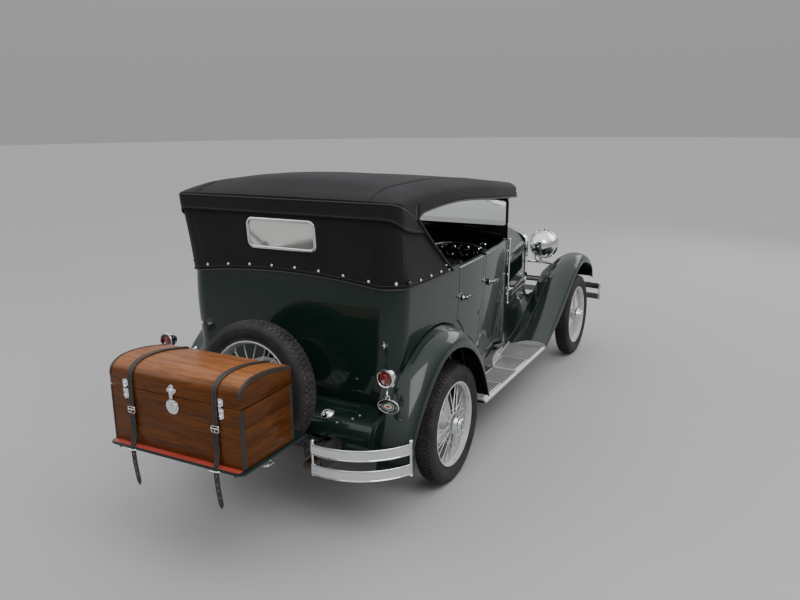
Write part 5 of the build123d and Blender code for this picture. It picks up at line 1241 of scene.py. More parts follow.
for x in np.linspace(-0.685, 0.685, 10):
    if abs(x) < 0.6:
        stud(np.array([x, ya(599.5 + 3), 1.292 + 0.040 * (1 - (x / .581) ** 2) * (abs(x) < .581) + .033]), (0, 1, .08))
    else:
        stud(np.array([math.copysign(.676, x), ya(571), 1.325]), (math.copysign(.66, x), .75, .05))
for side in (-1, 1):
    for a, z in ((356, 1.306), (228, 1.305), (98, 1.303), (30, 1.330), (-10, 1.296)):
        stud(np.array([side * .7085, ya(a), z]), (side, 0, 0))
    s.add(g_ball(np.array([side * .717, ya(505), 1.322]), .012, 16, 10), "paint_black")
    s.add(g_rod(np.array([side * .700, ya(505), 1.318]), np.array([side * .717, ya(505), 1.322]), .006, 10), "paint_black")
    # small stud at the front corner of the deck
    stud(np.array([side * .6035, ya(-1450), 1.600]), (side, -.1, 0), .0062)
s.done("top_fasteners", slot="bright_chrome", angle=40)

# rear window: a rounded frame of bright metal over the canvas and its clear sheet
s = Shape()
wy = lambda z: 0.95 + (0.597 + (0.628 - 0.597) * (z - 1.330) / (1.737 - 1.330)) - 0.002
wc = np.array([0, wy(1.541), 1.541])
slope = unit((0, wy(1.60) - wy(1.48), 0.12))
ring = rounded_rect(.434, .156, .034, 8)
path = np.array([wc + np.array([q[0], 0, 0]) + slope * q[1] for q in ring])
nrm = unit(np.cross(slope, (1, 0, 0)))
nrm = nrm if nrm[1] > 0 else -nrm
s.add(g_sweep(path + nrm * .0015, [(-.0085, -.002), (-.0085, .0015), (-.006, .0042), (0, .0055), (.006, .0042), (.0085, .0015), (.0085, -.002)], closed=True, up=nrm), "nickel")
s.add(g_sweep(path - nrm * .0045, [(-.0085, .002), (-.0085, -.0015), (0, -.0035), (.0085, -.0015), (.0085, .002)][::-1], closed=True, up=nrm), "nickel")
for q in ring[::4]:
    p = wc + np.array([q[0], 0, 0]) + slope * q[1] + nrm * .0066
    s.add(g_turned(p, nrm, [(0, -.001), (.0026, -.001), (.0022, .0012), (0, .0016)], 8), "nickel")
s.done("rear_window_frame", slot="bright_chrome", angle=40)
s = Shape()
a_, b_ = .2125, .0735
sheet = np.array([[wc + np.array([x, 0, 0]) + slope * h - nrm * .0006 for x in (-a_, 0, a_)] for h in (-b_, 0, b_)])
s.add(joined(g_grid(sheet), g_grid(sheet - nrm * .0008, flip=True)), "clear_sheet")
s.done("rear_window_sheet", slot="screen_glass")

# ------------------------------------------------------------------ bows and irons of the top
s = Shape()


def bow_arch(a, drop, wood_r):
    """Bent wood bow under the canvas."""
    half = float(top_of(float(a))[0])
    pts = []
    for w in np.linspace(-.90, .90, 37):
        pts.append(pt(w * half, a, roof_section(a, abs(w)) - sag(a, w) - drop))
    return np.array(pts)


iron_tops = []
for a, w in ((440, .048), (-60, .044), (-620, .044)):
    arch = bow_arch(a, 15.0, 0)
    s.add(g_sweep(arch, rounded_rect(w, .019, .007, 3), up=(0, 0, 1)), "top_wood")
    iron_tops.append((a, arch[-1]))
piv = pt(646, -70, 1330)
corners = [tip + np.array([.012, 0, -.035]) for a, tip in iron_tops]
for side in (1, -1):
    m = np.array([side, 1, 1])
    # the rear bow's socket stands on the pivot, behind the quarter's edge
    tip = iron_tops[0][1]
    path = smooth_line([piv * m, (piv * .5 + corners[0] * .5) * m + np.array([side * .004, 0, 0]), corners[0] * m, (tip + np.array([-.010, 0, -.004])) * m], 6)
    s.add(g_sweep(path, rounded_rect(.007, .024, .003, 3), up=(0, 1, .15)), "paint_black")
    # the two forward bows hang on links from it, high under the cloth's edge
    k1 = piv * .12 + corners[0] * .88 + np.array([-.008, 0, 0])
    k2 = corners[1] + np.array([-.008, .004, -.004])
    for start, c, (a_, tip) in ((k1, corners[1], iron_tops[1]), (k2, corners[2], iron_tops[2])):
        path = smooth_line([start * m, (start * .66 + c * .34 + np.array([0, 0, .006])) * m, (start * .1 + c * .9) * m, c * m, (tip + np.array([-.010, 0, -.004])) * m], 6)
        s.add(g_sweep(path, rounded_rect(.006, .020, .0025, 3), up=(0, 0, 1)), "paint_black")
        s.add(g_turned(start * m + np.array([side * -.004, 0, 0]), (side, 0, 0), [(0, 0), (.012, 0), (.012, .014), (.008, .018), (0, .019)], 14), "paint_black")
    for c in corners:
        s.add(g_turned(c * m + np.array([side * .004, 0, .002]), (side, 0, 0), [(0, -.004), (.008, -.004), (.008, .002), (.005, .005), (0, .006)], 12), "paint_black")
    s.add(g_turned(np.array([side * .630, piv[1], piv[2]]), (side, 0, 0), [(0, 0), (.026, 0), (.027, .004), (.027, .018), (.020, .022), (.010, .023), (.009, .028), (0, .029)], 28), "paint_black")
    s.add(g_box(np.array([min(side * .628, side * .640), ya(-88), 1.200]), np.array([max(side * .628, side * .640), ya(-52), 1.332]), .003), "paint_black")
    for z in (1.215, 1.245):
        s.add(g_turned(np.array([side * .640, ya(-70), z]), (side, 0, 0), [(0, 0), (.007, 0), (.006, .003), (0, .004)], 12), "nickel")
    # side rail from the front bow to the header, with its ferrules
    a0 = iron_tops[2][1] * m + np.array([-side * .012, 0, -.012])
    b0 = pt(570 * side, -1458, 1602)
    path = np.linspace(a0, b0, 8)
    s.add(g_tube(path, .0095, 12), "paint_black")
    for q in (a0, b0):
        d = unit(b0 - a0)
        s.add(g_turned(q - d * .02, d, [(0, 0), (.0125, 0), (.0135, .004), (.0135, .036), (.0125, .04), (0, .04)], 14), "nickel")
# header over the windscreen, shaped to the canvas, with its clamps
hp = []
for x in np.linspace(-.578, .578, 25):
    w = abs(x) / .602
    hp.append(np.array([x, ya(-1462), roof_section(-1462, w) / 1000 - .024]))
s.add(g_sweep(np.array(hp), rounded_rect(.040, .030, .008, 3), up=(0, 0, 1)), "top_wood")
s.add(g_sweep(np.array(hp) + np.array([0, .0, -.018]), rounded_rect(.044, .006, .002, 2), up=(0, 0, 1)), "paint_black")
for side in (1, -1):
    s.add(g_box(pt(side * 588, -1474, 1575) - np.array([.010, 0, 0]), pt(side * 588, -1440, 1598) + np.array([.010, 0, 0]), .003), "nickel")
s.done("top_bows_look", slot="black_paint", replaces=("top_bows",), angle=40)

# ------------------------------------------------------------------ trunk, its lid, straps and hardware
TY0, TY1, TX, TZ0, TZ1 = ya(1104), ya(1483), .392, .643, .922
s = Shape()
hb = (TZ1 - TZ0) / 3
for i in range(3):
    z0, z1 = TZ0 + i * hb + .0002, TZ0 + (i + 1) * hb - .0002
    s.add(g_box(np.array([-TX, TY1 - .012, z0]), np.array([TX, TY1, z1]), .0011), "wood")
    s.add(g_box(np.array([-TX, TY0, z0]), np.array([TX, TY0 + .012, z1]), .0011), "wood")
    for sx in (1, -1):
        s.add(g_box(np.array([min(sx * TX, sx * (TX - .012)), TY0 + .0122, z0]), np.array([max(sx * TX, sx * (TX - .012)), TY1 - .0122, z1]), .0011), "wood_side")
# floor board in the 40% copy of the wood: painted shade
s.add(g_box(np.array([-TX + .0125, TY0 + .0125, TZ0]), np.array([TX - .0125, TY1 - .0125, TZ0 + .012]), .001), "wood_shaded")
# corner strips of leather down the four corners, wide on the ends and narrow on the long faces
for sx in (1, -1):
    for y, sy, wide in ((TY1, 1, .026), (TY0, -1, .022)):
        c = np.array([sx * TX, y, 0])
        lp = [(-.007, .0004), (-.007, .0014), (-.0010, .0018), (.0010, .0012), (.0018, -.0010), (.0018, -wide + .001), (.0012, -wide), (.0003, -wide), (.0003, 0.0003), (0.0, .0004)]
        pts_ = np.array([[c + np.array([sx * u, sy * v, z]) for u, v in lp] for z in (TZ0 + .002, TZ0 + .004, TZ1 - .004, TZ1 - .002)])
        g = g_grid(pts_, cv=True)
        s.add(g if sx * sy < 0 else flipped(g), "edge_leather")
# foot battens, in the 40% copy of the wood: painted shade under the box
for y in (TY0 + .03, TY1 - .06):
    s.add(g_box(np.array([-TX + .02, y, TZ0 - .0012]), np.array([TX - .02, y + .03, TZ0 + .0006]), .0005), "wood_shaded")
s.done("trunk_box_look", slot="trunk_wood", replaces=("trunk_box",), angle=35)

# lid: a moulded shell with its ends, edged in leather
lid_prof = [(1483, 927)] + [(a, z) for a, z in smooth_line([(1483, 975), (1477, 1001), (1461, 1022), (1436, 1036), (1403, 1046), (1340, 1049.5), (1260, 1044), (1180, 1030), (1104, 1014)], 5)] + [(1104, 927)]
lid_prof = np.array([(a, z) for a, z in lid_prof], float)


def offset_line(p, d):
    t = np.gradient(p, axis=0)
    t = t / np.linalg.norm(t, axis=1)[:, None]
    return p + d * np.stack([-t[:, 1], t[:, 0]], -1)


lid_in = offset_line(lid_prof, 12.0)
if lid_in[5][1] > lid_prof[5][1]:
    lid_in = offset_line(lid_prof, -12.0)
lid_in[0], lid_in[-1] = (1471, 927), (1116, 927)
loop = np.concatenate([lid_prof, lid_in[::-1]])
s = Shape()
xs_ = (-392, -391, 391, 392)
pl = []
for x in xs_:
    k = 1.0 if abs(x) == 392 else 0.0
    cc = loop.mean(0)
    pl.append([pt(x, a + (cc[0] - a) / 160 * k * .6, z + (cc[1] - z) / 160 * k * .6) for a, z in loop])
g = g_grid(np.array(pl), cv=True)
n_ = len(loop)
s.add(outward(g, pt(0, 1290, 900)), "wood")
for x, sgn in ((-392, -1), (392, 1)):
    end = [(a, z) for a, z in lid_prof]
    poly = [(ya(a), z / 1000) for a, z in offset_line(lid_prof, 0.6 if lid_in[5][1] < lid_prof[5][1] else -0.6)]
    gp = g_plate(poly, .012, .0008)
    v = np.stack([sgn * (.392 - gp[0][:, 2]), gp[0][:, 0], gp[0][:, 1]], -1)
    s.add((v, gp[1] if sgn < 0 else [tuple(reversed(q)) for q in gp[1]]), "wood_side")
    # leather edging along the curve: flat on the end face, turned over the rim
    edge = smooth_line(np.array([pt(sgn * 392, a, z) for a, z in lid_prof[1:-1]]), 2)
    mid = pt(sgn * 392, 1290, 900)
    rows_ = []
    tan = np.gradient(edge, axis=0)
    for p_, q_ in zip(edge, tan):
        nn_ = unit(np.cross((1, 0, 0), q_))
        if np.dot(nn_, p_ - mid) < 0:
            nn_ = -nn_
        rows_.append([p_ + np.array([sgn * u, 0, 0]) + nn_ * v for u, v in ((.0003, -.0165), (.0016, -.0160), (.0019, -.0010), (.0012, .0012), (-.0010, .0018), (-.0110, .0016), (-.0115, .0002))])
    s.add(outward(g_grid(np.array(rows_)), pt(0, 1290, 900)), "edge_leather")
# straps' upper runs
strap_line = [pt(0, 1104, 1018), pt(0, 1180, 1034), pt(0, 1260, 1048.5), pt(0, 1340, 1053.5), pt(0, 1403, 1050.5), pt(0, 1438, 1040), pt(0, 1465, 1025), pt(0, 1481, 1003),
              pt(0, 1487.5, 975), pt(0, 1489.5, 930), pt(0, 1490, 880), pt(0, 1490.5, 836), pt(0, 1491, 795)]
strap_path = smooth_line(strap_line, 5)


def strap(path, x, w=.030, t=.0042, stitch=True):
    p = path + np.array([x, 0, 0])
    tan = np.gradient(p, axis=0)
    up = np.array([unit(np.cross((1, 0, 0), q)) for q in tan])
    s.add(g_sweep(p, rounded_rect(w, t, .0016, 2), up=up), "strap")
    if stitch:
        for dx in (-w / 2 + .0035, w / 2 - .0035):
            s.add(g_tube(p + np.array([dx, 0, 0]) + np.array([u * t * .48 * (1 if u[1] + u[2] > 0 else -1) for u in up]), .0007, 4), "thread")


for x in (.254, -.254):
    strap(strap_path, x)
    # nailed anchor at the front edge of the lid
    s.add(g_box(np.array([x - .019, ya(1103.0), .980]), np.array([x + .019, ya(1104.2), 1.016]), .0004), "strap")


def profile_plate(poly, t, c, sgn=1, bev=.001, mat="chrome"):
    """A flat fitting on the trunk's rear face: poly in x and z."""
    gp = g_plate([(x, z) for x, z in poly], t, bev)
    v = np.stack([c[0] - gp[0][:, 0], c[1] + gp[0][:, 2], c[2] + gp[0][:, 1]], -1)
    s.add((v, gp[1]), mat)


def lobes(h, w, n=3, waist=.62, steps=10):
    """Outline of a plate with n lobes up its height h."""
    right = []
    for i in range(n * steps + 1):
        t = i / (n * steps)
        r = waist + (1 - waist) * abs(math.sin(math.pi * n * t)) ** .6
        end = min(1.0, 6 * min(t, 1 - t)) ** .5 if 0 < t < 1 else 0.0
        right.append((w / 2 * r * end, -h / 2 + h * t))
    left = [(-x, z) for x, z in reversed(right[1:-1])]
    return right + left


# upper halves of the latches and the hasp stay with the lid
for x in (.2895, -.2845):
    profile_plate(lobes(.040, .034, 1, .8), .0036, (x, TY1, .9475))
    s.add(g_ball(np.array([x, TY1 + .004, .9475]), .0088, 14, 8, .8), "chrome")
    s.add(g_rod(np.array([x - .012, TY1 + .004, .930]), np.array([x + .012, TY1 + .004, .930]), .0032, 10), "chrome")
hasp = [(-.012, -.022), (.012, -.022), (.016, -.014), (.026, -.008), (.028, .002), (.020, .010), (.014, .012), (.012, .020), (.004, .026), (-.004, .026), (-.012, .020),
        (-.014, .012), (-.020, .010), (-.028, .002), (-.026, -.008), (-.016, -.014)]
profile_plate(smooth_line(hasp, 3, closed=True), .0040, (0, TY1, .957), bev=.0014)
s.add(g_ball(np.array([0, TY1 + .0045, .957]), .0105, 16, 10, .8), "chrome")
s.add(g_box(np.array([-.011, TY1 + .003, .918]), np.array([.011, TY1 + .009, .946]), .002), "chrome")
for x in (-.019, .019):
    s.add(g_turned(np.array([x, TY1 + .0036, .960]), (0, 1, 0), [(0, 0), (.003, 0), (.0024, .0012), (0, .0016)], 8), "nickel")
# lid hinges along its front edge
for x in (-.30, 0, .30):
    s.add(g_rod(np.array([x - .035, ya(1102), .9245]), np.array([x + .035, ya(1102), .9245]), .0030, 10), "brass")
    s.add(g_box(np.array([x - .033, ya(1102.2), .9280]), np.array([x + .033, ya(1104.0), .962]), .0006), "brass")
s.done("trunk_lid_look", "trunk_lid", slot="trunk_wood", replaces=("trunk_lid",), angle=35)

# lower halves of the latches, on the box
s = Shape()
for x in (.2895, -.2845):
    profile_plate(lobes(.058, .036, 2, .74), .0036, (x, TY1, .896))
    for z in (.909, .884):
        s.add(g_ball(np.array([x, TY1 + .0036, z]), .0088, 14, 8, .7), "chrome")
    s.add(g_box(np.array([x - .0045, TY1 + .002, .905]), np.array([x + .0045, TY1 + .010, .929]), .0018), "chrome")
    s.add(g_turned(np.array([x, TY1 + .002, .872]), (0, 1, 0), [(0, 0), (.0058, 0), (.0058, .003), (.0035, .006), (0, .0066)], 12), "chrome")
shield = smooth_line([(0, -.041), (.020, -.036), (.034, -.020), (.038, .000), (.030, .018), (.018, .024), (.015, .030), (-.015, .030), (-.018, .024), (-.030, .018), (-.038, .0),
                      (-.034, -.020), (-.020, -.036)], 4, closed=True)
profile_plate(shield, .0050, (0, TY1, .8815), bev=.0022)
inner = [(x * .74, z * .74) for x, z in shield]
profile_plate(inner, .0075, (0, TY1, .8800), bev=.0028)
s.add(g_turned(np.array([0, TY1 + .0070, .884]), (0, 1, 0), [(0, 0), (.0105, 0), (.0105, .0012), (.0080, .0022), (0, .0024)], 20), "chrome")
profile_plate([(-.0012, -.006), (.0012, -.006), (.0012, .003), (.0024, .006), (0, .0085), (-.0024, .006), (-.0012, .003)], .0004, (0, TY1 + .0092, .883), bev=0, mat="ink")
for x, z in ((-.027, .885), (.027, .885), (0, .851)):
    s.add(g_turned(np.array([x, TY1 + .005, z]), (0, 1, 0), [(0, 0), (.0032, 0), (.0026, .0014), (0, .0018)], 8), "nickel")
s.done("trunk_latches", slot="bright_chrome", angle=40)

# lower straps with buckles, keepers, punched tails
s = Shape()
for x in (.254, -.254):
    low_line = [pt(0, 1492.5, 832), pt(0, 1492.5, 785), pt(0, 1492, 745), pt(0, 1493, 706), pt(0, 1500, 672), pt(0, 1509, 645), pt(0, 1511.5, 610), pt(0, 1510.5, 560),
                pt(0, 1507, 510), pt(0, 1503, 470), pt(0, 1502, 436)]
    p = smooth_line(low_line, 5)
    k = np.ones(len(p))
    p2 = p + np.array([x, 0, 0])
    drift = np.linspace(0, 1, len(p2)) ** 2.2
    p2 = p2 + np.stack([-.012 * drift, 0 * drift, 0 * drift], -1)
    tan = np.gradient(p2, axis=0)
    up = np.array([unit(np.cross((1, 0, 0), q)) for q in tan])
    sc = np.ones(len(p2))
    n_tip = 4
    s.add(g_sweep(p2[:-n_tip], rounded_rect(.030, .0036, .0015, 2), up=up[:-n_tip]), "strap")
    tip = [rounded_rect(.030 * w, .0036, .0012, 2) for w in (1.0, .92, .74, .46, .18)]
    path_, _, xs2, ys2 = path_frames(p2[-n_tip - 1:], up=up[-n_tip - 1:])
    tp = np.array([path_[i] + tip[i][:, :1] * xs2[i] + tip[i][:, 1:2] * ys2[i] for i in range(5)])
    gt = g_grid(tp, cv=True, flip=True)
    gt[1].append(tuple(range(4 * tp.shape[1], 5 * tp.shape[1]))[::-1])
    s.add(gt, "strap")
    for dx in (-.0118, .0118):
        s.add(g_tube(p2[:-n_tip] + np.array([dx, .0018, 0]), .0007, 4), "thread")
    for z in (.60, .565, .53, .495):
        i = int(np.argmin(abs(p2[:, 2] - z)))
        s.add(g_turned(p2[i] + np.array([0, .0016, 0]), (0, 1, 0), [(.0022, 0), (.0036, 0), (.0034, .0008), (.0022, .0009)], 12), "nickel")
    # buckle: a bright frame with its roller and tongue
    ring = rounded_rect(.041, .030, .006, 4)
    cy = TY1 + .0135
    path = np.array([[x + u, cy, .820 + w] for u, w in ring])
    s.add(g_sweep(path, circle(.0026, 8), closed=True, up=(0, 1, 0)), "nickel")
    s.add(g_rod(np.array([x - .0195, cy, .822]), np.array([x + .0195, cy, .822]), .0030, 10), "nickel")
    s.add(g_rod(np.array([x, cy + .0015, .822]), np.array([x, cy + .0030, .806]), .0020, 8), "nickel")
    for z in (.775, .742):
        ring = rounded_rect(.037, .0125, .003, 3)
        path = np.array([[x + u, TY1 + .0075 + w, z] for u, w in ring])
        s.add(g_sweep(path, rounded_rect(.010, .0020, .0008, 2), closed=True, up=np.array([unit(q - np.array([x, TY1 + .0075, z])) for q in path])), "strap")
s.done("trunk_straps_look", slot="strap_leather", replaces=("trunk_straps",), angle=38)

# ------------------------------------------------------------------ luggage rack
s = Shape()


def slab(w, y0, y1, z0, z1, r, mat, bev=.002):
    gp = g_plate(rounded_rect(w, y1 - y0, r, 8, 0, (y0 + y1) / 2), z1 - z0, bev)
    s.add(shifted(gp, (0, 0, z0)), mat)


slab(.812, ya(1006), ya(1514), .6285, .6392, .030, "paint_green", .003)
slab(.776, ya(1100), ya(1511), .6388, .6425, .016, "red_board", .0008)
# rolled rim of the plate and the slats below it
ring = rounded_rect(.808, .504, .030, 8, 0, ya(1260))
s.add(g_sweep(np.array([[u, w, .6315] for u, w in ring]), circle(.0055, 8), closed=True, up=(0, 0, 1)), "paint_green")
for x in (-.27, -.09, .09, .27):
    s.add(g_box(np.array([x - .018, ya(1010), .6215]), np.array([x + .018, ya(1500), .6290]), .0015), "chassis_black")
for side in (1, -1):
    path = smooth_line([pt(side * 353, 772, 516), pt(side * 353, 835, 518), pt(side * 353, 905, 560), pt(side * 353, 1000, 613), pt(side * 353, 1060, 619), pt(side * 353, 1300, 619), pt(side * 353, 1498, 619)], 5)
    s.add(g_sweep(path, rounded_rect(.014, .020, .003, 3), up=(0, 0, 1)), "paint_green")
    for a in (1060, 1250, 1440):
        s.add(g_turned(pt(side * 353, a, 628), (0, 0, -1), [(0, 0), (.009, 0), (.009, .014), (.007, .017), (0, .017)], 6), "chassis_black")
    # side loops of bright metal, below the plate's edge
    for a in (1345,):
        ring = rounded_rect(.040, .064, .016, 5)
        path = np.array([pt(side * 406, a, 630) + np.array([side * (u + .010), w, -.003]) for u, w in ring])
        s.add(g_sweep(path, circle(.0052, 8), closed=True, up=(0, 0, 1)), "chrome")
for x in (.254, -.254):
    ring = rounded_rect(.052, .030, .011, 5)
    path = np.array([[x + u, ya(1511) + w, .6290] for u, w in ring])
    s.add(g_sweep(path, rounded_rect(.0085, .0075, .0034, 3), closed=True, up=(0, 0, 1)), "chrome")
s.done("luggage_rack_look", slot="body_green", replaces=("luggage_rack",), angle=38)

# ------------------------------------------------------------------ rear lamps with the oval badge
s = Shape()
for side in (1, -1):
    c = pt(side * 722, 790, 898)
    body = [(0, .070), (.010, .069), (.020, .066), (.030, .058), (.038, .046), (.0425, .030), (.0445, .016), (.0455, .006), (.0480, .004), (.0482, -.001), (.0465, -.0045), (.0420, -.005),
            (.0400, -.003), (.0400, .004)]
    s.add(g_turned(c + np.array([0, -.0045, 0]), (0, -1, 0), [(r, h) for r, h in body], 48), "chrome")
    lens = [(.0402, .000), (.0395, -.0015), (.034, -.0045), (.026, -.0062), (.020, -.0066), (.0185, -.0105), (.013, -.0135), (.006, -.0148), (0, -.0150)]
    s.add(g_turned(c + np.array([0, -.0045 - .0095, 0]), (0, -1, 0), [(r, h + .004) for r, h in lens][::-1], 40), "lens_red")
    for k in range(3):
        a = math.radians(120 * k + 20)
        s.add(g_turned(c + np.array([.0442 * math.cos(a), -.001, .0442 * math.sin(a)]), (0, 1, 0), [(0, 0), (.003, 0), (.0024, .0014), (0, .0018)], 8), "chrome")
    # stalk with its foot on the fender
    path = smooth_line([pt(side * 662, 622, 806), pt(side * 682, 672, 814), pt(side * 706, 722, 826), pt(side * 720, 748, 842), pt(side * 722, 752, 862)], 7)
    s.add(g_tube(path, .0088, 12), "chrome")
    s.add(g_turned(pt(side * 660, 617, 805), (side * .35, .92, .15), [(0, 0), (.021, 0), (.021, .004), (.015, .008), (.010, .012), (0, .013)], 20), "chrome")
    s.add(g_turned(pt(side * 722, 752, 852), (0, 0, 1), [(0, 0), (.0115, 0), (.0125, .004), (.0125, .012), (.010, .016), (0, .017)], 16), "chrome")
    for k in range(2):
        s.add(g_turned(pt(side * 722, 752, 858) + np.array([side * .012, 0, 0]), (side, 0, 0), [(0, 0), (.005, 0), (.0045, .004), (0, .005)], 6), "chrome")
# bracket and ring that carry the badge
s.add(g_sweep(smooth_line([pt(-722, 756, 846), pt(-728, 772, 832), pt(-733, 786, 815), pt(-735, 790, 803)], 5), rounded_rect(.011, .004, .0015, 2), up=(1, 0, .3)), "chrome")
ringp = np.array([pt(-738, 791, 803) + np.array([.0105 * math.cos(t), 0, .0105 * math.sin(t)]) for t in np.linspace(0, 2 * math.pi, 25)[:-1]])
s.add(g_tube(ringp, .0030, 8, closed=True), "chrome")
bc = pt(-742, 796, 759)


def ellipse_plate(rx, rz, y0, t, mat, bev=.0008, dx=0.0, dz=0.0, a0=0, a1=360):
    n = 56 if a1 - a0 >= 360 else 28
    ang = np.radians(np.linspace(a0, a1, n, endpoint=a1 - a0 < 360))
    poly = [(dx + rx * math.cos(q), dz + rz * math.sin(q)) for q in ang]
    gp = g_plate(poly, t, bev)
    s.add((np.stack([bc[0] - gp[0][:, 0], bc[1] + y0 + gp[0][:, 2], bc[2] + gp[0][:, 1]], -1), gp[1]), mat)


ellipse_plate(.0600, .0380, -.0070, .0045, "chrome", .0015)
ellipse_plate(.0560, .0340, -.0035, .0020, "enamel_black", .0004)
rim_e = np.array([bc + np.array([.0578 * math.cos(t), -.0015, .0358 * math.sin(t)]) for t in np.linspace(0, 2 * math.pi, 65)[:-1]])
s.add(g_tube(rim_e, .0022, 8, closed=True), "chrome")
ellipse_plate(.0335, .0205, -.0015, .0010, "chrome", .0003)
ellipse_plate(.0310, .0180, -.0005, .0006, "enamel_green", .0002)
ellipse_plate(.0215, .0118, .0001, .0005, "enamel_cream", .0)
ellipse_plate(.0135, .0068, .0006, .0004, "enamel_red", .0)
for dx, dz in ((.047, 0), (-.047, 0), (0, -.0275)):
    s.add(g_turned(bc + np.array([dx, -.0015, dz]), (0, 1, 0), [(0, 0), (.0030, 0), (.0024, .0013), (0, .0018)], 10), "chrome")
s.done("tail_lamps_look", slot="bright_chrome", replaces=("tail_lamps",), angle=38)

# ------------------------------------------------------------------ bumpers
s = Shape()
BAR = [(-.0275, -.0015), (-.0275, .0030), (-.0262, .0052), (-.0242, .0060), (-.0222, .0052), (-.0210, .0034), (-.0200, .0028), (-.0100, .0034), (0, .0036), (.0100, .0034),
       (.0200, .0028), (.0210, .0034), (.0222, .0052), (.0242, .0060), (.0262, .0052), (.0275, .0030), (.0275, -.0015)]


def arc3(p, q, r, n):
    """Points of the arc through three plan points."""
    (x1, y1), (x2, y2), (x3, y3) = p, q, r
    d = 2 * (x1 * (y2 - y3) + x2 * (y3 - y1) + x3 * (y1 - y2))
    ux = ((x1 ** 2 + y1 ** 2) * (y2 - y3) + (x2 ** 2 + y2 ** 2) * (y3 - y1) + (x3 ** 2 + y3 ** 2) * (y1 - y2)) / d
    uy = ((x1 ** 2 + y1 ** 2) * (x3 - x2) + (x2 ** 2 + y2 ** 2) * (x1 - x3) + (x3 ** 2 + y3 ** 2) * (x2 - x1)) / d
    rad = math.hypot(x1 - ux, y1 - uy)
    a1, a2, a3 = (math.atan2(y - uy, x - ux) for x, y in (p, q, r))

    def near(a, ref):
        while a - ref > math.pi:
            a -= 2 * math.pi
        while a - ref < -math.pi:
            a += 2 * math.pi
        return a
    a2 = near(a2, a1)
    a3 = near(a3, a2)
    return np.array([(ux + rad * math.cos(t), uy + rad * math.sin(t)) for t in np.linspace(a1, a3, n)])


for zc in (.520, .410):
    for side in (1, -1):
        plan = arc3((side * .375, ya(945.5)), (side * .6525, ya(909.5)), (side * .8345, ya(719)), 40)
        path = np.array([[x, y, zc] for x, y in plan])
        tan = np.gradient(path, axis=0)
        nn = np.array([unit(np.cross((0, 0, 1), q)) for q in tan])
        nn = np.array([q if np.dot(q, p - np.array([0, ya(300), zc])) > 0 else -q for p, q in zip(path, nn)])
        rows_ = np.array([[p + q * (w * .9 - .001) + np.array([0, 0, u * 60 / 55]) for u, w in BAR] for p, q in zip(path, nn)])
        back = np.array([[p + q * -.0030 + np.array([0, 0, u * 60 / 55]) for u, w in BAR] for p, q in zip(path, nn)])
        s.add(outward(shell_of(rows_, back), np.array([side * .55, ya(700), zc])), "chrome")
# end bolts, spacers and arms of the rear pair
for side in (1, -1):
    for x, a, dx, dy in ((.384, 944, 0, 1), (.8325, 727, .82, .57)):
        s.add(g_rod(pt(side * x * 1000, a, 378), pt(side * x * 1000, a, 562), .0070, 12), "chrome")
        s.add(g_ball(pt(side * x * 1000, a, 563), .0110, 14, 8, .9), "chrome")
        s.add(g_ball(pt(side * x * 1000, a, 377), .0100, 14, 8, .7), "chrome")
    s.add(g_box(pt(side * 430 - 7, 828, 402), pt(side * 430 + 7, 941, 528), .003), "chassis_black")
    s.add(g_box(pt(side * 412 - 24, 826, 431), pt(side * 412 + 24, 842, 489), .003), "chassis_black")
    for z in (.520, .410):
        s.add(g_turned(np.array([side * .430, ya(946), z]), (0, 1, 0), [(0, 0), (.0125, 0), (.0125, .0015), (.0100, .0055), (.004, .0075), (0, .0078)], 18), "chrome")
    for dz in (.445, .475):
        s.add(g_turned(pt(side * 412, 842, dz * 1000), (0, 1, 0), [(0, 0), (.010, 0), (.010, .006), (.008, .008), (0, .008)], 6), "chassis_black")
# front pair of full width bars
for zc in (.5135, .4125):
    plan = arc3((-.838, ya(-3325.5)), (0, ya(-3420.5)), (.838, ya(-3325.5)), 72)
    path = np.array([[x, y, zc] for x, y in plan])
    tan = np.gradient(path, axis=0)
    nn = np.array([unit(np.cross((0, 0, 1), q)) for q in tan])
    nn = np.array([q if q[1] < 0 else -q for q in nn])
    rows_ = np.array([[p + q * (w * .75 - .001) + np.array([0, 0, u]) for u, w in BAR] for p, q in zip(path, nn)])
    back = np.array([[p + q * -.0035 + np.array([0, 0, u]) for u, w in BAR] for p, q in zip(path, nn)])
    s.add(outward(shell_of(rows_, back), np.array([0, ya(-3000), zc])), "chrome")
for side in (1, -1):
    s.add(g_rod(pt(side * 826, -3326, 384), pt(side * 826, -3326, 541), .0070, 12), "chrome")
    s.add(g_ball(pt(side * 826, -3326, 543), .0110, 14, 8, .9), "chrome")
    s.add(g_box(pt(side * 306 - 7, -3407, 392), pt(side * 306 + 7, -3332, 520), .003), "chassis_black")
    for z in (.5135, .4125):
        s.add(g_turned(np.array([side * .306, ya(-3408), z]), (0, -1, 0), [(0, 0), (.0125, 0), (.0125, .0015), (.0100, .0055), (.004, .0075), (0, .0078)], 18), "chrome")
# medallion clamp at the middle, plain
for z in (.463,):
    s.add(g_box(pt(-13, -3424, 384), pt(13, -3417, 543), .002), "chrome")
s.done("bumpers_look", slot="bright_chrome", replaces=("bumpers", "front_bumper_bars"), angle=40)

# ------------------------------------------------------------------ rear apron with ribs, filler and the valances to the fenders
s = Shape()
prof = [pt(0, 603, 650)] + [pt(0, a, z) for a, z in smooth_line([(640, 644.5), (740, 628), (784, 608), (808, 577), (820, 530), (822, 492), (822, 456)], 5)]
prof = np.array(prof)
xsn = np.array([-640, -620, -560, -480, -400, -300, -200, -100, 0, 100, 200, 300, 400, 480, 560, 620, 640])
top = np.array([[p + np.array([x / 1000, 0, 0]) for x in xsn] for p in prof])


def sheet_with_notches(p):
    """Drops the part of the skirt where the frame ends and irons come through."""
    v, f = g_grid(p)
    keep = []
    for q in f:
        c = v[list(q)].mean(0)
        if c[2] < .536 and .338 < abs(c[0]) < .440 and c[2] > .445:
            continue
        keep.append(q)
    return v, keep


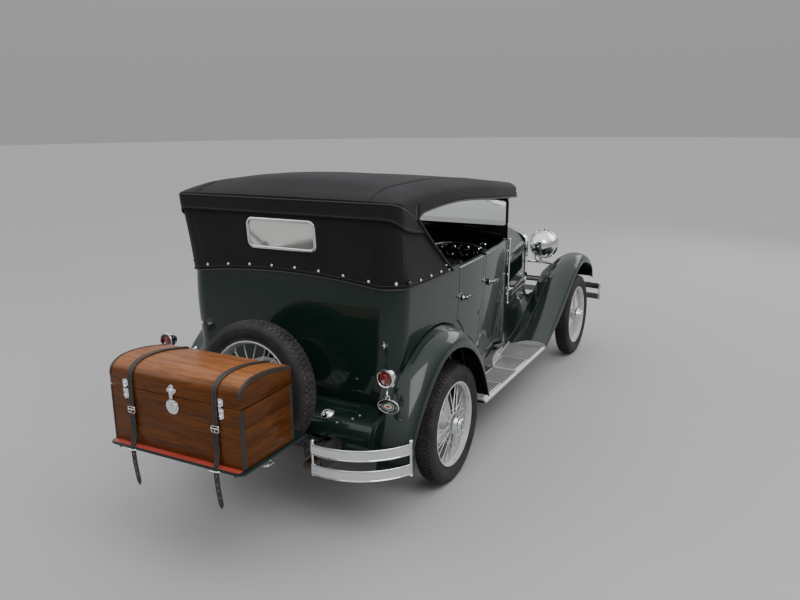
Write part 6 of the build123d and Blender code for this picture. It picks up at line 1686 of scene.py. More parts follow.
g1 = sheet_with_notches(top)
g2 = sheet_with_notches(top - np.array([0, .0022, .0022]))
s.add(outward(g1, pt(0, 700, 500)), "paint_green")
s.add(flipped(outward(g2, pt(0, 700, 500))), "paint_green")
# two pressed ribs each side, ending in round bosses
for side in (1, -1):
    for a, x0, x1 in ((622, 250, 470), (676, 345, 486)):
        z = lambda aa: float(np.interp(aa, [603, 640, 740], [650, 644.5, 628]))
        path = np.array([pt(side * x, a, z(a) + .4) for x in np.linspace(x0, x1, 12)])
        s.add(g_sweep(path, [(-.006, -.002), (-.004, .0012), (0, .0026), (.004, .0012), (.006, -.002)], up=(0, .15, 1)), "paint_green")
        s.add(g_ball(pt(side * x1, a, z(a) + .3), .0070, 12, 8, .6), "paint_green")
    for a, x in ((700, 520), (740, 500), (780, 430)):
        zz = float(np.interp(a, [603, 640, 740, 784], [650, 644.5, 628, 608]))
        s.add(g_turned(pt(side * x, a, zz), (0, .25, .97), [(0, 0), (.0085, 0), (.0085, .002), (.006, .0055), (0, .0062)], 12), "nickel")
    # valance from the apron's side up to the fender's root, with its two seam beads
    inner_edge = np.array([pt(side * 638, a, z) for a, z in ((604, 650), (640, 645), (690, 637), (740, 628), (784, 608), (808, 577), (820, 530), (822, 492), (822, 456))])
    root = []
    for a, z in ((604, 700), (625, 672), (655, 640), (690, 600), (706, 560), (716, 520), (722, 480), (724, 450), (726, 425)):
        root.append(pt(side * 656, a, z))
    root = np.array(root)
    gv = g_grid(np.array([inner_edge + (root - inner_edge) * w + np.array([0, 0, .006 * math.sin(math.pi * w)]) for w in np.linspace(0, 1, 7)]))
    s.add(gv, "paint_green")
    s.add(shifted(flipped(gv), (0, -.0016, -.0016)), "paint_green")
    s.add(g_tube(smooth_line(inner_edge[1:] + np.array([0, .001, .002]), 3), .0036, 8), "paint_green")
    s.add(g_tube(smooth_line((inner_edge * .62 + root * .38)[1:] + np.array([0, .002, .006]), 3), .0026, 8), "paint_green")
# arched access panel under the filler: a raised bead on the skirt
bead = []
for t in np.linspace(0, math.pi, 25):
    x, h = -.400 + .170 * math.cos(t) * 1.0, math.sin(t)
    a = 822 - 52 * h ** 1.4
    z = 470 + 150 * h
    zz = float(np.interp(a, [740, 784, 808, 820, 822], [628, 608, 577, 530, 470]))
    bead.append(np.array([x, ya(a), min(z, zz) / 1000]))
bead = np.array([b + np.array([0, .002, .002]) for b in bead])
s.add(g_tube(smooth_line(bead, 2), .0030, 8), "paint_green")
# filler: neck, cap with ears and the hinge strap
base = np.array([-.353, ya(735), .605])
ax = unit((0, .45, .89))
s.add(g_turned(base, ax, [(0, 0), (.030, 0), (.030, .024), (.034, .026), (.034, .030), (0, .030)], 32), "paint_green")
s.add(g_turned(base + ax * .028, ax, [(0, 0), (.0355, 0), (.0362, .003), (.0362, .010), (.0345, .012), (.0300, .016), (.0200, .0200), (.008, .0212), (0, .0215)], 44), "chrome")
for k in range(18):
    a = 2 * math.pi * k / 18
    m = frame_of(base + ax * .028, ax)
    c = m[:3, :3] @ np.array([.0358 * math.cos(a), .0358 * math.sin(a), .0065]) + m[:3, 3]
    s.add(g_ball(c, .0026, 8, 6), "chrome")
s.add(g_box(base + ax * .046 + np.array([-.006, -.020, .000]), base + ax * .046 + np.array([.006, .020, .006]), .002), "chrome")
# the bead along the body's foot
foot = np.array([pt(x, 605 if abs(x) < 540 else 605 - (abs(x) - 540) ** 2 / 600, 651) for x in np.linspace(-600, 600, 33)])
s.add(g_tube(foot, .0042, 8), "paint_green")
s.done("rear_apron_look", slot="body_green", replaces=("rear_apron",), angle=38)

# ------------------------------------------------------------------ body furniture that rides on the fixed body
def body_half(z):
    """Half width of the body's straight sides at a height in mm."""
    return np.interp(z, [482, 800, 1080, 1290], [640, 672, 698, 702])


def side_x(a, z):
    """Half width of the body in mm at a station and height, following its plan taper to the cowl."""
    h = float(body_half(z))
    if a > -250:
        return h
    t = (a + 250) / (-1280 + 250)
    drop = 100.0 * float(np.interp(z, [482, 1290], [.40, 1.0]))
    return h - drop * t ** 2


def lozenge(c, nrm, w, h, t, mat, target):
    """A pointed oval stud plate."""
    o = [(0, -h / 2), (w * .30, -h * .22), (w / 2, 0), (w * .30, h * .22), (0, h / 2), (-w * .30, h * .22), (-w / 2, 0), (-w * .30, -h * .22)]
    gp = g_plate(smooth_line(o, 3, closed=True), t, t * .45)
    m = frame_of(c, nrm, np.cross((0, 0, 1), nrm))
    target.add(moved(gp, m), mat)
    target.add(moved(g_lathe([(0, t * 2.1), (w * .17, t * 1.7), (w * .24, t * .9), (w * .24, 0)][::-1], 16), m), mat)


s = Shape()
# strap studs on the rear panel and a small bracket
for x, z in ((.609, .972), (-.616, 1.002)):
    lozenge(np.array([x, ya(602.0), z]), (0, 1, 0), .024, .040, .0042, "chrome", s)
s.add(g_box(np.array([-.458, ya(600), .792]), np.array([-.438, ya(608), .798]), .001), "nickel")
s.done("body_studs", slot="bright_chrome", angle=38)

# ------------------------------------------------------------------ door furniture
DOORS = {"door_rear_left": (1, -180, -600, -238), "door_rear_right": (-1, -180, -600, -238),
         "door_front_left": (1, -648, -1195, -712), "door_front_right": (-1, -648, -1195, -712)}


for name, (side, a_back, a_front, a_handle) in DOORS.items():
    rear = "rear" in name
    s = Shape()
    # handle: escutcheon, boss and a tapered lever with a ball end
    hx = side_x(a_handle, 1078)
    c = pt(side * (hx + .3), a_handle, 1078)
    n = unit((side, 0.0 if rear else -side * side * .10, .0))
    o = [(17 * math.cos(t), 22 * math.sin(t)) for t in np.linspace(0, 2 * math.pi, 33)[:-1]]
    gp = g_plate([(x / 1000, y / 1000) for x, y in o], .0050, .0022)
    m = frame_of(c, (side, 0, 0), (0, 1, 0))
    s.add(moved(gp, m), "chrome")
    s.add(g_turned(c, (side, 0, 0), [(0, 0), (.0135, 0), (.0135, .006), (.0105, .010), (.0098, .020), (.0108, .024), (.0108, .032), (.008, .0355), (0, .036)], 24), "chrome")
    lever = smooth_line([pt(side * (hx + 28), a_handle + 11, 1078), pt(side * (hx + 29.5), a_handle - 12, 1079), pt(side * (hx + 31), a_handle - 46, 1081),
                         pt(side * (hx + 30.5), a_handle - 78, 1079), pt(side * (hx + 27.5), a_handle - 96, 1076)], 6)
    k = np.interp(np.linspace(0, 1, len(lever)), [0, .10, .3, .7, .92, 1], [.55, 1.0, .82, .74, 1.05, .55])
    s.add(g_sweep(lever, circle(.0072, 14, .0092), up=(side, 0, 0), scale=k), "chrome")
    # external hinges: at three heights a leaf on the door with two rivet heads
    if rear:
        hinge_a = -600
        zs = (620, 905, 1190)
    else:
        hinge_a = -1195
        zs = (620, 905, 1180)
    s_h = []
    for z in zs:
        xx = side_x(hinge_a, z)
        c0 = pt(side * (xx + 1.5), hinge_a + 10, z)
        leaf = [(0, -.018), (.034, -.014), (.040, -.006), (.040, .006), (.034, .014), (0, .018)]
        gp = g_plate(leaf, .0030, .0012)
        m = frame_of(c0 + np.array([side * -.001, 0, 0]), (side, 0, 0), (0, 1, 0))
        s.add(moved(gp, m), "paint_green")
        for dy in (.014, .030):
            s.add(g_turned(c0 + np.array([side * .0015, dy, 0]), (side, 0, 0), [(0, 0), (.0042, 0), (.0036, .0014), (0, .0018)], 10), "paint_green")
    # inner garnish: leather door card with its pull
    z0, z1 = 640, 1225
    lo_a, hi_a = (a_front + 28, a_back - 26)
    if rear:
        lo_a, hi_a = -574, -204
        z0 = 800
    rows_ = []
    for z in np.linspace(z0, z1, 12):
        row = []
        for a in np.linspace(lo_a, hi_a, 12):
            zz = z
            row.append(pt(side * (side_x(a, zz) - 35.5 - 2.0 * math.sin(math.pi * (z - z0) / (z1 - z0)) * math.sin(math.pi * (a - lo_a) / (hi_a - lo_a))), a, zz))
        rows_.append(row)
    outer = np.array(rows_)
    inner = outer + np.array([side * .0045, 0, 0])
    s.add(outward(shell_of(outer, inner), pt(side * 500, (lo_a + hi_a) / 2, 900) + np.array([side * .20, 0, 0])), "seat_leather")
    # piping round the card
    ring = np.concatenate([outer[0], outer[:, -1][1:], outer[-1][::-1][1:], outer[:, 0][::-1][1:-1]])
    s.add(g_tube(ring, .0032, 6, closed=True), "seat_leather")
    # pull handle
    yc = (lo_a + hi_a) / 2
    xx = side_x(yc, 1150) - 39
    pull = smooth_line([pt(side * xx, yc - 55, 1150), pt(side * (xx - 18), yc - 48, 1150), pt(side * (xx - 20), yc + 48, 1150), pt(side * xx, yc + 55, 1150)], 5)
    s.add(g_tube(pull, .0045, 8), "nickel")
    # padded roll on the top rail, in body green, with a bright bead outside
    top = []
    for a in np.linspace(a_front + 6, a_back - 6, 14):
        top.append(pt(side * (side_x(a, 1272) - 15), a, 1273.5))
    top = np.array(top)
    s.add(g_sweep(top, [(-.0145, -.001), (-.0145, .004), (-.0105, .0072), (0, .0085), (.0105, .0072), (.0145, .004), (.0145, -.001)], up=(0, 0, 1)), "paint_green")
    s.add(g_tube(top + np.array([side * .0142, 0, -.0010]), .0028, 8), "nickel")
    s.done(name + "_fittings", name, slot="bright_chrome", angle=38)

# ------------------------------------------------------------------ belt moulding along the body quarters
s = Shape()
for side in (1, -1):
    path = np.array([pt(side * (side_x(a, 1284) - 14), a, 1290.8) for a in np.linspace(-176, 20, 10)])
    s.add(g_sweep(path, [(-.0150, -.0015), (-.0150, .003), (-.010, .0062), (0, .0072), (.010, .0062), (.0150, .003), (.0150, -.0015)], up=(0, 0, 1)), "paint_green")
s.done("body_rolls", slot="body_green", angle=38)

# ------------------------------------------------------------------ windshield: frame, pillars, wiper, mirror
s = Shape()
yf = ya(-1281)
# outer frame: rounded tube section round the glass opening, and the fixed panel below
out_ring = np.array([[x, yf, z] for x, z in [(q[0], q[1]) for q in rounded_rect(1.196, .198, .024, 6, 0, 1.460)]])
s.add(g_sweep(out_ring, rounded_rect(.018, .022, .006, 3), closed=True, up=(0, 1, 0)), "paint_black")
bead_ring = np.array([[x, yf + .0085, z] for x, z in [(q[0], q[1]) for q in rounded_rect(1.178, .184, .018, 6, 0, 1.460)]])
s.add(g_tube(bead_ring, .0022, 6, closed=True), "chrome")
s.add(g_box(np.array([-.600, ya(-1290), 1.276]), np.array([.600, ya(-1272), 1.366]), .003), "paint_black")
s.add(g_tube(np.array([[-.598, ya(-1271.5), 1.366], [.598, ya(-1271.5), 1.366]]), .0035, 8), "rubber")
for side in (1, -1):
    # pillar: flat bar standing on the cowl, with its top knuckle
    s.add(g_box(pt(side * 597, -1290, 1262), pt(side * 608, -1270, 1572), .003), "paint_black")
    s.add(g_turned(pt(side * 603, -1281, 1560), (side, 0, 0), [(0, 0), (.016, 0), (.016, .006), (.011, .011), (0, .013)], 20), "chrome")
    s.add(g_turned(pt(side * 603, -1281, 1372), (side, 0, 0), [(0, 0), (.014, 0), (.014, .006), (.009, .011), (0, .012)], 20), "chrome")
# wiper motor and its blade on the driver's side
s.add(g_box(pt(280, -1272, 1540), pt(340, -1250, 1566), .006), "bakelite")
s.add(g_rod(pt(310, -1290, 1553), pt(310, -1304, 1553), .004, 10), "nickel")
s.add(g_rod(pt(310, -1302, 1553), pt(352, -1299, 1398), .0022, 8), "nickel")
s.add(g_box(pt(346, -1298, 1386), pt(352, -1292, 1530), .0015), "rubber")
# mirror hanging inside
s.add(g_rod(pt(0, -1270, 1545), pt(0, -1238, 1532), .004, 8), "nickel")
gp = g_plate(rounded_rect(.150, .048, .020, 6), .007, .002)
s.add(moved(gp, frame_of(pt(0, -1232, 1522), (0, 1, -.15), (1, 0, 0))), "nickel")
gp = g_plate(rounded_rect(.142, .040, .017, 6), .0008, .0003)
s.add(moved(gp, frame_of(pt(0, -1224.8, 1521), (0, 1, -.15), (1, 0, 0))), "reflector")
s.done("windshield_frame_look", slot="black_paint", replaces=("windshield_frame",), angle=38)

s = Shape()
s.add(g_box(pt(-588, -1285.5, 1369), pt(588, -1281.5, 1551), .0006), "glass")
s.done("windshield_glass_look", slot="screen_glass", replaces=("windshield_glass",))

# stanchions outside the screen: a tapered bright bar down to a ball on the cowl's side
s = Shape()
for side in (1, -1):
    a = pt(side * 622, -1330, 1262)
    b = pt(side * 622, -1310, 790)
    path = np.array([a + (b - a) * t for t in np.linspace(0, 1, 9)])
    cowl_x = [float(np.interp(p[2] * 1000, [482, 1262, 1338], [602, 602, 560])) for p in path]
    for i, p in enumerate(path):
        path[i][0] = side * (min(cowl_x[i], 602) + 3.0) / 1000 * 1.0
    s.add(g_sweep(path, circle(.0050, 10, .0072), up=(side, 0, 0), scale=np.interp(np.linspace(0, 1, 9), [0, .5, 1], [1.25, 1.0, .62])), "chrome")
    s.add(g_ball(path[-1], .0085, 14, 8), "chrome")
    s.add(g_ball(path[0], .0100, 14, 8), "chrome")
    for t in (.18, .55, .86):
        q = a + (b - a) * t
        q[0] = side * .600
        s.add(g_turned(q, (side, 0, 0), [(0, 0), (.010, 0), (.009, .003), (.005, .005), (0, .005)], 14), "chrome")
s.done("cowl_stanchions", slot="bright_chrome", angle=38)

# ------------------------------------------------------------------ headlamps, their bar, horn
s = Shape()
for side in (1, -1):
    c = pt(side * 390, -2830, 965)
    bowl = [(0, .108), (.020, .107), (.045, .101), (.070, .089), (.092, .068), (.107, .042), (.116, .015), (.120, -.020), (.124, -.052), (.1275, -.058), (.1275, -.064), (.1345, -.066),
            (.1358, -.074), (.1350, -.084), (.1310, -.0895), (.1240, -.0915), (.1205, -.0890), (.1195, -.0860)]
    s.add(g_turned(c, (0, 1, 0), bowl[::-1], 64), "chrome")
    inner = [(.1190, -.0840), (.1150, -.050), (.098, -.010), (.070, .022), (.035, .040), (.012, .045), (0, .046)]
    s.add(g_turned(c, (0, 1, 0), inner, 48), "reflector")
    s.add(g_ball(c + np.array([0, .012, 0]), .013, 14, 8), "glass")
    lens = [(0, -.0990), (.040, -.0980), (.080, -.0945), (.110, -.0895), (.1195, -.0865)]
    s.add(flipped(g_turned(c, (0, 1, 0), lens[::-1], 48)), "lens_clear")
    # finial, rim screw, stem and clamp
    s.add(g_turned(c + np.array([0, .104, 0]), (0, 1, 0), [(0, 0), (.012, 0), (.008, .004), (.0055, .007), (0, .0085)], 16), "chrome")
    s.add(g_box(c + np.array([-.010, -.078, .130]), c + np.array([.010, -.060, .146]), .003), "chrome")
    s.add(g_turned(pt(side * 390, -2812, 800), (0, 0, 1), [(0, 0), (.024, 0), (.024, .004), (.014, .010), (.0125, .018), (.0125, .030), (.0145, .034), (.0145, .038), (.012, .043), (.0115, .052), (.017, .057)], 20), "chrome")
    # flex to the shell
    path = smooth_line([pt(side * 372, -2818, 806), pt(side * 360, -2795, 822), pt(side * 350, -2775, 852), pt(side * 352, -2760, 880), pt(side * 362, -2752, 900)], 5)
    s.add(g_tube(path, .0048, 8), "rubber")
bar = smooth_line([pt(x, -2812, z) for x, z in ((-500, 806), (-440, 811), (-390, 813), (-200, 812), (0, 811.5), (200, 812), (390, 813), (440, 811), (500, 806))], 5)
s.add(g_tube(bar, .0130, 16), "chrome")
for side in (1, -1):
    for x in (390, 150):
        s.add(g_turned(pt(side * x - 8, -2812, 812.5), (1, 0, 0), [(.013, 0), (.0162, .001), (.0162, .015), (.013, .016)], 20), "chrome")
    s.add(g_ball(pt(side * 497, -2812, 806), .0155, 14, 8), "chrome")
# horn under the left lamp: trumpet, motor can and its bracket
hc = pt(258, -2812, 760)
s.add(g_rod(pt(258, -2812, 800), pt(258, -2812, 770), .008, 10), "chrome")
trumpet = [(.006, .02), (.010, .0), (.013, -.035), (.019, -.070), (.030, -.095), (.046, -.110), (.050, -.112), (.050, -.115), (.044, -.1135), (.028, -.098), (.016, -.070), (.0, -.060)]
s.add(g_turned(hc, (0, 1, 0), trumpet[::-1], 36), "chrome")
s.add(g_turned(hc + np.array([0, .018, 0]), (0, 1, 0), [(0, 0), (.020, 0), (.031, .004), (.033, .010), (.033, .030), (.030, .036), (.022, .040), (0, .041)], 32), "paint_black")
s.done("headlamps_look", slot="bright_chrome", replaces=("headlamps",), angle=38)

# ------------------------------------------------------------------ radiator: shell, core, neck, cap
s = Shape()
y0, y1 = ya(-2745), ya(-2660)


def shell_outline(k=0.0, top=1146.0):
    pts_ = [(-255 + k, 530), (-292 + k, 700), (-292 + k, 1015)]
    arc = smooth_line([(-292 + k, 1015), (-280 + k, 1055), (-224 + k * .7, 1095 - k * .6), (-120, 1131 - k), (0, top - k), (120, 1131 - k), (224 - k * .7, 1095 - k * .6), (280 - k, 1055), (292 - k, 1015)], 5)
    return [(x / 1000, z / 1000) for x, z in pts_[:2]] + [(x / 1000, z / 1000) for x, z in arc] + [((292 - k) / 1000, .700), ((255 - k) / 1000, .530)]


rows_ = []
for y, k in ((y1, 0), (y0 + .020, 0), (y0 + .008, .5), (y0 + .002, 3), (y0 - .0000, 8), (y0 + .000, 24), (y0 + .004, 29), (y0 + .012, 31), (y0 + .026, 32)):
    rows_.append([np.array([x, y, z]) for x, z in shell_outline(k)])
s.add(outward(g_grid(np.array(rows_)), np.array([0, ya(-2700), .8])), "chrome")
# core face and its frame
core = shell_outline(29)
gp = g_plate(core, .006, 0)
s.add((np.stack([gp[0][:, 0], ya(-2722) + gp[0][:, 2], gp[0][:, 1]], -1), gp[1]), "core")
back = shell_outline(6)
gp = g_plate(back, .030, .002)
s.add((np.stack([gp[0][:, 0], ya(-2698) + gp[0][:, 2], gp[0][:, 1]], -1), gp[1]), "paint_black")
for x in np.linspace(-.245, .245, 15):
    zt = float(np.interp(abs(x) * 1000, [0, 120, 224, 262], [1112, 1098, 1062, 1020])) / 1000
    s.add(g_box(np.array([x - .0016, ya(-2730), .560]), np.array([x + .0016, ya(-2723), zt - .006]), .0006), "chrome")
s.add(g_box(np.array([-.250, y0 + .002, .532]), np.array([.250, y0 + .030, .556]), .003), "chrome")
# lower splash between the horns
s.add(g_box(np.array([-.252, ya(-2742), .508]), np.array([.252, ya(-2700), .534]), .004), "paint_green")
# neck, cap with winged bar and finial
nk = pt(0, -2700, 1130)
s.add(g_turned(nk, (0, 0, 1), [(.040, .004), (.034, .008), (.029, .014), (.0265, .022), (.0265, .040), (.031, .042), (.033, .046), (.033, .056), (.030, .061), (.018, .065), (0, .066)], 36), "chrome")
bar = smooth_line([pt(-54, -2700, 1181), pt(-34, -2700, 1186), pt(-14, -2700, 1189), pt(14, -2700, 1189), pt(34, -2700, 1186), pt(54, -2700, 1181)], 4)
s.add(g_sweep(bar, rounded_rect(.024, .012, .005, 3), up=(0, 0, 1), scale=np.interp(np.linspace(0, 1, len(bar)), [0, .3, .7, 1], [.7, 1, 1, .7])), "chrome")
s.add(g_turned(pt(0, -2700, 1188), (0, 0, 1), [(.016, 0), (.012, .006), (.008, .010), (.010, .016), (.0155, .021), (.0165, .026), (.0125, .031), (0, .033)], 24), "chrome")
s.done("radiator_look", slot="bright_chrome", replaces=("radiator",), angle=38)

# ------------------------------------------------------------------ hood: louvres, handles, hinge, beads
for side, name in ((1, "hood_left"), (-1, "hood_right")):
    s = Shape()

    def hood_x(a, z):
        t = (a + 1605) / (-2652 + 1605)
        half = 460 + (288 - 460) * t
        low = 1058 + (1010 - 1058) * t
        return half if z <= low else half * .9
    # twenty louvres pressed out of the side
    for k in range(20):
        a = -1730 - 40 * k
        za, zb = 800, 985 - 2.0 * k
        t = np.linspace(0, 1, 9)
        ridge = []
        for w in t:
            z = za + (zb - za) * w
            lift = 7.0 * min(1.0, 6 * w, 6 * (1 - w)) ** .6
            ridge.append((z, lift))
        rows_ = []
        for dy, f_ in ((-9, 0.0), (-3, .35), (4, .80), (9, 1.0), (10, .0)):
            rows_.append([pt(side * (hood_x(a + dy, z) + .3 + lift * f_), a + dy, z) for z, lift in ridge])
        g = g_grid(np.array(rows_))
        s.add(outward(g, pt(0, a, 900)), "paint_green")
    # two handles near the foot
    for a in (-1850, -2400):
        c = pt(side * (hood_x(a, 760) + 1), a, 762)
        for dy in (-.030, .030):
            s.add(g_rod(c + np.array([0, dy, 0]), c + np.array([side * .020, dy, 0]), .0055, 12), "chrome")
            s.add(g_turned(c + np.array([0, dy, 0]), (side, 0, 0), [(0, 0), (.011, 0), (.009, .003), (0, .0035)], 16), "chrome")
        s.add(g_rod(c + np.array([side * .020, -.040, 0]), c + np.array([side * .020, .040, 0]), .0055, 12), "chrome")
    # bead along the shoulder
    path = []
    for a in np.linspace(-1612, -2646, 30):
        t = (a + 1605) / (-2652 + 1605)
        half = 460 + (288 - 460) * t
        low = 1058 + (1010 - 1058) * t
        path.append(pt(side * (half + .6), a, low))
    s.add(g_tube(np.array(path), .0032, 8), "paint_green")
    # half of the middle hinge
    p0, p1 = pt(side * 9, -1612, 1213.2), pt(side * 9, -2646, 1140.7)
    s.add(g_sweep(np.array([p0, p1]), [(-.0045, -.001), (-.0045, .0015), (.0050, .0015), (.0050, -.001)], up=(0, 0, 1)), "paint_green")
    s.done(name + "_fittings", name, slot="body_green", angle=38)

s = Shape()
p0, p1 = pt(0, -1600, 1213.3), pt(0, -2652, 1140.0)
s.add(g_rod(p0, p1, .0025, 12), "chrome")
for k in range(27):
    q = p0 + (p1 - p0) * (k + .5) / 27
    d = unit(p1 - p0)
    s.add(g_rod(q - d * .0165, q + d * .0165, .0029, 12), "chrome")
s.done("hood_hinge", slot="bright_chrome", angle=38)

# ------------------------------------------------------------------ seats: bases and backs, with padded cushions and squabs
def pad_mesh(name, w, d, nx, ny, nz, t, chan, crown, place, rnd=.030):
    """A closed pad: w across, d deep, t thick before it swells; chan gives the channel lines as fractions of w."""
    xs_ = np.linspace(-.5, .5, nx + 1)
    extra = sorted(set(chan))
    for c in extra:
        xs_[np.argmin(abs(xs_ - c))] = c
    ys_ = np.linspace(-.5, .5, ny + 1)
    shell, idx = [], {}
    faces = []

    def vert(i, j, k):
        key = (i, j, k)
        if key in idx:
            return idx[key]
        u, v, h = xs_[i], ys_[j], k / nz
        px, py = u * w, v * d
        ex = (w / 2 - abs(px)) / rnd
        ey = (d / 2 - abs(py)) / rnd
        e = min(1.0, ex, ey)
        roll = math.sqrt(max(0.0, 1 - (1 - e) ** 2))
        z = h * (t * (.46 + .54 * roll)) + h * crown * (1 - (2 * u) ** 4) * (1 - (2 * v) ** 2)
        pull = .006 * math.sin(math.pi * h)
        px -= np.sign(px) * (pull if i in (0, nx) else 0) * -1
        py -= np.sign(py) * (pull if j in (0, ny) else 0) * -1
        if k == nz:
            near = min([abs(u - c) * w for c in extra] + [1.0])
            z -= .010 * math.exp(-(near / .012) ** 2) * min(1.0, max(0.0, e))
        idx[key] = len(shell)
        shell.append((px, py, z))
        return idx[key]
    for i in range(nx):
        for j in range(ny):
            faces.append((vert(i, j, nz), vert(i + 1, j, nz), vert(i + 1, j + 1, nz), vert(i, j + 1, nz)))
            faces.append((vert(i, j, 0), vert(i, j + 1, 0), vert(i + 1, j + 1, 0), vert(i + 1, j, 0)))
    for k in range(nz):
        for i in range(nx):
            faces.append((vert(i, 0, k), vert(i + 1, 0, k), vert(i + 1, 0, k + 1), vert(i, 0, k + 1)))
            faces.append((vert(i, ny, k), vert(i, ny, k + 1), vert(i + 1, ny, k + 1), vert(i + 1, ny, k)))
        for j in range(ny):
            faces.append((vert(0, j, k), vert(0, j, k + 1), vert(0, j + 1, k + 1), vert(0, j + 1, k)))
            faces.append((vert(nx, j, k), vert(nx, j + 1, k), vert(nx, j + 1, k + 1), vert(nx, j, k + 1)))
    pins = []
    for (i, j, k), n in idx.items():
        u = xs_[i]
        seam = any(abs(u - c) < 1e-6 for c in extra)
        rim_ = k == nz and (i in (0, nx) or j in (0, ny))
        if k == 0 or rim_ or (k == nz and seam):
            pins.append(n)
    v = np.array(shell, float)
    me = bpy.data.meshes.new(name)
    me.from_pydata((v @ place[:3, :3].T + place[:3, 3]).tolist(), [], faces)
    me.materials.append(MATS["seat_leather"])
    me.update()
    ob = bpy.data.objects.new(name, me)
    bpy.context.scene.collection.objects.link(ob)
    g = ob.vertex_groups.new(name="pin")
    g.add(pins, 1.0, "REPLACE")
    return ob, (xs_, ys_, idx, extra, nx, ny, nz)


def swell(obs, frames=16, pressure=3.5, cap=.022):
    for ob in obs:
        c = ob.modifiers.new("Cloth", "CLOTH")
        st = c.settings
        st.quality = 6
        st.mass = 0.4
        st.tension_stiffness = st.compression_stiffness = 12
        st.shear_stiffness = 6
        st.bending_stiffness = 1.2
        st.use_pressure = True
        st.uniform_pressure_force = pressure
        st.vertex_group_mass = "pin"
        st.pin_stiffness = 1.0
        st.effector_weights.gravity = 0.0
        c.collision_settings.use_collision = False
        c.point_cache.frame_start, c.point_cache.frame_end = 1, frames
    sc = bpy.context.scene
    for f in range(1, frames + 1):
        sc.frame_set(f)
    dg = bpy.context.evaluated_depsgraph_get()
    for ob in obs:
        old = np.array([v.co[:] for v in ob.data.vertices])
        new = np.array([v.co[:] for v in ob.evaluated_get(dg).data.vertices])
        d = new - old
        ln = np.linalg.norm(d, axis=1)
        k = np.minimum(1.0, cap / np.maximum(ln, 1e-9))
        ob.modifiers.clear()
        ob.data.vertices.foreach_set("co", (old + d * k[:, None]).ravel())
        ob.data.update()
    sc.frame_set(1)
    for ob in obs:
        bm = bmesh.new()
        bm.from_mesh(ob.data)
        bmesh.ops.subdivide_edges(bm, edges=bm.edges[:], cuts=1, use_grid_fill=True)
        for _ in range(2):
            bmesh.ops.smooth_vert(bm, verts=[v for v in bm.verts], factor=0.5, use_axis_x=True, use_axis_y=True, use_axis_z=True)
        bm.to_mesh(ob.data)
        bm.free()
        ob.data.polygons.foreach_set("use_smooth", [True] * len(ob.data.polygons))
        ob.data.update()


def seat_frame(origin, x, y):
    m = np.eye(4)
    x, y = unit(x), unit(y)
    z = np.cross(x, y)
    m[:3, 0], m[:3, 1], m[:3, 2], m[:3, 3] = x, y, z, origin
    return m


chan_f = [(-.5 + i / 10) for i in range(1, 10)]
chan_r = [(-.5 + i / 11) for i in range(1, 11)]
PADS = {
    # cushions lie flat: X across, Y rearwards
    "front_cushion": (1.040, .352, 60, 18, 3, .100, chan_f, .012, seat_frame(pt(0, -912, 704), (1, 0, 0), (0, 1, .035))),
    "rear_cushion": (1.150, .450, 66, 20, 3, .070, chan_r, .012, seat_frame(pt(0, 158, 785), (1, 0, 0), (0, 1, -.03))),
    # squabs stand: X across, Y up, thick towards the front
    "front_squab": (1.040, .400, 60, 18, 3, .058, chan_f, .008, seat_frame(pt(0, -664, 1018), (-1, 0, 0), (0, .095, 1))),
    "rear_squab": (1.150, .380, 66, 18, 3, .062, chan_r, .010, seat_frame(pt(0, 486, 1048), (-1, 0, 0), (0, .18, 1))),
}
pads, info = [], {}
for name, (w, d, nx, ny, nz, t, chan, crown, place) in PADS.items():
    ob, data = pad_mesh(name, w, d, nx, ny, nz, t, chan, crown, place)
    pads.append(ob)
    info[name] = (w, d, t, place)
swell(pads)
for ob in pads:
    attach(ob, "root")

s = Shape()
# boxed bases in leather cloth, with piping, and the rails they slide on
s.add(g_box(pt(-530, -1058, 526), pt(530, -645, 690), .012, 3), "seat_leather")
s.add(g_box(pt(-530, -1090, 676), pt(530, -700, 708), .012, 3), "seat_leather")
for side in (1, -1):
    s.add(g_box(pt(side * 430 - 14, -1064, 524), pt(side * 430 + 14, -660, 534), .002), "nickel")
back = [(-640, 700), (-600, 1205), (-606, 1216), (-620, 1221), (-640, 1219), (-650, 1210), (-682, 700)]
for lo, hi in ((-530, 530),):
    gp = g_plate([(ya(a), z / 1000) for a, z in back], (hi - lo) / 1000, .008, 3)
    s.add(outward((np.stack([lo / 1000 + gp[0][:, 2], gp[0][:, 0], gp[0][:, 1]], -1), gp[1]), pt(0, -645, 960)), "seat_leather")
s.add(g_tube(np.array([pt(-526, -628, 1222), pt(526, -628, 1222)]), .0075, 10), "seat_leather")
# robe rail on the back of the front seat
rail = smooth_line([pt(-380, -606, 1130), pt(-380, -585, 1128), pt(-360, -580, 1126), pt(360, -580, 1126), pt(380, -585, 1128), pt(380, -606, 1130)], 4)
s.add(g_tube(rail, .0065, 10), "chrome")
# piping round cushion tops and squab faces
for name in ("front_cushion", "front_squab"):
    w, d, t, place = info[name]
    for h in (.012, t * .46 + .002):
        ring = rounded_rect(w + .002, d + .002, .018, 4)
        path = np.array([(place @ np.array([u, v, h, 1.0]))[:3] for u, v in ring])
        s.add(g_tube(path, .0040, 6, closed=True), "seat_leather")
s.done("front_seat_base", slot="black_leather", replaces=("front_seat",), angle=40)

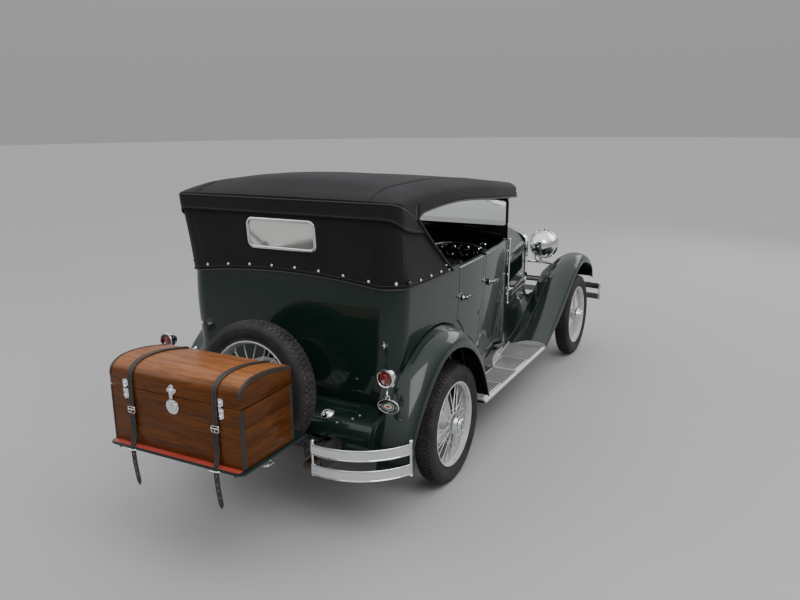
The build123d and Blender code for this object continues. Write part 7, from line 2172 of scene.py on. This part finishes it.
s = Shape()
s.add(g_box(pt(-588, -36, 656), pt(588, 480, 776), .010, 3), "seat_leather")
s.add(g_box(pt(-588, -66, 768), pt(588, 400, 789), .010, 3), "seat_leather")
back = [(450, 700), (500, 1228), (520, 1240), (545, 1236), (552, 1220), (528, 700)]
gp = g_plate([(ya(a), z / 1000) for a, z in back], 1.176, .008, 3)
s.add(outward((np.stack([-.588 + gp[0][:, 2], gp[0][:, 0], gp[0][:, 1]], -1), gp[1]), pt(0, 500, 960)), "seat_leather")
for name in ("rear_cushion", "rear_squab"):
    w, d, t, place = info[name]
    for h in (.010, t * .46 + .002):
        ring = rounded_rect(w + .002, d + .002, .018, 4)
        path = np.array([(place @ np.array([u, v, h, 1.0]))[:3] for u, v in ring])
        s.add(g_tube(path, .0040, 6, closed=True), "seat_leather")
s.done("rear_seat_base", slot="black_leather", replaces=("rear_seat",), angle=40)

# ------------------------------------------------------------------ dash, controls and carpets
s = Shape()
DY = ya(-1283.6)
# oval instrument panel, bright edged, black enamel face
ov = [( .215 * math.cos(t) * (1 + .08 * math.cos(2 * t)), 1.168 + .056 * math.sin(t)) for t in np.linspace(0, 2 * math.pi, 65)[:-1]]


def dash_plate(poly, y, t, mat, bev=.001):
    gp = g_plate(poly, t, bev)
    v = np.stack([-gp[0][:, 0], y + gp[0][:, 2], gp[0][:, 1]], -1)
    s.add((v, gp[1]), mat)


CX = -.215
ovp = [(-(CX) + x, z) for x, z in ov]
dash_plate(ovp, DY, .0045, "nickel", .0018)
dash_plate([(-(CX) + x * .94, 1.168 + (z - 1.168) * .88) for x, z in ov], DY + .003, .0028, "enamel_black", .0006)
for dx, r in ((-.150, .026), (-.055, .041), (.055, .041), (.150, .026)):
    c = np.array([CX + dx, DY + .0055, 1.168])
    s.add(g_turned(c, (0, 1, 0), [(r + .004, -.001), (r + .004, .003), (r + .001, .0055), (r - .001, .0050), (r - .001, .001)], 40), "chrome")
    s.add(g_turned(c, (0, 1, 0), [(r, 0.0012), (0, .0012)], 40), "enamel_black")
    s.add(g_turned(c, (0, 1, 0), [(.0035, .0012), (.0030, .0034), (0, .0038)], 12), "ink")
    for k in range(9):
        a = math.radians(-130 + 260 * k / 8)
        q0 = c + np.array([(r - .004) * math.sin(a), .0016, (r - .004) * math.cos(a)])
        q1 = c + np.array([(r - .009) * math.sin(a), .0016, (r - .009) * math.cos(a)])
        s.add(g_rod(q0, q1, .0008, 4), "enamel_cream")
    a = math.radians(-60 + 400 * dx)
    s.add(g_rod(c + np.array([0, .0024, 0]), c + np.array([(r - .008) * math.sin(a), .0024, (r - .008) * math.cos(a)]), .0009, 5), "enamel_cream")
# switch, knobs, ignition, clock ring at the right
for x, z, r in ((-.02, 1.145, .010), (.02, 1.145, .010), (.06, 1.145, .010), (-.417, 1.140, .009), (-.417, 1.165, .009)):
    c = np.array([x, DY, z])
    s.add(g_turned(c, (0, 1, 0), [(r * 1.3, 0), (r * 1.3, .002), (r * .5, .003), (r * .5, .012), (r, .014), (r, .020), (r * .6, .024), (0, .025)], 20), "bakelite")
c = np.array([-.417, DY, 1.207])
s.add(g_turned(c, (0, 1, 0), [(.026, 0), (.026, .003), (.022, .006), (.020, .004), (.020, .001)], 32), "chrome")
s.add(g_turned(c, (0, 1, 0), [(.0205, .0016), (0, .0016)], 32), "enamel_black")
s.add(g_box(np.array([-.300, DY, 1.230]), np.array([-.288, DY + .006, 1.290]), .002), "chrome")
# glove box lid outline
s.add(g_sweep(np.array([[-.365 + u, DY + .0015, 1.255 + v] for u, v in rounded_rect(.30, .075, .012, 4)]), rounded_rect(.003, .003, .001, 2), closed=True, up=(0, 1, 0)), "nickel")
# padded roll under the screen
roll = np.array([pt(x, -1276 + 0, 1332 - 1.05e-4 * x * x) for x in np.linspace(-560, 560, 33)])
s.add(g_tube(roll, .0095, 10), "seat_leather")
# column, gear lever, hand brake, pedals
top_c, dirc = pt(330, -1035, 1095), unit((0, .8, .6))
s.add(g_rod(top_c - dirc * .640, top_c - dirc * .004, .0195, 20), "paint_black")
s.add(g_turned(top_c - dirc * .30, dirc, [(.0195, 0), (.028, .002), (.028, .030), (.0195, .034)], 24), "nickel")
for sx in (1, -1):
    lv = smooth_line([top_c - dirc * .030, top_c - dirc * .030 + np.array([sx * .06, 0, .0]), top_c - dirc * .024 + np.array([sx * .115, 0, .004])], 5)
    s.add(g_tube(lv, .0030, 8), "nickel")
    s.add(g_ball(lv[-1], .0075, 12, 8), "bakelite")
gl = smooth_line([pt(0, -1180, 522), pt(0, -1172, 640), pt(4, -1140, 770), pt(12, -1105, 850)], 6)
s.add(g_tube(gl, .0080, 10), "nickel")
s.add(g_ball(gl[-1], .021, 18, 12), "bakelite")
s.add(g_turned(pt(0, -1180, 522), (0, 0, 1), [(.055, 0), (.050, .010), (.036, .022), (.026, .040), (.016, .052), (.009, .055)], 24), "rubber")
hb_ = smooth_line([pt(-70, -1200, 522), pt(-70, -1180, 640), pt(-70, -1150, 760)], 6)
s.add(g_sweep(hb_, rounded_rect(.009, .022, .003, 2), up=(1, 0, 0)), "nickel")
s.add(g_rod(hb_[-1], hb_[-1] + np.array([0, .018, .090]), .0115, 12), "bakelite")
for x in (255, 405):
    p_ = smooth_line([pt(x, -1420, 560), pt(x, -1400, 620), pt(x, -1375, 665)], 4)
    s.add(g_sweep(p_, rounded_rect(.010, .018, .003, 2), up=(1, 0, 0)), "nickel")
    gp = g_plate(rounded_rect(.064, .052, .014, 5), .010, .003)
    s.add(moved(gp, frame_of(p_[-1], (0, .80, .60), (1, 0, 0))), "rubber")
s.add(g_box(pt(450, -1420, 560), pt(482, -1385, 640), .006), "rubber")
s.done("controls", slot="black_paint", angle=40)

s = Shape()
s.add(g_box(pt(-572, -1276, 524.5), pt(572, -1062, 530), .002), "carpet")
s.add(g_box(pt(-572, -640, 524.5), pt(572, -46, 530), .002), "carpet")
s.done("carpets", slot="black_leather", angle=40)

# ------------------------------------------------------------------ steering wheel
s = Shape()
hubp = top_c
m = np.eye(4)
ex = np.array([1.0, 0, 0])
m[:3, 0], m[:3, 2], m[:3, 3] = ex, dirc, hubp
m[:3, 1] = np.cross(dirc, ex)
ring = [(210 * math.cos(t), 210 * math.sin(t)) for t in np.linspace(0, 2 * math.pi, 97)[:-1]]
path = np.array([(m @ np.array([x / 1000, y / 1000, .022, 1]))[:3] for x, y in ring])
kk = 1 + .035 * np.cos(np.linspace(0, 2 * math.pi, 97)[:-1] * 48)
s.add(g_sweep(path, circle(.0108, 14), closed=True, up=dirc, scale=kk), "bakelite")
for k in range(4):
    a = math.radians(45 + 90 * k)
    d = np.array([math.cos(a), math.sin(a)])
    pts_ = [(24, 20), (60, 17), (120, 15), (180, 17), (204, 21)]
    sp = smooth_line([(m @ np.array([d[0] * r / 1000, d[1] * r / 1000, h / 1000, 1]))[:3] for r, h in pts_], 4)
    s.add(g_sweep(sp, circle(.0095, 12, .0045), up=dirc, scale=np.interp(np.linspace(0, 1, len(sp)), [0, .3, .8, 1], [1.25, 1, .8, 1.1])), "nickel")
s.add(moved(g_lathe([(0, .003), (.026, .003), (.0285, .007), (.0295, .016), (.0285, .026), (.024, .031), (.018, .033), (0, .033)], 36), m), "bakelite")
s.add(moved(g_lathe([(.0165, .032), (.0165, .036), (.013, .0395), (.006, .0408), (0, .041)], 28), m), "nickel")
s.done("steering_wheel_look", "steering_wheel", slot="black_paint", replaces=("steering_wheel",), angle=40)

# ------------------------------------------------------------------ running boards with mats, step plates, trims and splash aprons
s = Shape()
A0, A1 = -1690.0, -412.0


def board_mark(x0, x1, a0, a1, z0, z1, mat, bev=.001):
    s.add(g_box(pt(x0, a0, z0), pt(x1, a1, z1), bev), mat)


# the tray of pressed steel and the mat on it
board_mark(512, 791, A0 + 2, A1 - 2, 345.5, 359.5, "paint_black", .003)
board_mark(516, 780, A0 + 6, A1 - 6, 359.0, 362.6, "mat_rubber", .0012)
# ribs of the mat, run lengthwise
for x in np.arange(524, 776, 9.0):
    board_mark(x - 1.8, x + 1.8, A0 + 12, A1 - 12, 362.3, 363.7, "mat_rubber", .0006)
# bright edge moulding, rolled over the outer edge, with two grooves
edge_sec = [(-.0150, .0008), (-.0150, .0028), (-.0040, .0042), (.0030, .0040), (.0056, .0022), (.0064, -.0010), (.0062, -.0065), (.0054, -.0072), (.0060, -.0080), (.0056, -.0145), (.0036, -.0156), (.0030, -.0145)]
path = np.array([pt(788, a, 362.0) for a in np.linspace(A0 + 1, A1 - 1, 9)])
g = g_sweep(path, [(-x, y) for x, y in edge_sec], up=(0, 0, 1))
tst = g[0][:, 0].max()
if tst > .797:
    g = g_sweep(path, edge_sec, up=(0, 0, 1))
s.add(g, "alu")
# step plates: a raised frame round a waffle of diamonds
for a0, a1 in ((-765.0, -430.0), (-1325.0, -1055.0)):
    gp = g_plate([(x / 1000, ya(a)) for x, a in [(q[0], q[1]) for q in rounded_rect(212, a1 - a0, 8, 4, 676, (a0 + a1) / 2)]], .0045, .0016)
    s.add(shifted(gp, (0, 0, .3622)), "alu")
    nx_, ny_ = 9, int(round((a1 - a0) / 20))
    for i in range(nx_):
        for j in range(ny_):
            cx = 672 + (i - (nx_ - 1) / 2) * 19.4
            ca = (a0 + a1) / 2 + (j - (ny_ - 1) / 2) * ((a1 - a0 - 20) / ny_)
            w_, h_ = 7.0, (a1 - a0 - 20) / ny_ * .37
            g = g_box(pt(cx - w_, ca - h_, 366.4), pt(cx + w_, ca + h_, 368.2), .0008, 1)
            s.add(g, "chassis_black")
    for x in (577, 775):
        for a in (a0 + 8, a1 - 8):
            s.add(g_turned(pt(x, a, 366.4), (0, 0, 1), [(.0045, 0), (.0036, .0014), (0, .0018)], 10), "nickel")
# splash apron between the board and the body's foot, following the body's plan, with its beads
foot_lo = lambda a: float(np.interp(a, [-1690, -1600, -1425, -1200, -1080, -1000], [496, 505, 531, 575, 589, 600]))
foot_hi = lambda a: (float(np.interp(a, [-1690, -1600, -1440, -1282, -1190, -1000], [450, 461, 543, 599, 602, 604])), float(np.interp(a, [-1690, -1600, -1440, -1282], [532, 522, 484, 483])))
st8 = np.r_[np.linspace(A0 + 2, -1200, 22), np.linspace(-1160, A1 - 2, 14)]


def apron_at(a, w):
    xl, (xh, zh) = foot_lo(a), foot_hi(a)
    return np.array([xl + (xh - xl) * w + 5 * math.sin(math.pi * w) * (-1 if xh > xl else 1) * .4, a, 363.0 + (zh - 363.0) * w])


gA = np.array([[pt(*apron_at(a, w)) for w in np.linspace(0, 1, 9)] for a in st8])
s.add(outward(g_grid(gA), pt(0, -1000, 420)), "paint_green")
s.add(shifted(flipped(outward(g_grid(gA), pt(0, -1000, 420))), (-.0022, 0, 0)), "paint_black")
s.add(g_tube(np.array([pt(*apron_at(a, 1.0)) for a in st8]), .0036, 8), "paint_green")
s.add(g_tube(np.array([pt(*(apron_at(a, 0.0) + np.array([1.5, 0, 1.5]))) for a in st8]), .0032, 8), "alu")
s.add(g_tube(np.array([pt(*(apron_at(a, .18 + .5 * k)) + np.array([.9, 0, 0])) for k, a in zip(np.linspace(0, 1, 14), np.linspace(-1684, -1345, 14))]), .0026, 8), "paint_green")
# kick plate with clipped corners and its bolts
kp = [(-1030, .18), (-1062, .06), (-1300, .06), (-1322, .30), (-1268, .80), (-1122, .88), (-1040, .62)]
dense = []
for i in range(len(kp)):
    p_, q_ = np.array(kp[i]), np.array(kp[(i + 1) % len(kp)])
    dense += [p_ + (q_ - p_) * k / 6 for k in range(6)]
cen = np.array([-1175.0, .46])
rows_ = []
for f_, lift in ((0, 3.4), (.5, 3.4), (.92, 3.4), (1.0, 2.4), (1.0, .2)):
    rows_.append([pt(*(apron_at(cen[0] + (q[0] - cen[0]) * f_, cen[1] + (q[1] - cen[1]) * f_) + np.array([lift + 11.0 * max(0.0, .9 - q[1]) * min(1.0, lift / 2.4), 0, 0]))) for q in dense])
s.add(outward(g_grid(np.array(rows_), cv=True), pt(0, -1175, 420)), "alu")
for a, w in ((-1060, .2), (-1290, .2), (-1250, .68), (-1110, .74)):
    s.add(g_turned(pt(*(apron_at(a, w) + np.array([3.0 + 11.0 * (.9 - w), 0, 0]))), (1, 0, 0), [(.0052, 0), (.0042, .0018), (0, .0024)], 10), "nickel")
c8 = apron_at(-1175, .46) + np.array([7.6, 0, 0])
s.add(g_turned(pt(*c8), (1, 0, 0), [(.021, 0), (.019, .002), (.012, .003), (.010, .006), (0, .007)], 20), "nickel")
s.mirror().done("running_boards_look", slot="body_green", replaces=("running_boards",), angle=38)

# ------------------------------------------------------------------ splash shields between the frame, the hood's foot and the front fenders
s = Shape()
ff_ = front_fender()[0]
edge_in = ff_[:, -1]
st_ = []
for k in range(len(edge_in)):
    ea = (edge_in[k][1] - 0.95) * 1000
    if -2420 < ea < -1640:
        st_.append((ea, float(np.interp(ea, [-2652, -1605], [290, 462])) + 1, float(np.interp(ea, [-2652, -1605], [600, 556])), edge_in[k][0] * 1000, edge_in[k][2] * 1000))
st_.sort(key=lambda q: -q[0])
rows_ = []
for a, xi, zi, xo, zo in st_:
    row = []
    for w in np.linspace(0, 1, 9):
        row.append(pt(xi + (xo - xi) * w, a, zi + (zo - zi) * w - 12 * math.sin(math.pi * w)))
    rows_.append(row)
g = g_grid(np.array(rows_))
s.add(outward(g, pt(0, -2000, -2000)), "paint_green")
s.add(shifted(flipped(outward(g, pt(0, -2000, -2000))), (0, 0, -.002)), "paint_black")
s.add(g_tube(np.array([pt(xo, a, zo + 1.5) for a, xi, zi, xo, zo in st_]), .0036, 8), "paint_green")
# the corner piece that joins shield, splash apron and sill shelf
sill_x = lambda a: float(np.interp(a, [-2652, -1605], [290, 462])) + 1
sill_z = lambda a: float(np.interp(a, [-2652, -1605], [600, 556]))
rows_ = []
for a in np.linspace(-1598, A0 + 2, 9):
    lo_ = apron_at(a, 1.0)
    rows_.append([pt(lo_[0] + (sill_x(a) + 2.2 - lo_[0]) * w, a, lo_[2] + (sill_z(a) + 9 - lo_[2]) * w) for w in np.linspace(0, 1, 5)])
g = g_grid(np.array(rows_))
s.add(outward(g, pt(0, -1640, 540)), "paint_green")
s.add(shifted(flipped(outward(g, pt(0, -1640, 540))), (-.0020, 0, 0)), "paint_black")
a, xi, zi, xo, zo = st_[0]
row_a = [pt(*apron_at(A0 + 2, w)) for w in np.linspace(0, 1, 9)] + [pt(sill_x(A0 + 2) + 2.2, A0 + 2, sill_z(A0 + 2) + 9)]
row_b = [pt(xi + (xo - xi) * w, a, zi + (zo - zi) * w - 12 * math.sin(math.pi * w)) for w in np.linspace(1, 0, 9)] + [pt(xi + 1.8, a, zi + 8)]
rows_ = [[p_ + (q_ - p_) * k for p_, q_ in zip(row_a, row_b)] for k in np.linspace(0, 1, 4)]
g = g_grid(np.array(rows_))
s.add(outward(g, pt(0, -1700, 400)), "paint_green")
s.add(shifted(flipped(outward(g, pt(0, -1700, 400))), (-.0020, 0, -.0010)), "paint_black")
# sill shelf under the hood's foot, down to the frame
rows_ = []
for a, xi, zi, xo, zo in [(-1607, 463, 556, 0, 0)] + st_ + [(-2520, 313, 592, 0, 0), (-2650, 291, 600, 0, 0)]:
    rail_x = float(np.interp(a, [-2300, -1300], [330, 385]))
    rows_.append([pt(xi - 3, a, 722), pt(xi + 1, a, 716), pt(xi + 1, a, zi + 6), pt(xi, a, zi), pt(max(rail_x - 4, min(xi - 6, rail_x + 8)), a, 512), pt(rail_x - 3, a, 500)])
g = g_grid(np.array(rows_))
s.add(outward(g, pt(0, -2100, 600)), "paint_green")
s.add(shifted(flipped(outward(g, pt(0, -2100, 600))), (-.002, 0, 0)), "paint_black")
path = np.array([pt(xi + 1, a, 718.5) for a, xi, zi, xo, zo in [(-1607, 463, 556, 0, 0)] + st_ + [(-2520, 313, 592, 0, 0), (-2650, 291, 600, 0, 0)]])
s.add(g_tube(path, .0030, 8), "rubber")
s.mirror().done("hood_sills", slot="body_green", angle=38)

# ------------------------------------------------------------------ door post fairings: the sill's foot and the post run out to the cowl's side
s = Shape()


def tub_x(a, z):
    """Half width in mm of the body side: straight to station -250, then an arc in to the cowl."""
    d = max(0.0, -250.0 - a)
    return float(body_half(z)) - (5354.5 - math.sqrt(5354.5 ** 2 - d * d))


def cowl_x(a, z):
    return float(np.interp(z, [482, 1262], [582.0, 602.0])) - (-1280 - a) * .362


def fairing(a, z, start=-1203.0):
    k = min(max((start - a) / (-1283.0 - start) * -1.0, 0.0), 1.0)
    k = k * k * (3 - 2 * k)
    return tub_x(max(a, -1280.0), z) + .9 + (max(cowl_x(-1283.0, z) + .9 - tub_x(-1280.0, z) - .9, -3.2)) * k


# the post, from the sill to the belt
zs_ = np.linspace(547, 1258, 30)
as_ = np.linspace(-1200, -1286, 14)
g = np.array([[pt(fairing(a, z), a, z) for a in as_] for z in zs_])
s.add(outward(g_grid(g), pt(0, -1240, 900)), "paint_green")
# the sill's outer face under the door, with its rolled foot
zs_ = [481.5, 483, 490, 500, 515, 530, 541, 545.5, 547]
ax_ = np.r_[np.linspace(-905, -1190, 14), np.linspace(-1200, -1286, 14)]
inw = [2.5, .4, 0, 0, 0, 0, 0, .3, 2.6]
g = np.array([[pt(fairing(a, z) - d, a, z) for a in ax_] for z, d in zip(zs_, inw)])
s.add(outward(g_grid(g), pt(0, -1000, 515)), "paint_green")
# half round bead over the joint between post and cowl
zb = np.linspace(484, 1256, 26)
s.add(g_tube(np.array([pt(max(fairing(-1286, z), cowl_x(-1286, z)) + .2, -1286, z) for z in zb]), .0028, 10), "paint_green")
s.mirror().done("door_post_fairings", slot="body_green", angle=38)

# ------------------------------------------------------------------ bevels on the nodes that keep their CAD shape
for name, w, seg in (("cowl", .0022, 2), ("rear_body", .0022, 2), ("body_floor", .0015, 1), ("chassis_frame", .002, 1), ("front_axle", .002, 1), ("rear_axle", .002, 1),
                     ("door_front_left", .002, 2), ("door_front_right", .002, 2), ("door_rear_left", .002, 2), ("door_rear_right", .002, 2), ("hood_left", .002, 2),
                     ("hood_right", .002, 2), ("engine_block", .006, 2), ("fuel_tank", .006, 3), ("knuckle_left", .0015, 1), ("knuckle_right", .0015, 1)):
    b = nodes[name].modifiers.new("edges", "BEVEL")
    b.width, b.segments, b.limit_method, b.angle_limit = w, seg, "ANGLE", math.radians(35)
    b.harden_normals = False

# ------------------------------------------------------------------ under the car: spring leaves, tank straps, engine details
s = Shape()
for y, z_mid, z_end, half in ((ya(-2769), 403, 380, 445), (ya(180), 402, 361, 515)):
    for k in range(7):
        hw = half * (1 - .125 * k)
        n = 21
        pth = []
        for x in np.linspace(-hw, hw, n):
            zc = z_mid - (z_mid - z_end) * (x / half) ** 2
            pth.append(np.array([x / 1000, y, (zc + 18 - 6.0 * k) / 1000]))
        s.add(g_sweep(np.array(pth), rounded_rect(.0565, .0052, .0012, 2), up=(0, 0, 1)), "chassis_black")
    for x in (-.030, .030):
        for dy in (-.034, .034):
            s.add(g_rod(np.array([x, y + dy, (z_mid - 40) / 1000]), np.array([x, y + dy, (z_mid + 46) / 1000]), .0055, 10), "chassis_black")
    for sx in (-1, 1):
        c = np.array([sx * half / 1000, y, (z_end + 8) / 1000])
        s.add(g_rod(c - np.array([0, .034, 0]), c + np.array([0, .034, 0]), .0105, 14), "chassis_black")
for x in (-.25, .25):
    s.add(g_sweep(np.array([[x, ya(662), .470], [x, ya(662), .400], [x, ya(820), .400], [x, ya(820), .470]]), rounded_rect(.026, .003, .001, 2), up=(1, 0, 0)), "chassis_black")
s.done("springs", slot="black_iron", angle=38)

s = Shape()
# engine dressing: head, manifold, carburettor, fan, plugs and hose
s.add(g_box(pt(-118, -2535, 948), pt(118, -2110, 1004), .010, 3), "engine_iron")
for a in np.linspace(-2500, -2150, 4):
    s.add(g_turned(pt(0, a, 1004), (0, 0, 1), [(.012, 0), (.012, .010), (.008, .012), (.0075, .040), (.004, .044), (0, .050)], 12), "dial")
    for x in (-85, 85):
        s.add(g_turned(pt(x, a + 30, 1004), (0, 0, 1), [(.010, 0), (.010, .008), (.0065, .009), (.0065, .016), (0, .017)], 6), "nickel")
mani = smooth_line([pt(-150, -2490, 900), pt(-182, -2470, 900), pt(-188, -2330, 898), pt(-182, -2180, 896), pt(-176, -2120, 850), pt(-196, -2060, 700), pt(-224, -2000, 500), pt(-235, -1990, 440)], 6)
s.add(g_tube(mani, .026, 14), "exhaust_steel")
s.add(g_turned(pt(-168, -2300, 862), (0, 0, -1), [(.020, 0), (.020, .050), (.034, .056), (.034, .100), (.020, .108), (0, .110)], 20), "brass")
s.add(g_tube(smooth_line([pt(0, -2500, 1000), pt(0, -2560, 1040), pt(0, -2620, 1052), pt(0, -2664, 1052)], 5), .027, 16), "rubber")
fc = pt(0, -2592, 860)
s.add(g_turned(fc, (0, -1, 0), [(.050, -.030), (.050, 0), (.022, .004), (.022, .018), (0, .020)], 24), "chassis_black")
for k in range(4):
    a = math.radians(45 + 90 * k)
    d, e_ = np.array([math.cos(a), 0, math.sin(a)]), np.array([-math.sin(a), 0, math.cos(a)])
    q = [fc + d * .03 - e_ * .018 + np.array([0, -.010, 0]), fc + d * .185 - e_ * .036 + np.array([0, -.020, 0]), fc + d * .185 + e_ * .036 + np.array([0, .004, 0]), fc + d * .03 + e_ * .018 + np.array([0, .002, 0])]
    s.add((np.array([q[0], q[1], q[2], q[3]] + [v + np.array([0, .0022, 0]) for v in q]), [(0, 1, 2, 3), (7, 6, 5, 4), (0, 4, 5, 1), (1, 5, 6, 2), (2, 6, 7, 3), (3, 7, 4, 0)]), "chassis_black")
s.done("engine_dressing", slot="engine_iron", angle=38)

# ------------------------------------------------------------------ stage, light and camera
def make_stage():
    n, far = 48, 60.0
    ang = np.linspace(0, 2 * math.pi, n, endpoint=False)
    v = [(0.0, 0.0, 0.0)] + [(far * math.cos(a), far * math.sin(a), 0.0) for a in ang]
    f = [(0, 1 + i, 1 + (i + 1) % n) for i in range(n)]
    me = bpy.data.meshes.new("floor")
    me.from_pydata(v, [], f)
    me.materials.append(MATS["stage"])
    ob = bpy.data.objects.new("floor", me)
    bpy.context.scene.collection.objects.link(ob)
    ob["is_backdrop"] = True

    world = bpy.data.worlds.new("studio")
    bpy.context.scene.world = world
    world.use_nodes = True
    nt = world.node_tree
    nt.nodes.clear()
    out = nt.nodes.new("ShaderNodeOutputWorld")
    bg = nt.nodes.new("ShaderNodeBackground")
    tc = nt.nodes.new("ShaderNodeTexCoord")
    sep = nt.nodes.new("ShaderNodeSeparateXYZ")
    ramp = nt.nodes.new("ShaderNodeValToRGB")
    nt.links.new(tc.outputs["Generated"], sep.inputs[0])
    nt.links.new(sep.outputs[2], ramp.inputs[0])
    nt.links.new(ramp.outputs[0], bg.inputs[0])
    nt.links.new(bg.outputs[0], out.inputs[0])
    e = ramp.color_ramp.elements
    stops = [(0.0, 0.34), (0.12, 0.36), (0.24, 0.46), (0.42, 0.80), (0.66, 1.30), (1.0, 1.60)]
    while len(e) < len(stops):
        e.new(0.5)
    for i, (p, g) in enumerate(stops):
        e[i].position = p
        e[i].color = (g, g, g * 1.02, 1.0)
    bg.inputs[1].default_value = 1.0

    def area(name, loc, target, size, size_y, power):
        li = bpy.data.lights.new(name, "AREA")
        li.shape = "RECTANGLE"
        li.size, li.size_y, li.energy = size, size_y, power
        ob = bpy.data.objects.new(name, li)
        bpy.context.scene.collection.objects.link(ob)
        ob.location = loc
        ob.rotation_mode = "QUATERNION"
        ob.rotation_quaternion = (Vector(target) - Vector(loc)).to_track_quat("-Z", "Y")
        return ob

    area("key", (-4.5, 3.5, 6.5), (0, 0.2, 0.6), 5.0, 4.0, 260)
    area("fill", (5.5, 5.0, 4.5), (0, 0.5, 0.6), 4.0, 4.0, 60)
    area("front", (-3.0, -7.5, 4.0), (0, -1.0, 0.6), 5.0, 3.0, 120)


def make_camera():
    yaw, pitch, roll = math.radians(27.7788), math.radians(-14.0878), math.radians(-0.5629)
    d = np.array([math.sin(yaw) * math.cos(pitch), -math.cos(yaw) * math.cos(pitch), math.sin(pitch)])
    r = unit(np.cross(d, (0, 0, 1)))
    u = np.cross(r, d)
    r2 = r * math.cos(roll) + u * math.sin(roll)
    u2 = -r * math.sin(roll) + u * math.cos(roll)
    cam = bpy.data.cameras.new("camera")
    cam.sensor_width = 36.0
    cam.lens = 33.75
    cam.clip_start, cam.clip_end = 0.05, 200
    ob = bpy.data.objects.new("camera", cam)
    bpy.context.scene.collection.objects.link(ob)
    m = Matrix(((r2[0], u2[0], -d[0], -2.41485), (r2[1], u2[1], -d[1], 4.78276), (r2[2], u2[2], -d[2], 2.17155), (0, 0, 0, 1)))
    ob.matrix_world = m
    bpy.context.scene.camera = ob


make_stage()
make_camera()

lo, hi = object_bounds()
